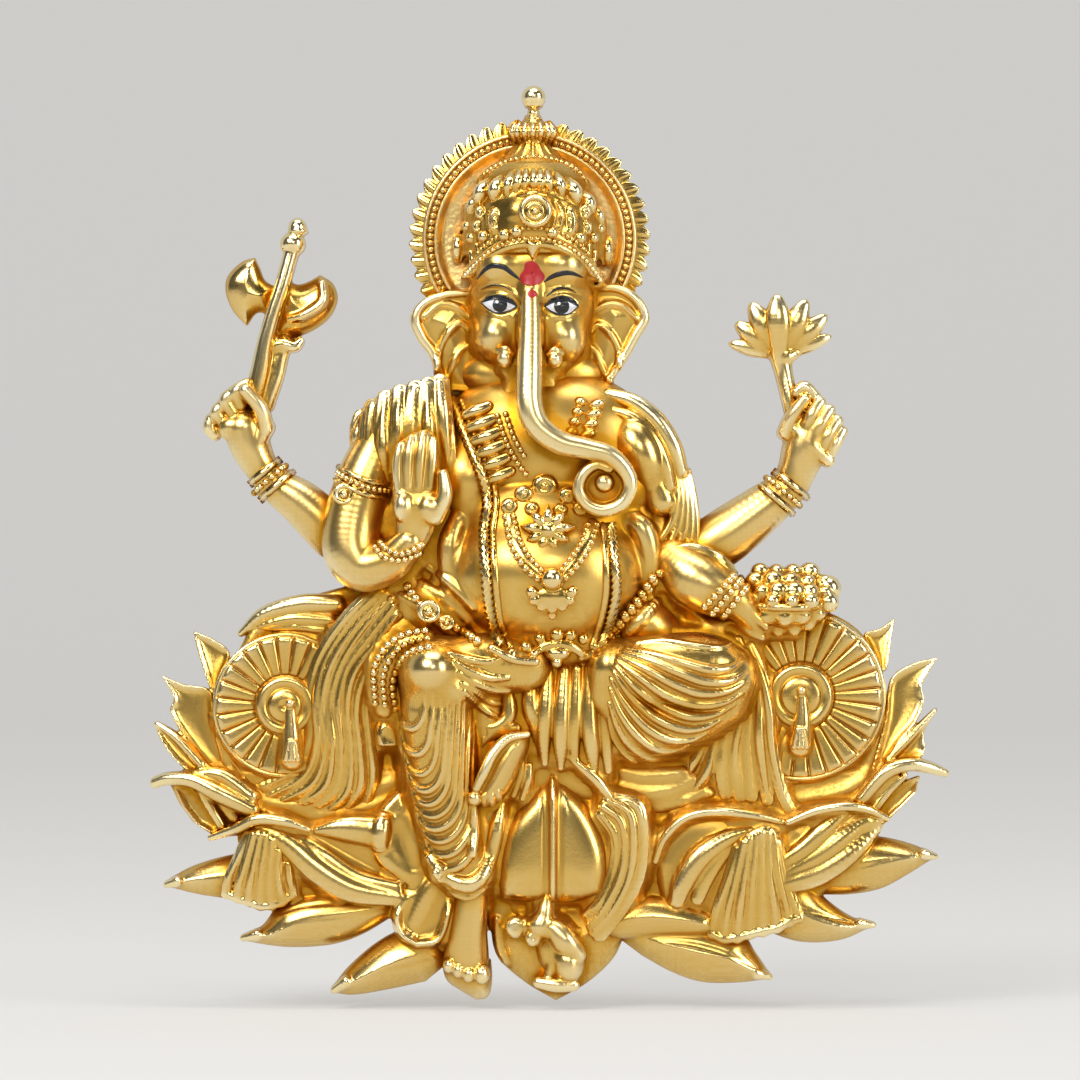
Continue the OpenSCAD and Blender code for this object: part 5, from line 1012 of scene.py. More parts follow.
left_foot = Clay((-11, 2), (-35, -20), (-0.6, 13), 0.14)
pillow(left_foot, leaf([(-1.9, -23.5), (-4.6, -23.9), (-6.4, -25.8), (-7.6, -27.9), (-8.6, -30),
                        (-9, -31.5)], [(-8.1, -32.9), (-6.5, -33)],
                       [(-5, -31.8), (-3.8, -30), (-2.8, -27.8), (-1.9, -25.5)]),
       8, 2.2, 1.4, 0.8, lean=(-0.14, 0.06))
left_foot.stroke([(-2.2, -23.9, 9, 0.4), (-4.6, -24.4, 9.8, 0.6), (-6.4, -26.2, 10.4, 0.65),
                  (-7.5, -28.4, 10.6, 0.65), (-8.5, -30.5, 10.2, 0.55)], 0.5)
left_foot.ball(-8.8, -31.8, 9.4, 1, 1.05, 1.2, blend=0.25)
left_foot.strokes([
    [(-7.5, -31.5, 0.35), (-7.6, -32.6, 0.4)],
    [(-6.6, -31.5, 0.35), (-6.6, -32.6, 0.38)],
    [(-5.8, -31, 0.3), (-5.6, -32, 0.34)],
], 0.25, lift=-0.1)
left_foot.cast("left_foot", gilt_body)

# Head: the elephant's face, with two brow lobes, full cheeks and lidded eyes. The trunk hangs
# down the middle and curls to the left; the stubs of the tusks stand at its root.
head = Clay((-12, 8.5), (16, 40), (-0.6, 13.5), 0.16)
head.ball(-1.6, 30.2, 2.6, 7.9, 9, 6.8)
head.ball(-1.6, 24, 2.6, 6, 4.2, 5.4, blend=1.2)
head.ball(-1.6, 21, 1.6, 9.4, 4.4, 4.4, blend=0.8)
for lobe in ((-5.2, 34.5), (2, 34.5)):
    head.ball(*lobe, 5, 3.9, 3.6, 4.9, blend=1)
head.ball(-1.6, 34.9, 5, 3.4, 3.8, 4.9, blend=1.2)
for cheek in ((-6.1, 25.8), (2.5, 25.6)):
    head.ball(*cheek, 5.4, 2.7, 3.2, 3.6, blend=1.1)
head.stroke([(-1.8, 35, 8, 1.5), (-1.8, 30.2, 8.6, 1.7), (-1.8, 25.2, 9, 1.8)], 0.5)
for eye, turn in (((-5.6, 29.6), -6), ((2.1, 29.4), 6)):
    head.ball(*eye, 9.4, 2.8, 1.5, 1.4, turn, 0.4, cut=True, whole=True)
    head.ball(*eye, 6.6, 2.4, 1.2, 2.1, turn, 0.15)
head.strokes([
    [(-8, 30.1, 0.12), (-6.9, 30.8, 0.2), (-5.5, 30.9, 0.22), (-4.1, 30.4, 0.2), (-3.4, 29.5, 0.12)],
    [(0, 29.9, 0.12), (0.9, 30.6, 0.2), (2.4, 30.8, 0.22), (3.6, 30.4, 0.2), (4.4, 29.5, 0.12)],
    [(-7.8, 29.1, 0.1), (-6.6, 28.4, 0.16), (-5.1, 28.2, 0.16), (-3.6, 28.9, 0.1)],
    [(0.1, 28.9, 0.1), (1.4, 28.1, 0.16), (2.9, 28.1, 0.16), (4.2, 28.9, 0.1)],
    [(-8.1, 31.6, 0.1), (-6.6, 32.1, 0.2), (-5, 31.8, 0.2), (-3.5, 30.8, 0.1)],
    [(0.1, 30.8, 0.1), (1.6, 31.6, 0.2), (3.1, 31.8, 0.2), (4.5, 31.1, 0.1)],
], 0.3, lift=0.05)
head.cast("head", gilt_body)

trunk = Clay((-5, 12), (2, 35), (-0.6, 15.6), 0.16)
trunk.stroke([
    (-1.8, 33.2, 8.4, 1.1), (-1.8, 30.2, 9.2, 1.3), (-1.8, 25.9, 10.2, 1.45), (-1.9, 21.5, 11.2, 1.6),
    (-1.9, 17.2, 12, 1.65), (-0.9, 14.5, 12.3, 1.6), (1.9, 12.4, 12.4, 1.5), (5.1, 11.6, 12.3, 1.35),
    (8, 10.8, 12.2, 1.2), (10, 8.9, 12, 1.05), (10.6, 6.9, 11.9, 0.95), (9.6, 4.9, 11.8, 0.9),
    (7.5, 4, 11.7, 0.85), (5.4, 4.6, 11.7, 0.8), (4.2, 6.5, 11.7, 0.75), (4.8, 8.5, 11.8, 0.7),
    (6.4, 9.6, 11.9, 0.62), (8, 9.1, 12, 0.5),
], 0.15, steps=8)
trunk.ball(7.4, 7.4, 11.8, 1.1, 1.1, 0.9, blend=0.1)
trunk.ball(7.4, 7.4, 10, 3, 3, 1, blend=0.3)
trunk.cast("trunk", gilt_body, floor=4)

tusk = Clay((-8, 5), (19, 26), (4, 12), 0.13)
tusk.ball(-4.9, 22.9, 8.8, 1.05, 1.15, 1.1, blend=0.1)
tusk.ball(1.2, 22.8, 8.8, 1, 1.1, 1.1, blend=0.1)
tusk.strokes([
    [(-5.8, 23.8, 8.6, 0.4), (-4.9, 24.1, 9.2, 0.4), (-4, 23.4, 9, 0.35)],
    [(0.4, 23.4, 9, 0.35), (1.2, 24, 9.2, 0.4), (2.1, 23.6, 8.6, 0.4)],
], 0.2)
tusk.cast("tusks", gilt_body, floor=5)

# Ears: spread fans at both sides of the head, hollowed, with a rolled rim and a second ridge.
# They are cast with the head, polished on the rim and left satin in the hollow.
ears = {
    "right": ([(-9.4, 31.2), (-12.4, 31), (-15.1, 29.9), (-16.2, 28), (-15.5, 25.8), (-14.1, 23.8),
               (-13.4, 21.8), (-12.1, 19)], (-8.9, 18.8), (-8.9, 31.5),
              [(-13.6, 21.2), (-13.1, 24.2), (-12.1, 26.2), (-10.6, 27.4), (-9.4, 26.5)],
              [(-12.6, 19.2), (-11.6, 22), (-10.6, 24), (-8.9, 25)],
              [(-15.1, 28.2), (-13.1, 29.8), (-11.1, 29.5), (-9.4, 28.2)]),
    "left": ([(5.9, 31.8), (9.1, 31.8), (11.4, 30.5), (12.5, 28.2), (11.4, 26), (9.9, 23.2), (8.4, 20.8),
              (7.4, 18.8)], (5.4, 18.5), (5.4, 31.8),
             [(9.4, 22.2), (9.1, 24.5), (7.9, 26.5), (6.6, 27.2), (5.6, 26.2)],
             [(8.4, 19.8), (7.1, 22), (6.4, 23.8), (5.4, 24.8)],
             [(11.6, 28), (9.9, 29.5), (7.9, 29.8), (5.9, 28.8)]),
}
for side, (rim, low, high, ridge, lower_ridge, upper_ridge) in ears.items():
    span = sorted((rim[3][0], low[0]))
    ear = Clay((span[0] - 1.4, span[1] + 1.4), (17, 33), (-0.6, 8.5), 0.16)
    ear.slab(np.vstack([bow(rim), [low, high]]),
             lambda x, z, inside: 2.9 + 1.4 * np.clip(inside / 6, 0, 1) + 0.5 * np.exp(-(inside / 0.6) ** 2)
             + 0 * x)
    ear.stroke([(*p, 3.4, 0.3 + 0.35 * math.sin(math.pi * k / 7)) for k, p in enumerate(rim)], 0.3)
    for line, r in ((ridge, 0.4), (lower_ridge, 0.35), (upper_ridge, 0.4)):
        ear.stroke([(*p, r) for p in line], 0.4, lift=0.05)
    ear.cast("ear_" + side, gilt_body)

# Painted face: the eyes, brows and forehead mark are brushed on in enamel over the gilding,
# the only colours on the piece. The white glint on each iris is a painted highlight.


def enamel(name, colour, rough=0.25):
    """A thin paint with a little brush unevenness."""
    made = bpy.data.materials.new(name)
    made.use_nodes = True
    nodes, link = made.node_tree.nodes, made.node_tree.links.new
    paint = nodes["Principled BSDF"]
    place = nodes.new("ShaderNodeTexCoord")
    brush = nodes.new("ShaderNodeTexNoise")
    brush.inputs["Scale"].default_value = 1200
    link(place.outputs["Object"], brush.inputs["Vector"])
    thick = (*[c * 0.7 for c in colour], 1)
    thin = (*[min(c * 1.25, 1) for c in colour], 1)
    link(mixed(made.node_tree, "RGBA", brush.outputs["Fac"], thick, thin), paint.inputs["Base Color"])
    paint.inputs["Roughness"].default_value = rough
    return made


red_enamel = enamel("red_enamel", (0.36, 0.005, 0.007), 0.4)
white_enamel = enamel("white_enamel", (0.72, 0.73, 0.78))
black_enamel = enamel("black_enamel", (0.012, 0.012, 0.014))
iris_enamel = enamel("iris_enamel", (0.016, 0.019, 0.02))
glint_enamel = enamel("glint_enamel", (0.9, 0.92, 0.95))


def face_front(x, z):
    """How far the face stands out, with the trunk on it."""
    return np.maximum(head.depth(x, z), trunk.depth(x, z))


def dab(name, outline, lift, finish, nodes=()):
    """A flat dab of paint on the face inside a rounded outline."""
    edge = np.asarray(outline, float)
    mid = edge.mean(0)
    rings = [mid + (edge - mid) * s for s in (0.01, 0.2, 0.4, 0.6, 0.75, 0.88, 0.96, 1.0, 1.0)]
    flat = np.vstack(rings)
    n, k = len(edge), len(rings)
    out = face_front(flat[:, 0], flat[:, 1]) + lift
    out[-n:] -= 0.5
    j = np.arange(n)
    after = (j + 1) % n
    faces = [np.column_stack([r * n + j, r * n + after, (r + 1) * n + after, (r + 1) * n + j])
             for r in range(k - 1)]
    cap = np.column_stack([(k - 1) * n + j, (k - 1) * n + after, after, j])
    return piece(name, np.column_stack([flat, out]), np.vstack(faces + [cap]), finish, nodes)


def brush_line(name, line, lift, finish):
    """A brushed line on the face, from rows of x, z and half width."""
    p = bow(line)
    way = np.gradient(p[:, :2], axis=0)
    way /= np.linalg.norm(way, axis=1)[:, None] + 1e-9
    side = np.column_stack([-way[:, 1], way[:, 0]])

    def at(u, v):
        """The domed front of the paint, from one edge to the other and along the line."""
        k = np.minimum((v * (len(p) - 1)).round().astype(int), len(p) - 1)
        flat = p[k, :2] + side[k] * (p[k, 2] * (2 * u - 1))[..., None]
        x, z = flat[..., 0], flat[..., 1]
        return x, z, face_front(x, z) + lift * np.sqrt(1.02 - (2 * u - 1) ** 2)

    mid = face_front(p[:, 0], p[:, 1]).min() - 1
    return skin(name, at, len(p), 5, mid, finish, (), "gilt_body")


def round_dab(x, z, wide, high):
    """The outline of a round dab with its two half sizes."""
    corners = 28
    angle = np.arange(corners) * 2 * math.pi / corners
    return np.column_stack([x + wide * np.cos(angle), z + high * np.sin(angle)])


for side, corner, top, far, low, iris in (
    ("right", (-8, 29.9), [(-6.9, 30.4), (-5.4, 30.5), (-4.2, 30)], (-3.5, 29.4),
     [(-4.6, 28.8), (-6, 28.6), (-7.1, 29.1)], (-5.6, 29.6, 0.92)),
    ("left", (0, 29.4), [(1, 30.1), (2.4, 30.4), (3.5, 30)], (4.2, 29.4),
     [(3.1, 28.5), (1.9, 28.4), (0.8, 28.8)], (2.1, 29.4, 0.96)),
):
    dab("eye_white_" + side, leaf([corner, *top, far], low), 0.03, white_enamel)
    dab("iris_" + side, round_dab(*iris[:2], iris[2], iris[2]), 0.07, iris_enamel)
    dab("pupil_" + side, round_dab(*iris[:2], 0.5, 0.5), 0.1, black_enamel)
    # A painted highlight: a small white glint dab up and to the side on the iris.
    dab("glint_" + side, round_dab(iris[0] - 0.35, iris[1] + 0.35, 0.2, 0.2), 0.13, glint_enamel)
    brush_line("upper_lid_" + side, [(*corner, 0.1), *[(*p, 0.32) for p in top], (*far, 0.12)], 0.12,
               black_enamel)
    brush_line("lower_lid_" + side, [(*corner, 0.08), *[(*p, 0.1) for p in low[::-1]], (*far, 0.08)], 0.1,
               black_enamel)
for side, line in (
    ("right", [(-8.5, 32.8, 0.1), (-7.5, 33.9, 0.25), (-6.5, 34.4, 0.32), (-5.1, 34.2, 0.32),
               (-4, 33.4, 0.26), (-3, 32.6, 0.08)]),
    ("left", [(-0.1, 32.4, 0.08), (0.8, 33, 0.26), (1.9, 33.4, 0.32), (3.2, 33.5, 0.28), (4.8, 33, 0.08)]),
    ("fold_right", [(-8, 31.5, 0.05), (-6.6, 32, 0.1), (-5, 31.8, 0.1), (-3.8, 31, 0.05)]),
    ("fold_left", [(0.2, 30.6, 0.06), (1.4, 31.5, 0.18), (2.8, 31.6, 0.14), (3.9, 31.1, 0.05)]),
):
    brush_line("brow_" + side, line, 0.08, black_enamel)
tilak = leaf([(-1.5, 35), (-2.4, 34.8), (-2.6, 33.9), (-3.1, 33.1), (-2.8, 32.2), (-1.6, 31.9)],
             [(-0.5, 32.2), (0, 33.1), (-0.5, 33.9), (-0.9, 34.6)])
dab("tilak", tilak, 0.2, red_enamel, ["tilak"])
dab("trunk_mark", round_dab(-1.6, 30.9, 0.6, 0.5), 0.1, red_enamel, ["tilak"])

# Halo: a flat disc behind the head with a beaded ring, and a rim of small leaf-shaped flames.
# The disc is turned and pecked, the beads and flames repeat round it.
halo = (-1.9, 38)
gilt_ornament = gilt("gilt_ornament", 0.21, 0.4)
lathe("halo_disc", halo, [
    (0, 0.1), (13.5, 0.1), (13.5, 1.8), (13.3, 2.1), (13.05, 2.15), (12.95, 1.7), (12.1, 1.7),
    (12.0, 2.1), (11.85, 2.25), (11.6, 2.15), (11.2, 1.75), (10.9, 1.6), (10.5, 1.55), (0.02, 1.55),
], gilt_ground, turns=144)


def flame(u, v):
    """The front of one hooked flame of the rim, with a rib up its middle."""
    side = 2 * u - 1
    half = 0.98 * np.clip(1 - v ** 4, 0, 1) ** 0.8 + 0.02
    hook = 0.5 * v ** 2
    rib = 0.4 * np.exp(-np.abs(side) / 0.3) * (1 - 0.5 * v) + 0.25 * side * side * (1 - v)
    return side * half + hook, 13.1 + 2.1 * v, 1.4 + rib - 0.35 * v


flame_count = 46
flames = skin("halo_rays", flame, 12, 9, 0.1, gilt_ornament, ["halo_rays"])
ring_of(flames, flame_count, halo, gilt_ornament)


def even_curve(made, line, step):
    """A bare line as a curve with its points at an even step."""
    curve = made.nodes.new("GeometryNodeMeshToCurve")
    made.links.new(line, curve.inputs["Mesh"])
    even = made.nodes.new("GeometryNodeResampleCurve")
    even.mode = "LENGTH"
    made.links.new(curve.outputs[0], even.inputs["Curve"])
    made.links.new(step, even.inputs["Length"])
    return even.outputs[0]


def smoothed(made, mesh):
    """A mesh shaded smooth."""
    smooth = made.nodes.new("GeometryNodeSetShadeSmooth")
    made.links.new(mesh, smooth.inputs["Geometry"])
    return smooth.outputs[0]


def bead_tree():
    """Round beads set at an even pitch along a line."""
    made, sockets, given, out = repeat_tree("string_of_beads", {
        "Line": "Geometry", "Pitch": "Float", "Bead radius": "Float", "Finish": "Material"})
    new, link = made.nodes.new, made.links.new
    bead = new("GeometryNodeMeshIcoSphere")
    bead.inputs["Subdivisions"].default_value = 2
    link(given.outputs["Bead radius"], bead.inputs["Radius"])
    copies = new("GeometryNodeInstanceOnPoints")
    link(even_curve(made, given.outputs["Line"], given.outputs["Pitch"]), copies.inputs["Points"])
    link(smoothed(made, bead.outputs["Mesh"]), copies.inputs["Instance"])
    made_real(made, given, out, copies.outputs[0])
    return made, sockets


bead_strings, bead_sockets = bead_tree()


def wire(name, lines, nodes):
    """Bare lines of x, z and d, for a tree to grow on."""
    mesh = bpy.data.meshes.new(name)
    points, edges = [], []
    for line in lines:
        edges += [(len(points) + k, len(points) + k + 1) for k in range(len(line) - 1)]
        points += [world(*p) for p in line]
    mesh.from_pydata(points, edges, [])
    made = bpy.data.objects.new("cast_" + name, mesh)
    bpy.context.scene.collection.objects.link(made)
    return seated(made, nodes)


def beads(name, lines, radius, nodes, pitch=None):
    """Strings of beads, touching unless a pitch is given."""
    return grown(wire(name, lines, nodes), bead_strings, {
        bead_sockets["Pitch"]: (pitch or 1.9 * radius) / 1000,
        bead_sockets["Bead radius"]: radius / 1000,
        bead_sockets["Finish"]: gilt_ornament,
    })


ring_radius, ring_pitch = 12.5, 0.86
turn = np.linspace(0, 2 * math.pi - ring_pitch / ring_radius, 181)
halo_ring = [halo[0] + ring_radius * np.cos(turn), halo[1] + ring_radius * np.sin(turn), 0 * turn + 1.9]
beads("halo_beads", [np.column_stack(halo_ring)], 0.42, ["halo_beads"], ring_pitch)

# Crown: a domed cap in tiers with a bulb and finial on top, a row of bud-shaped leaves, a round
# boss in front, jewelled ovals and a beaded brow band. Cast with the head and chased.
crown = Clay((-11.5, 8.5), (33, 58), (-0.6, 13), 0.15)
crown_axis, crown_d = -1.5, 1.6
crown.turned(crown_axis, crown_d, [
    (36, 8.2, 8.6), (37, 8.5, 9.1), (38.6, 8.7, 9.5), (40.6, 8.6, 9.5), (42.4, 8.1, 9.1), (44, 7.4, 8.5),
    (45, 6.8, 7.7), (45.6, 6.4, 7.2)])
crown.turned(crown_axis, crown_d, [(44.8, 6.9, 7.6), (45.6, 6.7, 7.4), (46.5, 6.1, 6.8), (47.4, 5.2, 5.9)])
crown.turned(crown_axis, crown_d,
             [(47.2, 5, 5.6), (47.8, 4.4, 5), (48.4, 3.6, 4.3), (49.2, 2.7, 3.5), (50, 2.1, 2.9),
              (50.5, 1.9, 2.7)])
crown.turned(crown_axis, crown_d,
             [(50.3, 1.9, 2.6), (50.7, 2.4, 3.1), (51.4, 2.6, 3.3), (52, 2.4, 3.1), (52.5, 1.6, 2.4),
              (53.2, 1.1, 1.9), (53.6, 1, 1.8)])
bulb_rib = ((2.5, 50.3, 3, 0.2), (2.9, 51.4, 3.5, 0.36), (2.5, 52.4, 3, 0.2))
neck_rib = ((1.9, 50, 2.9, 0.16), (3.4, 48.3, 4.3, 0.26))
for k in range(-4, 5):
    a = math.radians(21 * k)
    for rib, blend in ((bulb_rib, 0.1), (neck_rib, 0.12)):
        crown.stroke([(crown_axis + wide * math.sin(a), z, crown_d + deep * math.cos(a), r)
                      for wide, z, deep, r in rib], blend)


def dome(x, deep, half, least=0.05):
    """How far a round of the crown stands out at a place across it."""
    return crown_d + deep * math.sqrt(max(least, 1 - ((x - crown_axis) / half) ** 2))


for x, z, wide in ((-8.9, 42.4, 0.8), (-7.9, 43.8, 1), (-6.1, 44.1, 1), (-4.5, 44.6, 0.75),
                   (-3.4, 44.9, 0.6), (-2.4, 45, 0.55), (-1.4, 45, 0.55), (-0.5, 45, 0.55),
                   (0.5, 44.9, 0.6), (1.9, 44.5, 0.8), (3.6, 43.8, 1.05), (5.4, 42.5, 0.95),
                   (6.6, 41, 0.8)):
    out = dome(x, 8.5, 8.6)
    lean = 0.12 * (x - crown_axis)
    crown.stroke([(x + 0.3 * lean, z - 1, out - 0.2, 0.75 * wide), (x, z, out, wide),
                  (x - lean, z + 1.2, out - 0.7, 0.5 * wide)], 0.1)
for x, z, wide, high in ((-6.2, 40, 0.95, 1.75), (3.1, 39.8, 0.95, 2.1), (-8, 41.1, 0.75, 1),
                         (5, 41.2, 0.8, 1.1), (-8.4, 39.4, 0.7, 0.9), (5.2, 39.2, 0.75, 1)):
    out = dome(x, 9.1, 8.9)
    crown.ball(x, z, out - 0.3, wide, high, 1, blend=0.12)
    crown.ball(x, z, out + 0.75, wide * 0.6, high * 0.66, 0.45, blend=0.1, cut=True, whole=True)
    crown.ball(x, z, out - 0.1, wide * 0.36, high * 0.45, 0.65, blend=0.08)
crown.ball(-1.8, 41, 8.6, 3.9, 2.7, 2.6, blend=0.3)
crown.strokes([
    [(0.6, 42.4, 0.25), (1.2, 40.9, 0.35), (0.9, 39.1, 0.25)],
    [(1.5, 42.4, 0.25), (2.1, 40.8, 0.35), (1.8, 39, 0.25)],
], 0.15, lift=0)
crown.stroke([(-3.1, 43.1, 10.2, 0.3), (-1.5, 43.3, 10.7, 0.42), (0.1, 43.1, 10.3, 0.3)], 0.15)
for side in (-1, 1):
    for k in range(5):
        x = crown_axis + side * (4.6 + 0.75 * k)
        z = 37.6 - 0.16 * k - 0.1 * k * k
        out = dome(x, 9, 8.9)
        crown.stroke([(x, z - 0.3, out, 0.3), (x + 0.1 * side, z + 0.9, out - 0.1, 0.36)], 0.1)
brow = bow([(-9.9, 32.8), (-8.1, 34.6), (-6.2, 36), (-4.1, 36.9), (-1.5, 37.2), (1.1, 36.9), (3.4, 35.9),
            (5.4, 34.2), (6.9, 32.2)])
crown.stroke([(x, z, dome(x, 8.7, 8.8, 0.03), 0.62) for x, z in brow[::3]], 0.2)
crown.stroke([(x, z + 1.1, dome(x, 9, 8.9, 0.03), 0.35) for x, z in brow[::3]], 0.2)
pillow(crown, [(-2.5, 37.9), (-0.5, 37.9), (-0.2, 36.9), (-0.9, 35.9), (-1.5, 35), (-2.1, 35.9),
               (-2.6, 36.9)], 10.4, 1.1, 0.5)
for x, z, wide, high in ((-10.9, 36.9, 1.2, 1.9), (7.8, 36.5, 1.1, 2)):
    crown.ball(x, z, 2.2, wide, high, 2.2, blend=0.2)
crown.cast("crown", gilt_ornament,
           ["crown_band", "crown_dome", "crown_petals", "crown_spire", "crown_rosettes"])
lathe("crown_medallion", (-1.2, 41.1), [
    (0, 9.5), (2.15, 9.5), (2.15, 11.6), (2, 12), (1.75, 12.2), (1.5, 12.15), (1.35, 11.9), (1.2, 11.9),
    (1.1, 12.2), (0.9, 12.3), (0.7, 12.2), (0.55, 12), (0.45, 12.2), (0.25, 12.45), (0.02, 12.5),
], gilt_ornament, turns=64)
finial = Clay((-4, 1), (52, 58), (-0.6, 6), 0.13)
finial.ball(-1.4, 53.8, 2.6, 0.8, 0.7, 0.9, blend=0.1)
finial.ball(-1.4, 53.1, 2.6, 1.1, 0.45, 1.1, blend=0.1)
finial.ball(-1.4, 54.8, 2.6, 1.2, 0.4, 1.2, blend=0.1)
finial.ball(-1.4, 55.8, 2.6, 1.5, 1.45, 1.5, blend=0.1)
finial.cast("finial", gilt_ornament)
arc = bow([(-8.9, 44.5), (-7.4, 46.2), (-4.6, 47.6), (-1.4, 48.1), (1.9, 47.6), (4.1, 46.5), (5.6, 44.5)])
beads("crown_beads", [
    [(x, z + rise, crown.depth(x, z + rise) + lift) for x, z in line]
    for line, rise, lift in ((arc, 0, 0), (brow, 0.55, 0.1), (brow[6:-6], 1.8, 0))
], 0.34, ["crown_band"], 0.74)
studs = ((-3.5, 38.6), (0.9, 38.5), (-9.1, 38), (-7.6, 38.1), (4.4, 37.9), (6, 38), (6.8, 39.2),
         (-9.6, 39.5), (-5, 38.2))
beads("crown_studs", [[(x + aside, z, float(crown.depth(x, z))) for aside in (0, 0.01)] for x, z in studs],
      0.8, ["crown_band"])

# Front right arm: raised with the open palm forward, the sleeve of the shawl falling from the
# shoulder. An armlet with a rosette and a wrist bangle are chased on it.
arm = Clay((-28, -10.5), (-7, 20), (-0.6, 14.5), 0.2)
arm.stroke([(-20.1, 12.8, 4.6, 3.4), (-22.4, 7.8, 5.4, 3.7), (-23.9, 2.8, 6, 3.7), (-24.1, -1, 6.6, 3.6),
            (-22.4, -3, 7.4, 3.2), (-19.1, -2.2, 8.8, 2.6), (-16.9, 0, 9.8, 2)], 0.6)
arm.ball(-18.9, 3.2, 2, 3.4, 5, 4.4, blend=0.8)
arm.cast("front_arm_right", gilt_body)
hand = Clay((-20.5, -10.5), (-1, 15), (6, 15), 0.14)
hand.stroke([(-16.8, 0, 9.6, 2), (-16.1, 2.2, 10, 2.4), (-15.9, 4.5, 10, 2.8)], 0.4, tall=0.7)
pillow(hand, leaf([(-18.9, 5.2), (-18.9, 9), (-18.5, 11.8), (-17.1, 13.1), (-15.1, 14), (-13.5, 13),
                   (-13.1, 10), (-12.9, 5.2)], [(-13.4, 2.8), (-15.6, 1.5), (-18, 2.5)]), 10.8, 0.9, 0.7)
hand.strokes([
    [(-18.2, 6.5, 0.4), (-18.4, 9.5, 0.6), (-18, 12, 0.42)],
    [(-17, 6.8, 0.4), (-17, 10.2, 0.65), (-16.6, 12.9, 0.45)],
    [(-15.6, 6.8, 0.4), (-15.5, 10.5, 0.68), (-15.1, 13.5, 0.45)],
    [(-14.2, 6.8, 0.4), (-14, 10.1, 0.62), (-13.8, 12.6, 0.42)],
], 0.2, tall=0.9, lift=-0.1)
hand.stroke([(-13.6, 3.2, 11.4, 1.1), (-12.4, 5.8, 12, 0.95), (-12.6, 8.5, 12, 0.6)], 0.25)
hand.ball(-14.4, 4.2, 11.4, 1.4, 1.8, 1.2, blend=0.5)
hand.ball(-17.6, 4.4, 11.2, 1.2, 1.9, 1.2, blend=0.5)
hand.cast("front_hand_right", gilt_body, ["front_arm_right"], 6.5)


def cord_tree():
    """A twisted cord of round strands along a line."""
    made, sockets, given, out = repeat_tree("twisted_cord", {
        "Line": "Geometry", "Radius": "Float", "Strands": "Int", "Twist": "Float", "Step": "Float",
        "Finish": "Material"})
    new, link = made.nodes.new, made.links.new
    along = new("GeometryNodeSplineParameter")
    twisted = new("GeometryNodeSetCurveTilt")
    link(even_curve(made, given.outputs["Line"], given.outputs["Step"]), twisted.inputs["Curve"])
    link(maths(made, "MULTIPLY", along.outputs["Length"], given.outputs["Twist"]), twisted.inputs["Tilt"])
    star = new("GeometryNodeCurveStar")
    groove = 0.6
    link(given.outputs["Strands"], star.inputs["Points"])
    link(maths(made, "MULTIPLY", given.outputs["Radius"], groove), star.inputs["Inner Radius"])
    link(given.outputs["Radius"], star.inputs["Outer Radius"])
    tube = new("GeometryNodeCurveToMesh")
    tube.inputs["Fill Caps"].default_value = True
    link(twisted.outputs[0], tube.inputs["Curve"])
    link(star.outputs["Curve"], tube.inputs["Profile Curve"])
    made_real(made, given, out, smoothed(made, tube.outputs[0]))
    return made, sockets


twisted_cords, cord_sockets = cord_tree()


def cord(name, lines, radius, nodes, strands=5, twist=900.0):
    """Twisted cords along lines of x, z and d; the twist is in radians a metre."""
    return grown(wire(name, lines, nodes), twisted_cords, {
        cord_sockets["Radius"]: radius / 1000,
        cord_sockets["Strands"]: strands,
        cord_sockets["Twist"]: twist,
        cord_sockets["Step"]: 0.00022,
        cord_sockets["Finish"]: gilt_ornament,
    })


def on(front, line, lift):
    """A line of x and z laid on what stands out there."""
    p = bow(line, 8)
    return np.column_stack([p, front(p[:, 0], p[:, 1]) + lift])


arm_front = arm.depth
cord("armlet_right", [on(arm_front, [(-26.1, 8), (-24.6, 7), (-22.4, 6), (-19.6, 5.5)], 0.1),
                      on(arm_front, [(-25.9, 9.5), (-24.1, 8.5), (-21.9, 7.6), (-19.4, 7.2)], 0.1)],
     0.4, ["armlet_right"])
beads("armlet_beads", [on(arm_front, [(-26, 8.8), (-24.4, 7.8), (-22.1, 6.8), (-19.5, 6.4)], 0.25)], 0.4,
      ["armlet_right"])
lathe("armlet_rosette", (-25, 6), [
    (0, 6), (1.4, 6), (1.4, 9.2), (1.2, 9.5), (0.9, 9.5), (0.75, 9.2), (0.55, 9.3), (0.4, 9.7), (0.02, 9.9),
], gilt_ornament, ["armlet_right"], 40)
beads("front_bangle_right",
      [on(arm_front, [(-21.1, -0.6), (-19.9, -1.9), (-17.6, -2.2), (-14.4, -0.8)], 0.35),
       on(arm_front, [(-20.6, 0.1), (-19.4, -1), (-17.4, -1.4), (-14.6, 0.1)], 0.35)],
      0.42, ["front_bangle_right"])

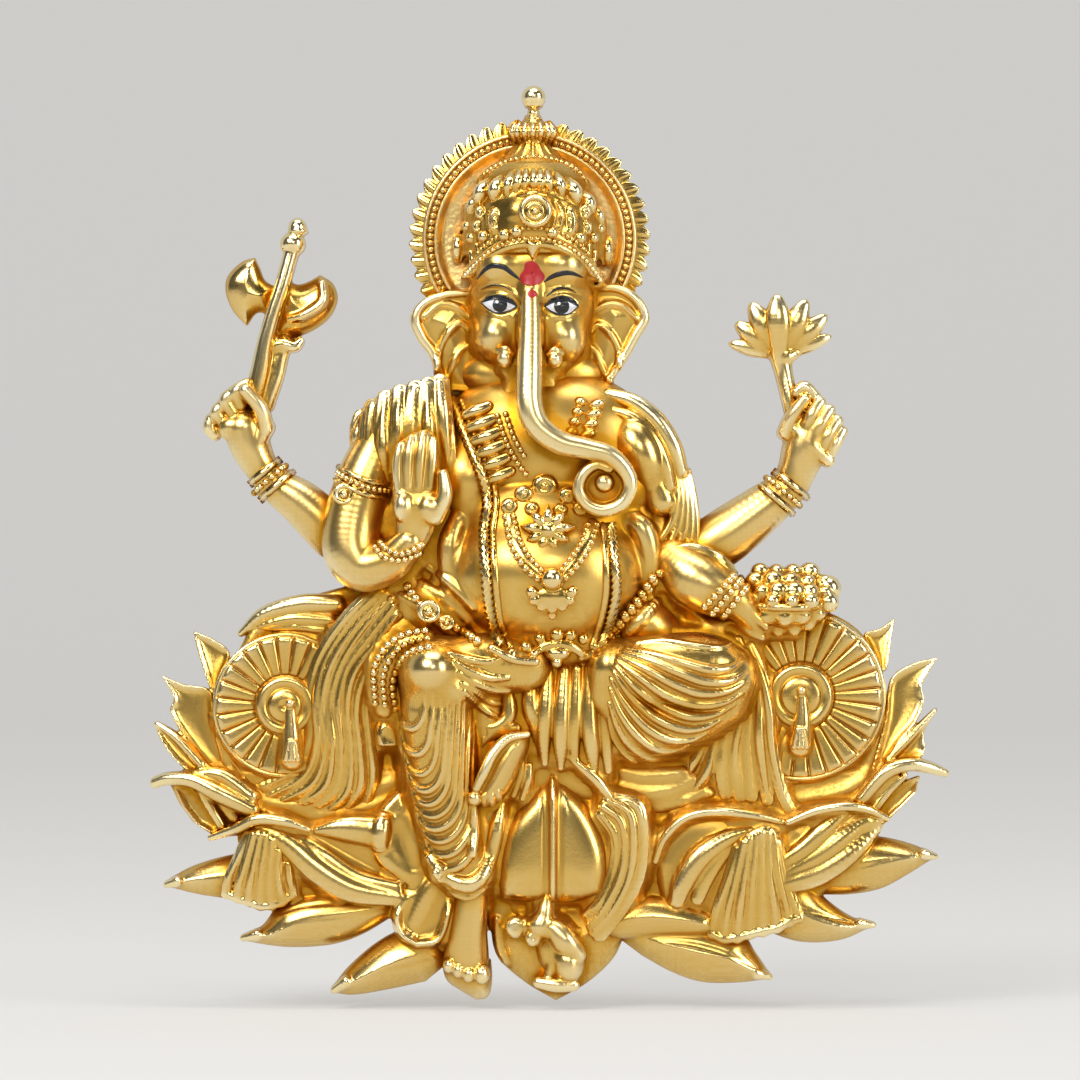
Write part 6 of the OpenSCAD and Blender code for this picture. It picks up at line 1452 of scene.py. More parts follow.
# Rear right arm: the forearm rises at the side to a fist round the axe shaft; two beaded
# bangles at the wrist. The arms lie low on the plate behind the shoulders.
rear_right_arm = Clay((-43.5, -25), (-2, 21), (-0.6, 8.6), 0.18)
rear_right_arm.stroke([(-26.4, 0.8, 3, 3), (-27.9, 2.5, 3, 3.1), (-30.6, 5, 2.9, 2.8), (-33.4, 7, 2.8, 2.3),
                       (-35.4, 9.2, 2.8, 2.1), (-36.9, 12, 2.8, 2.5), (-37.6, 14.2, 2.8, 2.6)], 0.5)
rear_right_arm.ball(-39.2, 14.5, 3.2, 1.9, 1.6, 1.7, 30, 0.25)
rear_right_arm.strokes([
    [(-41.4, 13.5, 2.8, 0.8), (-42, 14.4, 3, 0.85), (-41.8, 15.4, 3, 0.8)],
    [(-40.4, 15.2, 3.4, 0.8), (-41.1, 16.2, 3.6, 0.85), (-40.4, 17.2, 3.6, 0.8)],
    [(-39.1, 16.2, 3.8, 0.8), (-39.9, 17.8, 4, 0.9), (-38.6, 19, 4, 0.85)],
    [(-38.1, 17.2, 4, 0.8), (-38.6, 18.8, 4.4, 0.85), (-37.4, 19.8, 4.2, 0.75)],
    [(-34.9, 14.2, 4.4, 0.95), (-35.6, 16.8, 5, 0.95), (-37.4, 19, 5.2, 0.85)],
    [(-36.4, 12, 3.8, 1.3), (-34.9, 14.5, 4, 1.1)],
], 0.16)
rear_right_arm.cast("rear_arm_right", gilt_body)


def across(a, b, front, lift=0.2):
    """A line from one place to another over what stands between."""
    t = np.linspace(0, 1, 14)
    x, z = a[0] + (b[0] - a[0]) * t, a[1] + (b[1] - a[1]) * t
    return np.column_stack([x, z, np.maximum(front(x, z), 0.8) + lift])


rear_front = rear_right_arm.depth
beads("rear_bangle_right", [across((-36.5, 6.2), (-32.5, 9.6), rear_front, 0.25)], 0.42, ["rear_bangles"],
      0.95)
cord("rear_bangle_right_bands",
     [across((-37.1, 7.2), (-33.1, 10.5), rear_front, 0.15),
      across((-35.8, 5.2), (-31.6, 8.8), rear_front, 0.15)],
     0.52, ["rear_bangles"], 8, 0.0)

axe = Clay((-41.5, -25.5), (15, 41.5), (-0.6, 8), 0.15)
pillow(axe, leaf([(-36.4, 35.8), (-38.1, 35.2), (-39.8, 33.5), (-40.1, 31.5), (-39.2, 29.1), (-37.4, 27.1)],
                 [(-36.4, 28.6), (-35.4, 28.8), (-34.6, 27.8)], [(-33.6, 32)],
                 [(-35.1, 32.9), (-35.8, 34.5)]), 1, 1.6, 1)
pillow(axe, leaf([(-32.6, 33.2), (-31.1, 32.4), (-29.6, 32.8), (-28.2, 33.6)],
                 [(-26.6, 32.5), (-26, 30.6), (-26.8, 28.5), (-28.6, 26.9), (-31.1, 25.8), (-34.4, 25.2)],
                 [(-33.9, 30.2)]), 1, 2.2, 1.2)
axe.ball(-30.1, 30.6, 4, 1.6, 1.3, 0.7, 20, 0.6, cut=True, whole=True)
axe.stroke([(-32.1, 28, 2.6, 0.4), (-30.1, 28.5, 3.2, 0.6), (-27.9, 30.2, 3, 0.6), (-27.9, 32.5, 2.6, 0.4)],
           0.4)
axe.stroke([(-34.9, 23.8, 2.6, 0.8), (-33.1, 24.8, 3, 0.8), (-31.4, 24.5, 3, 0.7), (-30.6, 25.2, 2.8, 0.5)],
           0.3)
axe.stroke([(-34.1, 22, 2.4, 1.1), (-33.1, 23.8, 2.6, 0.8)], 0.4)
axe.stroke([(-31.8, 36.2, 3, 0.95), (-32.9, 32.2, 3.4, 0.9), (-34, 28.8, 3.6, 0.9), (-35, 25.2, 3.6, 1),
            (-35.6, 21.8, 3.4, 1.2), (-36.4, 18.2, 3.4, 1.2)], 0.25)
axe.stroke([(-32.6, 25.2, 2.4, 0.8), (-33.6, 21.2, 2.6, 1), (-34.9, 17.2, 2.8, 1)], 0.5)
axe.stroke([(-33.9, 25, 2.4, 1), (-34.6, 21.5, 2.4, 1.1), (-35.6, 17.5, 2.4, 1.1)], 0.6)
axe.ball(-31.6, 37.4, 2.6, 1.6, 1.5, 1.6, blend=0.25)
axe.ball(-31, 39.4, 2.6, 1.15, 1.3, 1.2, blend=0.25)
axe.ball(-30.9, 39, 2.6, 1.25, 0.5, 1.3, blend=0.2)
axe.cast("axe", gilt_ornament)

# Rear left arm: the mirror of the right, its fist closed on the stem of an open lotus whose
# thin petals fan out above the knuckles.
rear_left_arm = Clay((17, 38.5), (-6, 21), (-0.6, 8.6), 0.18)
rear_left_arm.stroke([(20.1, -1, 2.6, 3.5), (23.1, 1.1, 2.6, 3.5), (27.1, 4.1, 2.7, 3),
                      (30.4, 6.8, 2.7, 2.4), (31.6, 9, 2.8, 2.4), (32.6, 11.8, 2.8, 2.8),
                      (33.4, 14, 2.8, 2.7)], 0.5)
rear_left_arm.strokes([
    [(33.9, 18.2, 4, 0.75), (32.6, 19.5, 4, 0.75), (31.5, 18.8, 4, 0.7)],
    [(34.4, 17.5, 4.4, 0.85), (33.4, 16, 4.9, 0.85), (32.8, 14.6, 4.7, 0.75)],
    [(35.6, 16.5, 4.2, 0.85), (34.5, 14.8, 4.8, 0.85), (33.9, 13.4, 4.6, 0.75)],
    [(36.6, 15.2, 3.9, 0.82), (35.5, 13.5, 4.5, 0.82), (34.9, 12.1, 4.4, 0.72)],
    [(37.2, 13.9, 3.5, 0.78), (36.4, 12.4, 4, 0.78), (35.8, 11.2, 3.9, 0.7)],
    [(30.1, 13.8, 3.6, 1), (31, 15.8, 4.4, 0.95), (32.5, 17.9, 4.6, 0.8)],
    [(31.5, 14, 4.2, 0.9), (33.4, 12, 4.6, 0.95), (35.5, 10.2, 3.8, 0.85)],
], 0.16)
rear_left_arm.cast("rear_arm_left", gilt_body)
left_front = rear_left_arm.depth
beads("rear_bangle_left", [across((27.8, 8.1), (32, 4.6), left_front, 0.25)], 0.42, ["rear_bangles"], 0.95)
cord("rear_bangle_left_bands",
     [across((28.6, 9), (32.9, 5.6), left_front, 0.15), across((27, 7.1), (31.1, 3.6), left_front, 0.15)],
     0.52, ["rear_bangles"], 8, 0.0)

flower = Clay((22, 37.5), (14, 32), (-0.6, 7), 0.14)
flower_root = (29.4, 23.5)
for tip, half, out in (
    ((23.1, 25), 1, 2), ((36, 25.9), 1, 2), ((24, 27.5), 1.35, 2.2), ((35.4, 28.5), 1.35, 2.2),
    ((25.9, 30), 1.5, 2.6), ((32.8, 30.4), 1.5, 2.6), ((29.1, 31), 1.6, 3.2),
):
    way = np.subtract(flower_root, tip)
    rows = [
        (tip[0] + way[0] * t, tip[1] + way[1] * t, out + lift, half * w)
        for t, lift, w in ((0.02, -0.2, 0.2), (0.14, 0.1, 0.62), (0.42, 0.3, 1), (0.75, 0.1, 0.8),
                           (1, -0.2, 0.5))
    ]
    flower.stroke(rows, 0.05, tall=0.6)
flower.strokes([
    [(27.9, 24, 2, 0.5), (30, 23.2, 2.6, 1), (32.1, 24.1, 2, 0.5)],
    [(29.4, 24, 2.2, 1.4), (30, 21.2, 2.4, 1.15), (30.6, 18.2, 3, 1), (30.9, 16, 3.2, 0.8)],
    [(28.9, 23.8, 2.2, 0.5), (29.6, 22, 2.6, 0.45)],
], 0.3)
flower.cast("lotus_flower", gilt_petal)

# Front left arm: bent forward from under the shawl to hold a bowl of round sweets, with a
# broad beaded bangle at the wrist.
left_arm = Clay((13, 28), (-13, 2), (-0.6, 12.5), 0.2)
left_arm.stroke([(15.9, -2.2, 5, 3), (18.6, -4.5, 6.4, 3.6), (21.1, -6, 7, 3.2), (23.6, -7.2, 7, 2.4),
                 (25.4, -9, 6.4, 1.8), (26.4, -10.8, 5.8, 1.2)], 0.5)
left_arm.strokes([
    [(24.9, -7.5, 7.4, 0.8), (26.1, -9.2, 7.4, 0.7), (27.6, -10.5, 7, 0.55)],
    [(24.1, -9.2, 6.6, 0.8), (25.4, -11, 6.4, 0.7), (27.1, -11.8, 6, 0.55)],
], 0.2)
left_arm.cast("front_arm_left", gilt_body)
fore_front = left_arm.depth
beads("front_bangle_left",
      [across((24.6, -4.5), (20.9, -8.8), fore_front), across((23.8, -3.9), (19.9, -8), fore_front),
       across((25.5, -5.2), (22, -9.5), fore_front)], 0.5, ["front_bangle_left"])

bowl = Clay((22, 38), (-12.5, -3), (-0.6, 12.5), 0.15)
bowl.ball(29.9, -8.5, 3, 5.6, 3, 5.4)
bowl.stroke([(24.5, -7.5, 4.4, 0.45), (26.9, -8, 7.6, 0.5), (30.1, -8.1, 8.6, 0.5), (33.4, -8, 7.6, 0.5),
             (35.9, -7.2, 4.4, 0.45)], 0.1)
for x, z, r in ((25.9, -9, 0.95), (27.6, -9.2, 1.05), (29.9, -9.4, 1.1), (32.1, -9.2, 1.05),
                (34.1, -8.9, 0.95), (27.4, -10.5, 0.9), (29.1, -10.9, 0.95), (31.1, -10.8, 0.95),
                (32.9, -10.2, 0.85)):
    bowl.ball(x, z, float(bowl.depth(x, z)) - 0.5, r, r, 0.9, blend=0.5)
bowl.cast("bowl", gilt_ornament)
sweet = Clay((23, 38.5), (-9, -1.5), (-0.6, 12), 0.13)
bowl_mid = 30.4
sweet.ball(bowl_mid, -6.5, 2.6, 5.6, 3.2, 5.4)
for row, (z, half, d, count) in enumerate(((-3.6, 3.4, 4.8, 4), (-4.8, 4.6, 6.6, 5), (-6.1, 5.2, 7.8, 6),
                                           (-7.3, 5, 8.6, 5))):
    for k in range(count):
        x = bowl_mid + half * (2 * (k + 0.3 * (row % 2)) / (count - 0.7) - 1)
        bend = 1 - ((x - bowl_mid) / 6.6) ** 2
        r = 1.18 + 0.2 * math.sin(5.1 * k + 2.3 * row)
        sweet.ball(x, z - 0.3 * (1 - bend), 1 + (d - 1.2) * math.sqrt(max(bend, 0.05)), r, 0.95 * r, 1.1,
                   blend=0.35)
sweet.ball(35.5, -5.8, 4.6, 1.6, 1.7, 1.7, blend=0.06)
sweet.cast("sweets", gilt_ornament, floor=1)

# Shawls: a pleated cloth over the right shoulder, and a band and twisted folds over the left
# one that run down behind the waist.
folds("shawl_right", (-24.5, -10.5), (6, 21.5), [
    [(-22.8, 15.5, 5.4), (-23.4, 13.2, 5.6), (-23.1, 11, 5.4), (-22.1, 9.2, 5)],
    [(-21.4, 16.8, 6.4), (-21.9, 14, 7), (-21.8, 11, 7), (-20.9, 8.2, 6.4)],
    [(-19.8, 17.8, 7.2), (-20.1, 14.8, 8), (-20, 11.2, 8.2), (-19.5, 7.5, 7.4)],
    [(-18, 18.5, 7.6), (-18.2, 15.5, 8.6), (-18.2, 12.5, 9), (-18, 9, 8.4)],
    [(-16.2, 19, 7.8), (-16.4, 16.2, 8.8), (-16.4, 13.2, 9.2), (-16.2, 9, 8.6)],
    [(-14.6, 19.4, 7.8), (-14.5, 16.8, 8.8), (-14.4, 13.8, 9.2), (-14.4, 9.5, 8.6)],
    [(-13.1, 19.8, 7.4), (-12.8, 16.8, 8.4), (-12.4, 13.2, 8.8), (-11.9, 9, 8.4)],
], 0.78, deep=12, blend=0.25, wobble=0.25)
shawl = Clay((6.5, 24), (-6, 20.5), (-0.6, 12), 0.2)
shawl.ball(11.9, 11.2, 5.6, 3.2, 5, 3.6, 24, 0.5)
shawl.stroke([(13.4, 7.8, 5.6, 2), (14.6, 5.2, 5.6, 2)], 0.6)
shawl.strokes([
    [(7.9, 18.5, 5.4, 0.8), (11.1, 17.5, 5.8, 1.1), (13.9, 15.2, 6, 1.3), (15.9, 12, 6, 1.3),
     (16.9, 9, 5.6, 1.1)],
    [(8.4, 16.5, 6.4, 0.6), (11.1, 15.5, 6.8, 0.8), (13.4, 13.2, 7, 0.9), (14.9, 10, 7, 0.9),
     (15.6, 7, 6.6, 0.8)],
], 0.2)
for k in range(5):
    low = 0.2 * k
    shawl.stroke([(15.4 + 0.63 * k, 10 - 0.25 * k, 6 - low, 0.42),
                  (16.4 + 0.56 * k, 6.3 - 0.25 * k, 6.2 - low, 0.5),
                  (15.9 + 0.75 * k, 2.8 - 0.5 * k, 6.2 - low, 0.5),
                  (13.9 + 1.13 * k, -0.5 - 0.75 * k, 6.4 - low, 0.45),
                  (12.6 + 1.38 * k, -3 - 0.75 * k, 6 - low, 0.35)], 0.15)
for k in range(4):
    shawl.stroke([(15.4 + 0.38 * k, -0.8 - 0.63 * k, 7, 0.3), (18.4 + 0.38 * k, -0.5 - 0.75 * k, 7.4, 0.5),
                  (21.4 + 0.38 * k, -1.5 - 0.75 * k, 7, 0.5), (23.4 + 0.25 * k, -3 - 0.63 * k, 6, 0.35)],
                 0.15)
shawl.cast("shawl_left", gilt_cloth)

# Jewellery on the body: a ribbed collar, bead strings, a long necklace with a sunburst and a
# pendant, the sacred thread, and the jewelled belt with garlands over the hips.


def body_front(x, z):
    """How far the body stands out, with the thigh on it below the waist."""
    thigh = right_leg.depth(x, z) * (np.asarray(x) < 0) * (np.asarray(z) < -11)
    return np.maximum(np.maximum(torso.depth(x, z), thigh), 0)


def strip(clay, line, lift, radius, blend, tall=1.0):
    """A rounded strip laid on the body along a line of x and z."""
    p = on(body_front, line, lift)
    clay.stroke(np.column_stack([p, np.full(len(p), radius)])[::4], blend, tall)


cord("sacred_thread", [
    on(body_front, [(-11.6, 17.8), (-9.6, 12.8), (-8.1, 9), (-7.1, 5.2), (-7.5, 1.5), (-7.2, -4.8),
                    (-6.6, -9.8), (-5.4, -12.9)], 0.45),
    on(body_front, [(8.1, 2.5), (8.5, -1), (8.8, -6), (8, -9.8), (7, -12.9)], 0.45)], 0.8,
     ["sacred_thread"], 5, 1500.0)
band = Clay((-12, 11), (-15, 21), (-0.6, 16), 0.2)
for line in ([(-10.6, 18), (-8.5, 12.8), (-7, 9), (-6, 5.2), (-6.4, 1.5), (-6.1, -4.8), (-5.5, -9.8),
              (-4.4, -12.9)],
             [(7.2, 2.1), (7.5, -1), (7.6, -6), (6.9, -9.8), (5.9, -12.9)]):
    strip(band, line, 0, 0.5, 0.15)
band.cast("thread_band", gilt_ornament, ["sacred_thread"], 5)
collar_right, collar_left = (-9.4, 17), (6.4, 17.2)
collar = Clay((-11, 10), (4, 20), (-0.6, 14), 0.15)
for k in range(6):
    x, z = collar_right[0] + 0.95 + 0.56 * k, collar_right[1] - 0.6 - 1.62 * k
    d = float(body_front(x, z))
    collar.stroke([(x - 1.4, z - 0.5, d + 0.2, 0.72), (x, z, d + 0.5, 0.84),
                   (x + 1.4, z + 0.6, d + 0.3, 0.74)], 0.2)
for k in range(5):
    t = k / 4
    x, z = collar_left[0] - 1.4 * t, collar_left[1] - 5 * t
    d = float(body_front(x, z))
    collar.ball(x, z, d, 1.2, 0.7, 0.9, 20, blend=0.15)
    collar.ball(x - 2, z + 0.3, d, 0.9, 0.7, 0.9, blend=0.15)
collar.cast("collar_necklace", gilt_ornament, floor=4)
beads("collar_beads", [on(body_front, [(-5.9, 15.8), (-4.9, 12.8), (-3.6, 10.2), (-2.4, 8.5)], 0.3),
                       on(body_front, [(-4.9, 16), (-3.9, 13.2), (-2.6, 10.8)], 0.3)],
      0.42, ["collar_necklace"])
chain = [[(-4.9, 3.2), (-4.1, -0.4), (-2.4, -3.2), (-0.1, -5)],
         [(6.4, 2.2), (5.4, -0.8), (3.9, -3), (1.9, -5)]]
inner = [[(-3.9, 3.2), (-3.1, 0.2), (-1.6, -2.2), (0.1, -4)],
         [(5.4, 2.2), (4.4, -0.4), (3, -2.2), (1.6, -4)]]
beads("long_necklace", [on(body_front, line, 0.3) for line in chain], 0.5, ["long_necklace"])
beads("long_necklace_inner", [on(body_front, line, 0.3) for line in inner], 0.42, ["long_necklace"])
gem = Clay((-6, 7), (-11, 9.5), (4, 17), 0.14)
for line in ([(-4.4, 3.2), (-3.6, -0.1), (-2, -2.8), (0, -4.5)],
             [(5.9, 2.2), (4.9, -0.6), (3.4, -2.6), (1.8, -4.5)]):
    strip(gem, line, 0, 0.85, 0.1, 0.5)
sun = (0.4, 1.5)
sun_d = float(body_front(*sun))
for k in range(9):
    a = 2 * math.pi * (k + 0.25) / 9
    c, n = math.cos(a), math.sin(a)
    gem.stroke([(sun[0] + 0.9 * c, sun[1] + 0.9 * n, sun_d + 0.7, 0.5),
                (sun[0] + 2 * c, sun[1] + 1.9 * n, sun_d + 0.7, 0.62),
                (sun[0] + 3.4 * c, sun[1] + 3.1 * n, sun_d + 0.1, 0.12)], 0.08)
gem.ball(*sun, sun_d + 0.5, 1.2, 1.2, 1.1, blend=0.1)
for x, z, r in ((0, 7, 1.7), (-2.6, 6, 1.25), (2.8, 5.8, 1.25), (-4.4, 4.5, 1.15), (4.4, 4.2, 1.1),
                (-1.6, 4.2, 1), (1.9, 4, 1)):
    d = float(body_front(x, z))
    gem.ball(x, z, d, r, 0.92 * r, 0.9, blend=0.2)
    gem.ball(x, z, d + 1, 0.62 * r, 0.58 * r, 0.4, blend=0.2, cut=True, whole=True)
    gem.ball(x, z, d, 0.34 * r, 0.34 * r, 0.9, blend=0.1)
drop = (0.9, -4.5)
drop_d = float(body_front(*drop))
gem.ball(*drop, drop_d + 0.4, 1.4, 1.4, 1.3, blend=0.08)
for k in range(7):
    a = math.radians(180 + 30 * k)
    x, z = drop[0] + 2.5 * math.cos(a), drop[1] - 1.6 + 2 * math.sin(a)
    gem.ball(x, z, float(body_front(x, z)) + 0.1, 0.75, 0.75, 0.7, blend=0.12)
gem.ball(drop[0], drop[1] - 2.2, float(body_front(drop[0], drop[1] - 2.2)), 2.1, 1.5, 0.7, blend=0.3)
gem.ball(drop[0], drop[1] - 4.4, float(body_front(drop[0], drop[1] - 4.4)), 0.6, 0.7, 0.6, blend=0.2)
gem.cast("pendants", gilt_ornament, floor=5)
belt = Clay((-9, 10), (-18, -9), (2, 14), 0.14)
for x, z, r in ((-0.6, -11.9, 0.75), (1.5, -11.4, 0.9), (3.2, -11.5, 0.8), (4.8, -12, 0.75),
                (-2.4, -13, 0.8), (-4.1, -13.8, 0.7), (6.4, -13, 0.7)):
    belt.ball(x, z, float(body_front(x, z)) + 0.1, r, r, r, blend=0.1)
strip(belt, [(-1.4, -13.8), (0, -12.9), (1.6, -12.6), (3.2, -12.9), (4.6, -13.8)], 0.3, 0.6, 0.15)
strip(belt, [(-6.6, -13.2), (-3.8, -14.5), (-1.2, -14.8)], 0.2, 0.6, 0.15)
strip(belt, [(4.6, -14.2), (6.4, -13.8), (7.9, -12.8)], 0.2, 0.6, 0.15)
belt.ball(1.6, -13.8, 9, 1.7, 1, 1.4, blend=0.2)
belt.ball(1.5, -14.9, 9.4, 0.7, 0.7, 0.8, blend=0.1)
belt.cast("belt", gilt_ornament, floor=3)
hip = [[(-17.1, -5.5), (-15.9, -7.2), (-14.4, -8.8), (-12.1, -10), (-8.4, -12.2)],
       [(7.4, -12.5), (9.6, -9.5), (11.6, -7.2), (13.4, -4.5)]]
beads("hip_garland", [on(body_front, hip[0], 0.6), on(body_front, hip[1], 0.5),
                      on(body_front, [(x + 0.9, z + 0.6) for x, z in hip[1]], 0.3)], 0.62, ["hip_garland"],
      1.1)
for x, z, r in ((-14.4, -8.6, 1.5), (-12.2, -10, 1.0)):
    d = float(body_front(x, z))
    lathe("hip_rosette", (x, z), [
        (0, d - 3), (r, d - 3), (r, d + 0.9), (r * 0.86, d + 1.2), (r * 0.66, d + 1.2),
        (r * 0.52, d + 0.9), (r * 0.4, d + 1), (r * 0.25, d + 1.4), (0.02, d + 1.5),
    ], gilt_ornament, ["hip_garland"], 40)
knee_lines = [[(-14.9, -11), (-17.6, -11.5), (-19.9, -13.2), (-21.2, -16), (-21.1, -20)],
              [(-14.6, -12), (-17.1, -12.5), (-19, -14.2), (-20.1, -16.8), (-19.9, -20.2)],
              [(-14.4, -13), (-16.6, -13.6), (-18.1, -15.2), (-19, -17.8), (-18.6, -20.8)]]
knee = Clay((-23.5, -13), (-25.5, -9), (-0.6, 15), 0.18)
knee.stroke([(-15.1, -12.2, 9, 1.6), (-17.9, -13.2, 8.4, 1.8), (-19.9, -16.2, 7.2, 1.8),
             (-19.9, -20.5, 5.6, 1.6)], 0.5)
knee.ball(-19.6, -24.5, 4.2, 1.8, 3, 2.2, 12, 0.1)
knee.ball(-19.6, -24.5, 6.7, 1.1, 2.2, 0.8, 12, 0.1, cut=True, whole=True)
knee.cast("knee_band", gilt_ornament)


def knee_top(x, z):
    """How far the knee stands out, with its band on it."""
    return np.maximum(knee.depth(x, z), right_leg.depth(x, z))


beads("knee_beads", [on(knee_top, line, 0.2) for line in knee_lines], 0.52, ["knee_band"])

# Ground web: the solder that runs between the castings and binds them to the plate. It fills
# the cracks to a soft fillet a little below whatever stands on both sides.
step = 0.25
grid_lo = np.array([-53.0, -61.0])
size = (int(106 / step), int(122 / step))


def depth_map(pieces):
    """How far the pieces stand out over a grid, from points spread on their faces."""
    relief = np.zeros(size)
    for made in pieces:
        made.data.calc_loop_triangles()
        corner = np.empty(len(made.data.loop_triangles) * 3, np.int32)
        made.data.loop_triangles.foreach_get("vertices", corner)
        co = np.empty(len(made.data.vertices) * 3, np.float32)
        made.data.vertices.foreach_get("co", co)
        co = co.reshape(-1, 3) * 1000
        tri = co[corner.reshape(-1, 3)]
        longest = np.linalg.norm(tri - np.roll(tri, 1, 1), axis=2).max(1)
        count = np.clip(np.ceil(longest / step), 1, 120).astype(int)
        for n in np.unique(count):
            some = tri[count == n]
            for i in range(n + 1):
                for j in range(n + 1 - i):
                    p = (some[:, 0] * i + some[:, 1] * j + some[:, 2] * (n - i - j)) / n
                    cell = np.clip(((p[:, [0, 2]] - grid_lo) / step).astype(int), 0, np.array(size) - 1)
                    np.maximum.at(relief, (cell[:, 0], cell[:, 1]), -p[:, 1] - plate_front)
    return relief


def bridged(field, bend):
    """A field with its valleys filled to a curve of the given radius."""
    for best, way in ((np.maximum, -1), (np.minimum, 1)):
        for k in (0, 1):
            made = field
            for n in range(1, 14):
                for turn in (-n, n):
                    made = best(made, np.roll(field, turn, k) + way * (n * step) ** 2 / (2 * bend))
            field = made
    return field


def softened(field, reach):
    """A field averaged over a reach of cells, three times over."""
    for _ in range(3):
        for k in (0, 1):
            pad = [(0, 0), (0, 0)]
            pad[k] = (reach + 1, reach)
            total = np.cumsum(np.pad(field, pad, mode="edge"), k)
            n, window = field.shape[k], 2 * reach + 1
            field = (np.take(total, range(window, n + window), k) - np.take(total, range(n), k)) / window
    return field


def spread(covered, best):
    """The covered ground one cell larger or smaller all round."""
    for k in (0, 1):
        covered = best(covered, best(np.roll(covered, 1, k), np.roll(covered, -1, k)))
    return covered


def inset(covered):
    """How far the covered ground reaches in from its outline."""
    far = np.zeros(size)
    for _ in range(24):
        far += step * covered
        covered = spread(covered, np.logical_and)
    return far


bare, none = 0.3, -1
crack_bend, sunk, wall, shy = 0.35, 0.55, 1.3, 0.8
relief = depth_map(cast_pieces)
fill = np.minimum(softened(bridged(relief, crack_bend) - sunk, 1), wall * inset(relief > bare) - shy)
from_halo = np.hypot(*((np.indices(size) + 0.5) * step + (grid_lo - halo)[:, None, None]))
halo_open = 2.6
fill[(from_halo < ring_radius) & (relief < halo_open)] = none
web = Clay((-52, 52), (-60, 60), (-0.6, 16), 0.4)
u = np.clip(((web.axes[0] - grid_lo[0]) / step).astype(int), 0, size[0] - 1)
v = np.clip(((web.axes[1] - grid_lo[1]) / step).astype(int), 0, size[1] - 1)
height = np.maximum(fill[np.ix_(u, v)], none)
slope = np.sqrt(1 + sum(np.minimum(g * g, 9) for g in np.gradient(height, web.grain)))
web.field = ((web.axes[2][None, None, :] - height[:, :, None]) / slope[:, :, None]).astype(np.float32)
web.cast("ground_web", gilt_ground, ["seat_block"], 0.15)

# Back of the plate: the flat side of the casting, dressed on a stone. It stops a little short of
# the outline all round, with its edge eased, so that it doesn't show from the front.
back = Clay((-52, 52), (-60, 60), (-2.8, 1.2), 0.4)
outside = np.pad(np.zeros((size[0] - 2, size[1] - 2), bool), 1, constant_values=True)
for _ in range(500):
    outside = spread(outside, np.logical_or) & (relief <= bare)
short, mid_plane, half_thick, edge_round = 0.95, 0.85, 0.65, 0.5
rim = short - softened(np.minimum(inset(~outside), 4), 1)[np.ix_(u, v)][:, :, None]
face = np.abs(back.axes[2] + mid_plane)[None, None, :] - half_thick
beyond = np.hypot(np.maximum(rim, 0), np.maximum(face, 0))
back.field = (beyond + np.minimum(np.maximum(rim, face), 0) - edge_round).astype(np.float32)
back.cast("back_plate", gilt_ground, floor=-2)

# Gilding: plated all over, with painted light on it: the open crests get a painted highlight and the hollows
# get a painted shade in a deep warm tone.
# How much painted shade a place gets follows from how far it lies below what is round it and how far it faces
# away from the front.
relief = depth_map(cast_pieces)
places = []
for made in cast_pieces:
    co = np.empty(len(made.data.vertices) * 3, np.float32)
    made.data.vertices.foreach_get("co", co)
    co = co.reshape(-1, 3) * 1000
    cell = np.clip(((co[:, [0, 2]] - grid_lo) / step).astype(int), 0, np.array(size) - 1)
    normal = np.empty(len(made.data.vertices) * 3, np.float32)
    made.data.vertex_normals.foreach_get("vector", normal)
    # Walls that face away from the front get painted shade too.
    places.append((made, cell, -co[:, 1] - plate_front, np.clip(0.75 + normal[1::3], 0, 1)))
near, wide = softened(relief, 2), softened(relief, 7)
near_depth, wide_depth = 0.8, 2.2
for made, cell, out, steep in places:
    here = (cell[:, 0], cell[:, 1])
    below = 0.9 * (near[here] - out) / near_depth + 0.55 * (wide[here] - out) / wide_depth + 0.6 * steep
    # The halo disc gets no painted shade and an even painted highlight all over.
    if "halo_disc" in made.name:
        below = np.minimum(below, 0) - 0.4
    if "back_plate" in made.name:
        below = np.zeros(len(out))
    for label, value in (("hollow", np.clip(below, 0, 1)), ("crest", np.clip(-below * 0.8, 0, 0.9))):
        mark = made.data.attributes.new(label, "FLOAT", "POINT")
        mark.data.foreach_set("value", value.astype(np.float32))

# Studio: a pale floor and surround, broad soft lamps and a dark card behind the camera that
# gives the gold something to reflect.
floor_mesh = bpy.data.meshes.new("floor")
reach, level, sweep, flat_to, wall_top = 6, -0.0585, 1.2, 1.4, 5
profile = [(-reach, level)]
for a in np.linspace(0, math.pi / 2, 25):
    profile.append((flat_to + sweep * math.sin(a), level + sweep * (1 - math.cos(a))))
profile.append((flat_to + sweep, wall_top))
floor_mesh.from_pydata([(x, y, z) for y, z in profile for x in (-reach, reach)], [],
                       [(2 * k, 2 * k + 1, 2 * k + 3, 2 * k + 2) for k in range(len(profile) - 1)])
floor_mesh.shade_smooth()
floor_paint = bpy.data.materials.new("floor")
floor_paint.use_nodes = True
paint = floor_paint.node_tree
paint.nodes["Principled BSDF"].inputs["Base Color"].default_value = (0.66, 0.65, 0.63, 1)
paint.nodes["Principled BSDF"].inputs["Roughness"].default_value = 0.8
evenly = paint.nodes.new("ShaderNodeEmission")
evenly.inputs["Color"].default_value = (0.78, 0.77, 0.75, 1)
ray = paint.nodes.new("ShaderNodeLightPath")
seen = ray.outputs["Is Camera Ray"]
for other in ("Is Glossy Ray", "Is Transmission Ray"):
    seen = maths(paint, "MAXIMUM", seen, ray.outputs[other])
even_share = 0.55
both = paint.nodes.new("ShaderNodeMixShader")
paint.links.new(maths(paint, "MULTIPLY", seen, even_share), both.inputs[0])
paint.links.new(paint.nodes["Principled BSDF"].outputs[0], both.inputs[1])
paint.links.new(evenly.outputs[0], both.inputs[2])
paint.links.new(both.outputs[0], paint.nodes["Material Output"].inputs["Surface"])
floor_mesh.materials.append(floor_paint)
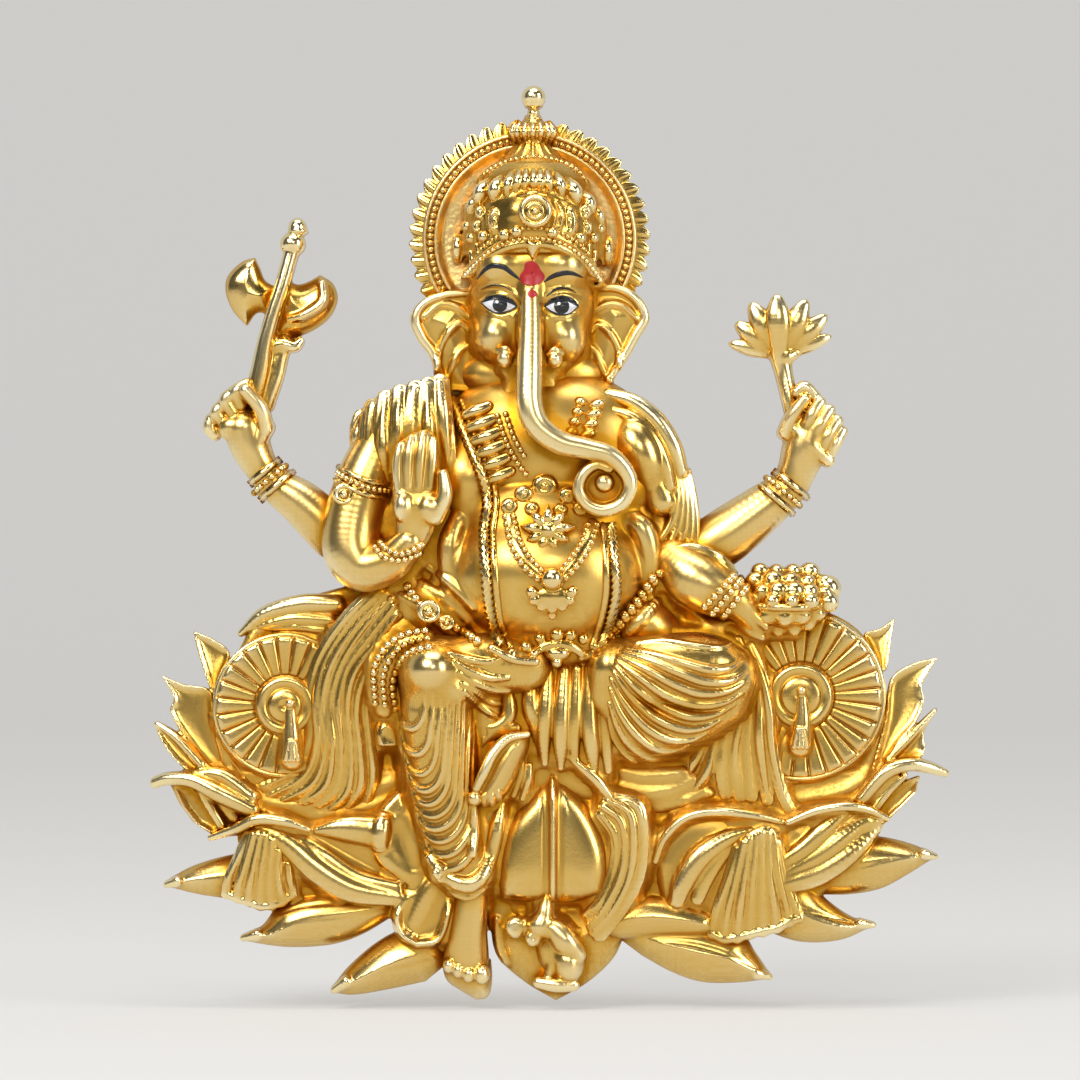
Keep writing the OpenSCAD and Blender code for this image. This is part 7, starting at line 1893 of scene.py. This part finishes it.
floor = bpy.data.objects.new("floor", floor_mesh)
card_mesh = bpy.data.meshes.new("dark_card")
near_y, far_y, half_w, top_z = 0.05, -1.3, 0.95, 1.1
card_mesh.from_pydata(
    [(-half_w, near_y, level), (-half_w, far_y, level), (half_w, far_y, level), (half_w, near_y, level),
     (-half_w, near_y, top_z), (-half_w, far_y, top_z), (half_w, far_y, top_z), (half_w, near_y, top_z)],
    [], [(0, 1, 5, 4), (1, 2, 6, 5), (2, 3, 7, 6), (4, 5, 6, 7)])
card_paint = bpy.data.materials.new("dark_card")
card_paint.use_nodes = True
card_paint.node_tree.nodes["Principled BSDF"].inputs["Base Color"].default_value = (0.03, 0.028, 0.025, 1)
card_mesh.materials.append(card_paint)
card = bpy.data.objects.new("dark_card", card_mesh)
card.visible_camera = False
for made in (floor, card):
    bpy.context.scene.collection.objects.link(made)


def lamp(name, at, wide, high, watts):
    """A soft box aimed at the middle of the figure."""
    light = bpy.data.lights.new(name, "AREA")
    light.shape = "RECTANGLE"
    light.size, light.size_y = wide, high
    light.energy = watts
    made = bpy.data.objects.new(name, light)
    made.location = at
    made.rotation_euler = (Vector((0, -0.005, 0)) - Vector(at)).to_track_quat("-Z", "Y").to_euler()
    bpy.context.scene.collection.objects.link(made)


lamp("key", (-0.42, -0.75, 0.58), 0.5, 0.4, 8.5)
lamp("front", (0.1, -1.0, 0.36), 0.22, 0.14, 1.6)
lamp("side", (0.7, -0.5, 0.25), 0.25, 0.5, 3.5)
lamp("top", (0.0, -0.2, 0.8), 0.7, 0.3, 4)
studio = bpy.data.worlds.new("studio")
bpy.context.scene.world = studio
studio.use_nodes = True
studio.node_tree.nodes["Background"].inputs["Color"].default_value = (0.8, 0.8, 0.79, 1)
studio.node_tree.nodes["Background"].inputs["Strength"].default_value = 0.75

lens = bpy.data.cameras.new("camera")
lens.sensor_width = 36
stand_off, view_width = 0.9, 0.135
lens.lens = lens.sensor_width * stand_off / view_width
camera = bpy.data.objects.new("camera", lens)
camera.location = (-0.0006, -0.007 - stand_off, 0.0003)
camera.rotation_euler = (math.radians(90), 0, 0)
lens.clip_start, lens.clip_end = 0.01, 50
bpy.context.scene.collection.objects.link(camera)
bpy.context.scene.camera = camera
bpy.context.scene.view_settings.view_transform = "Standard"
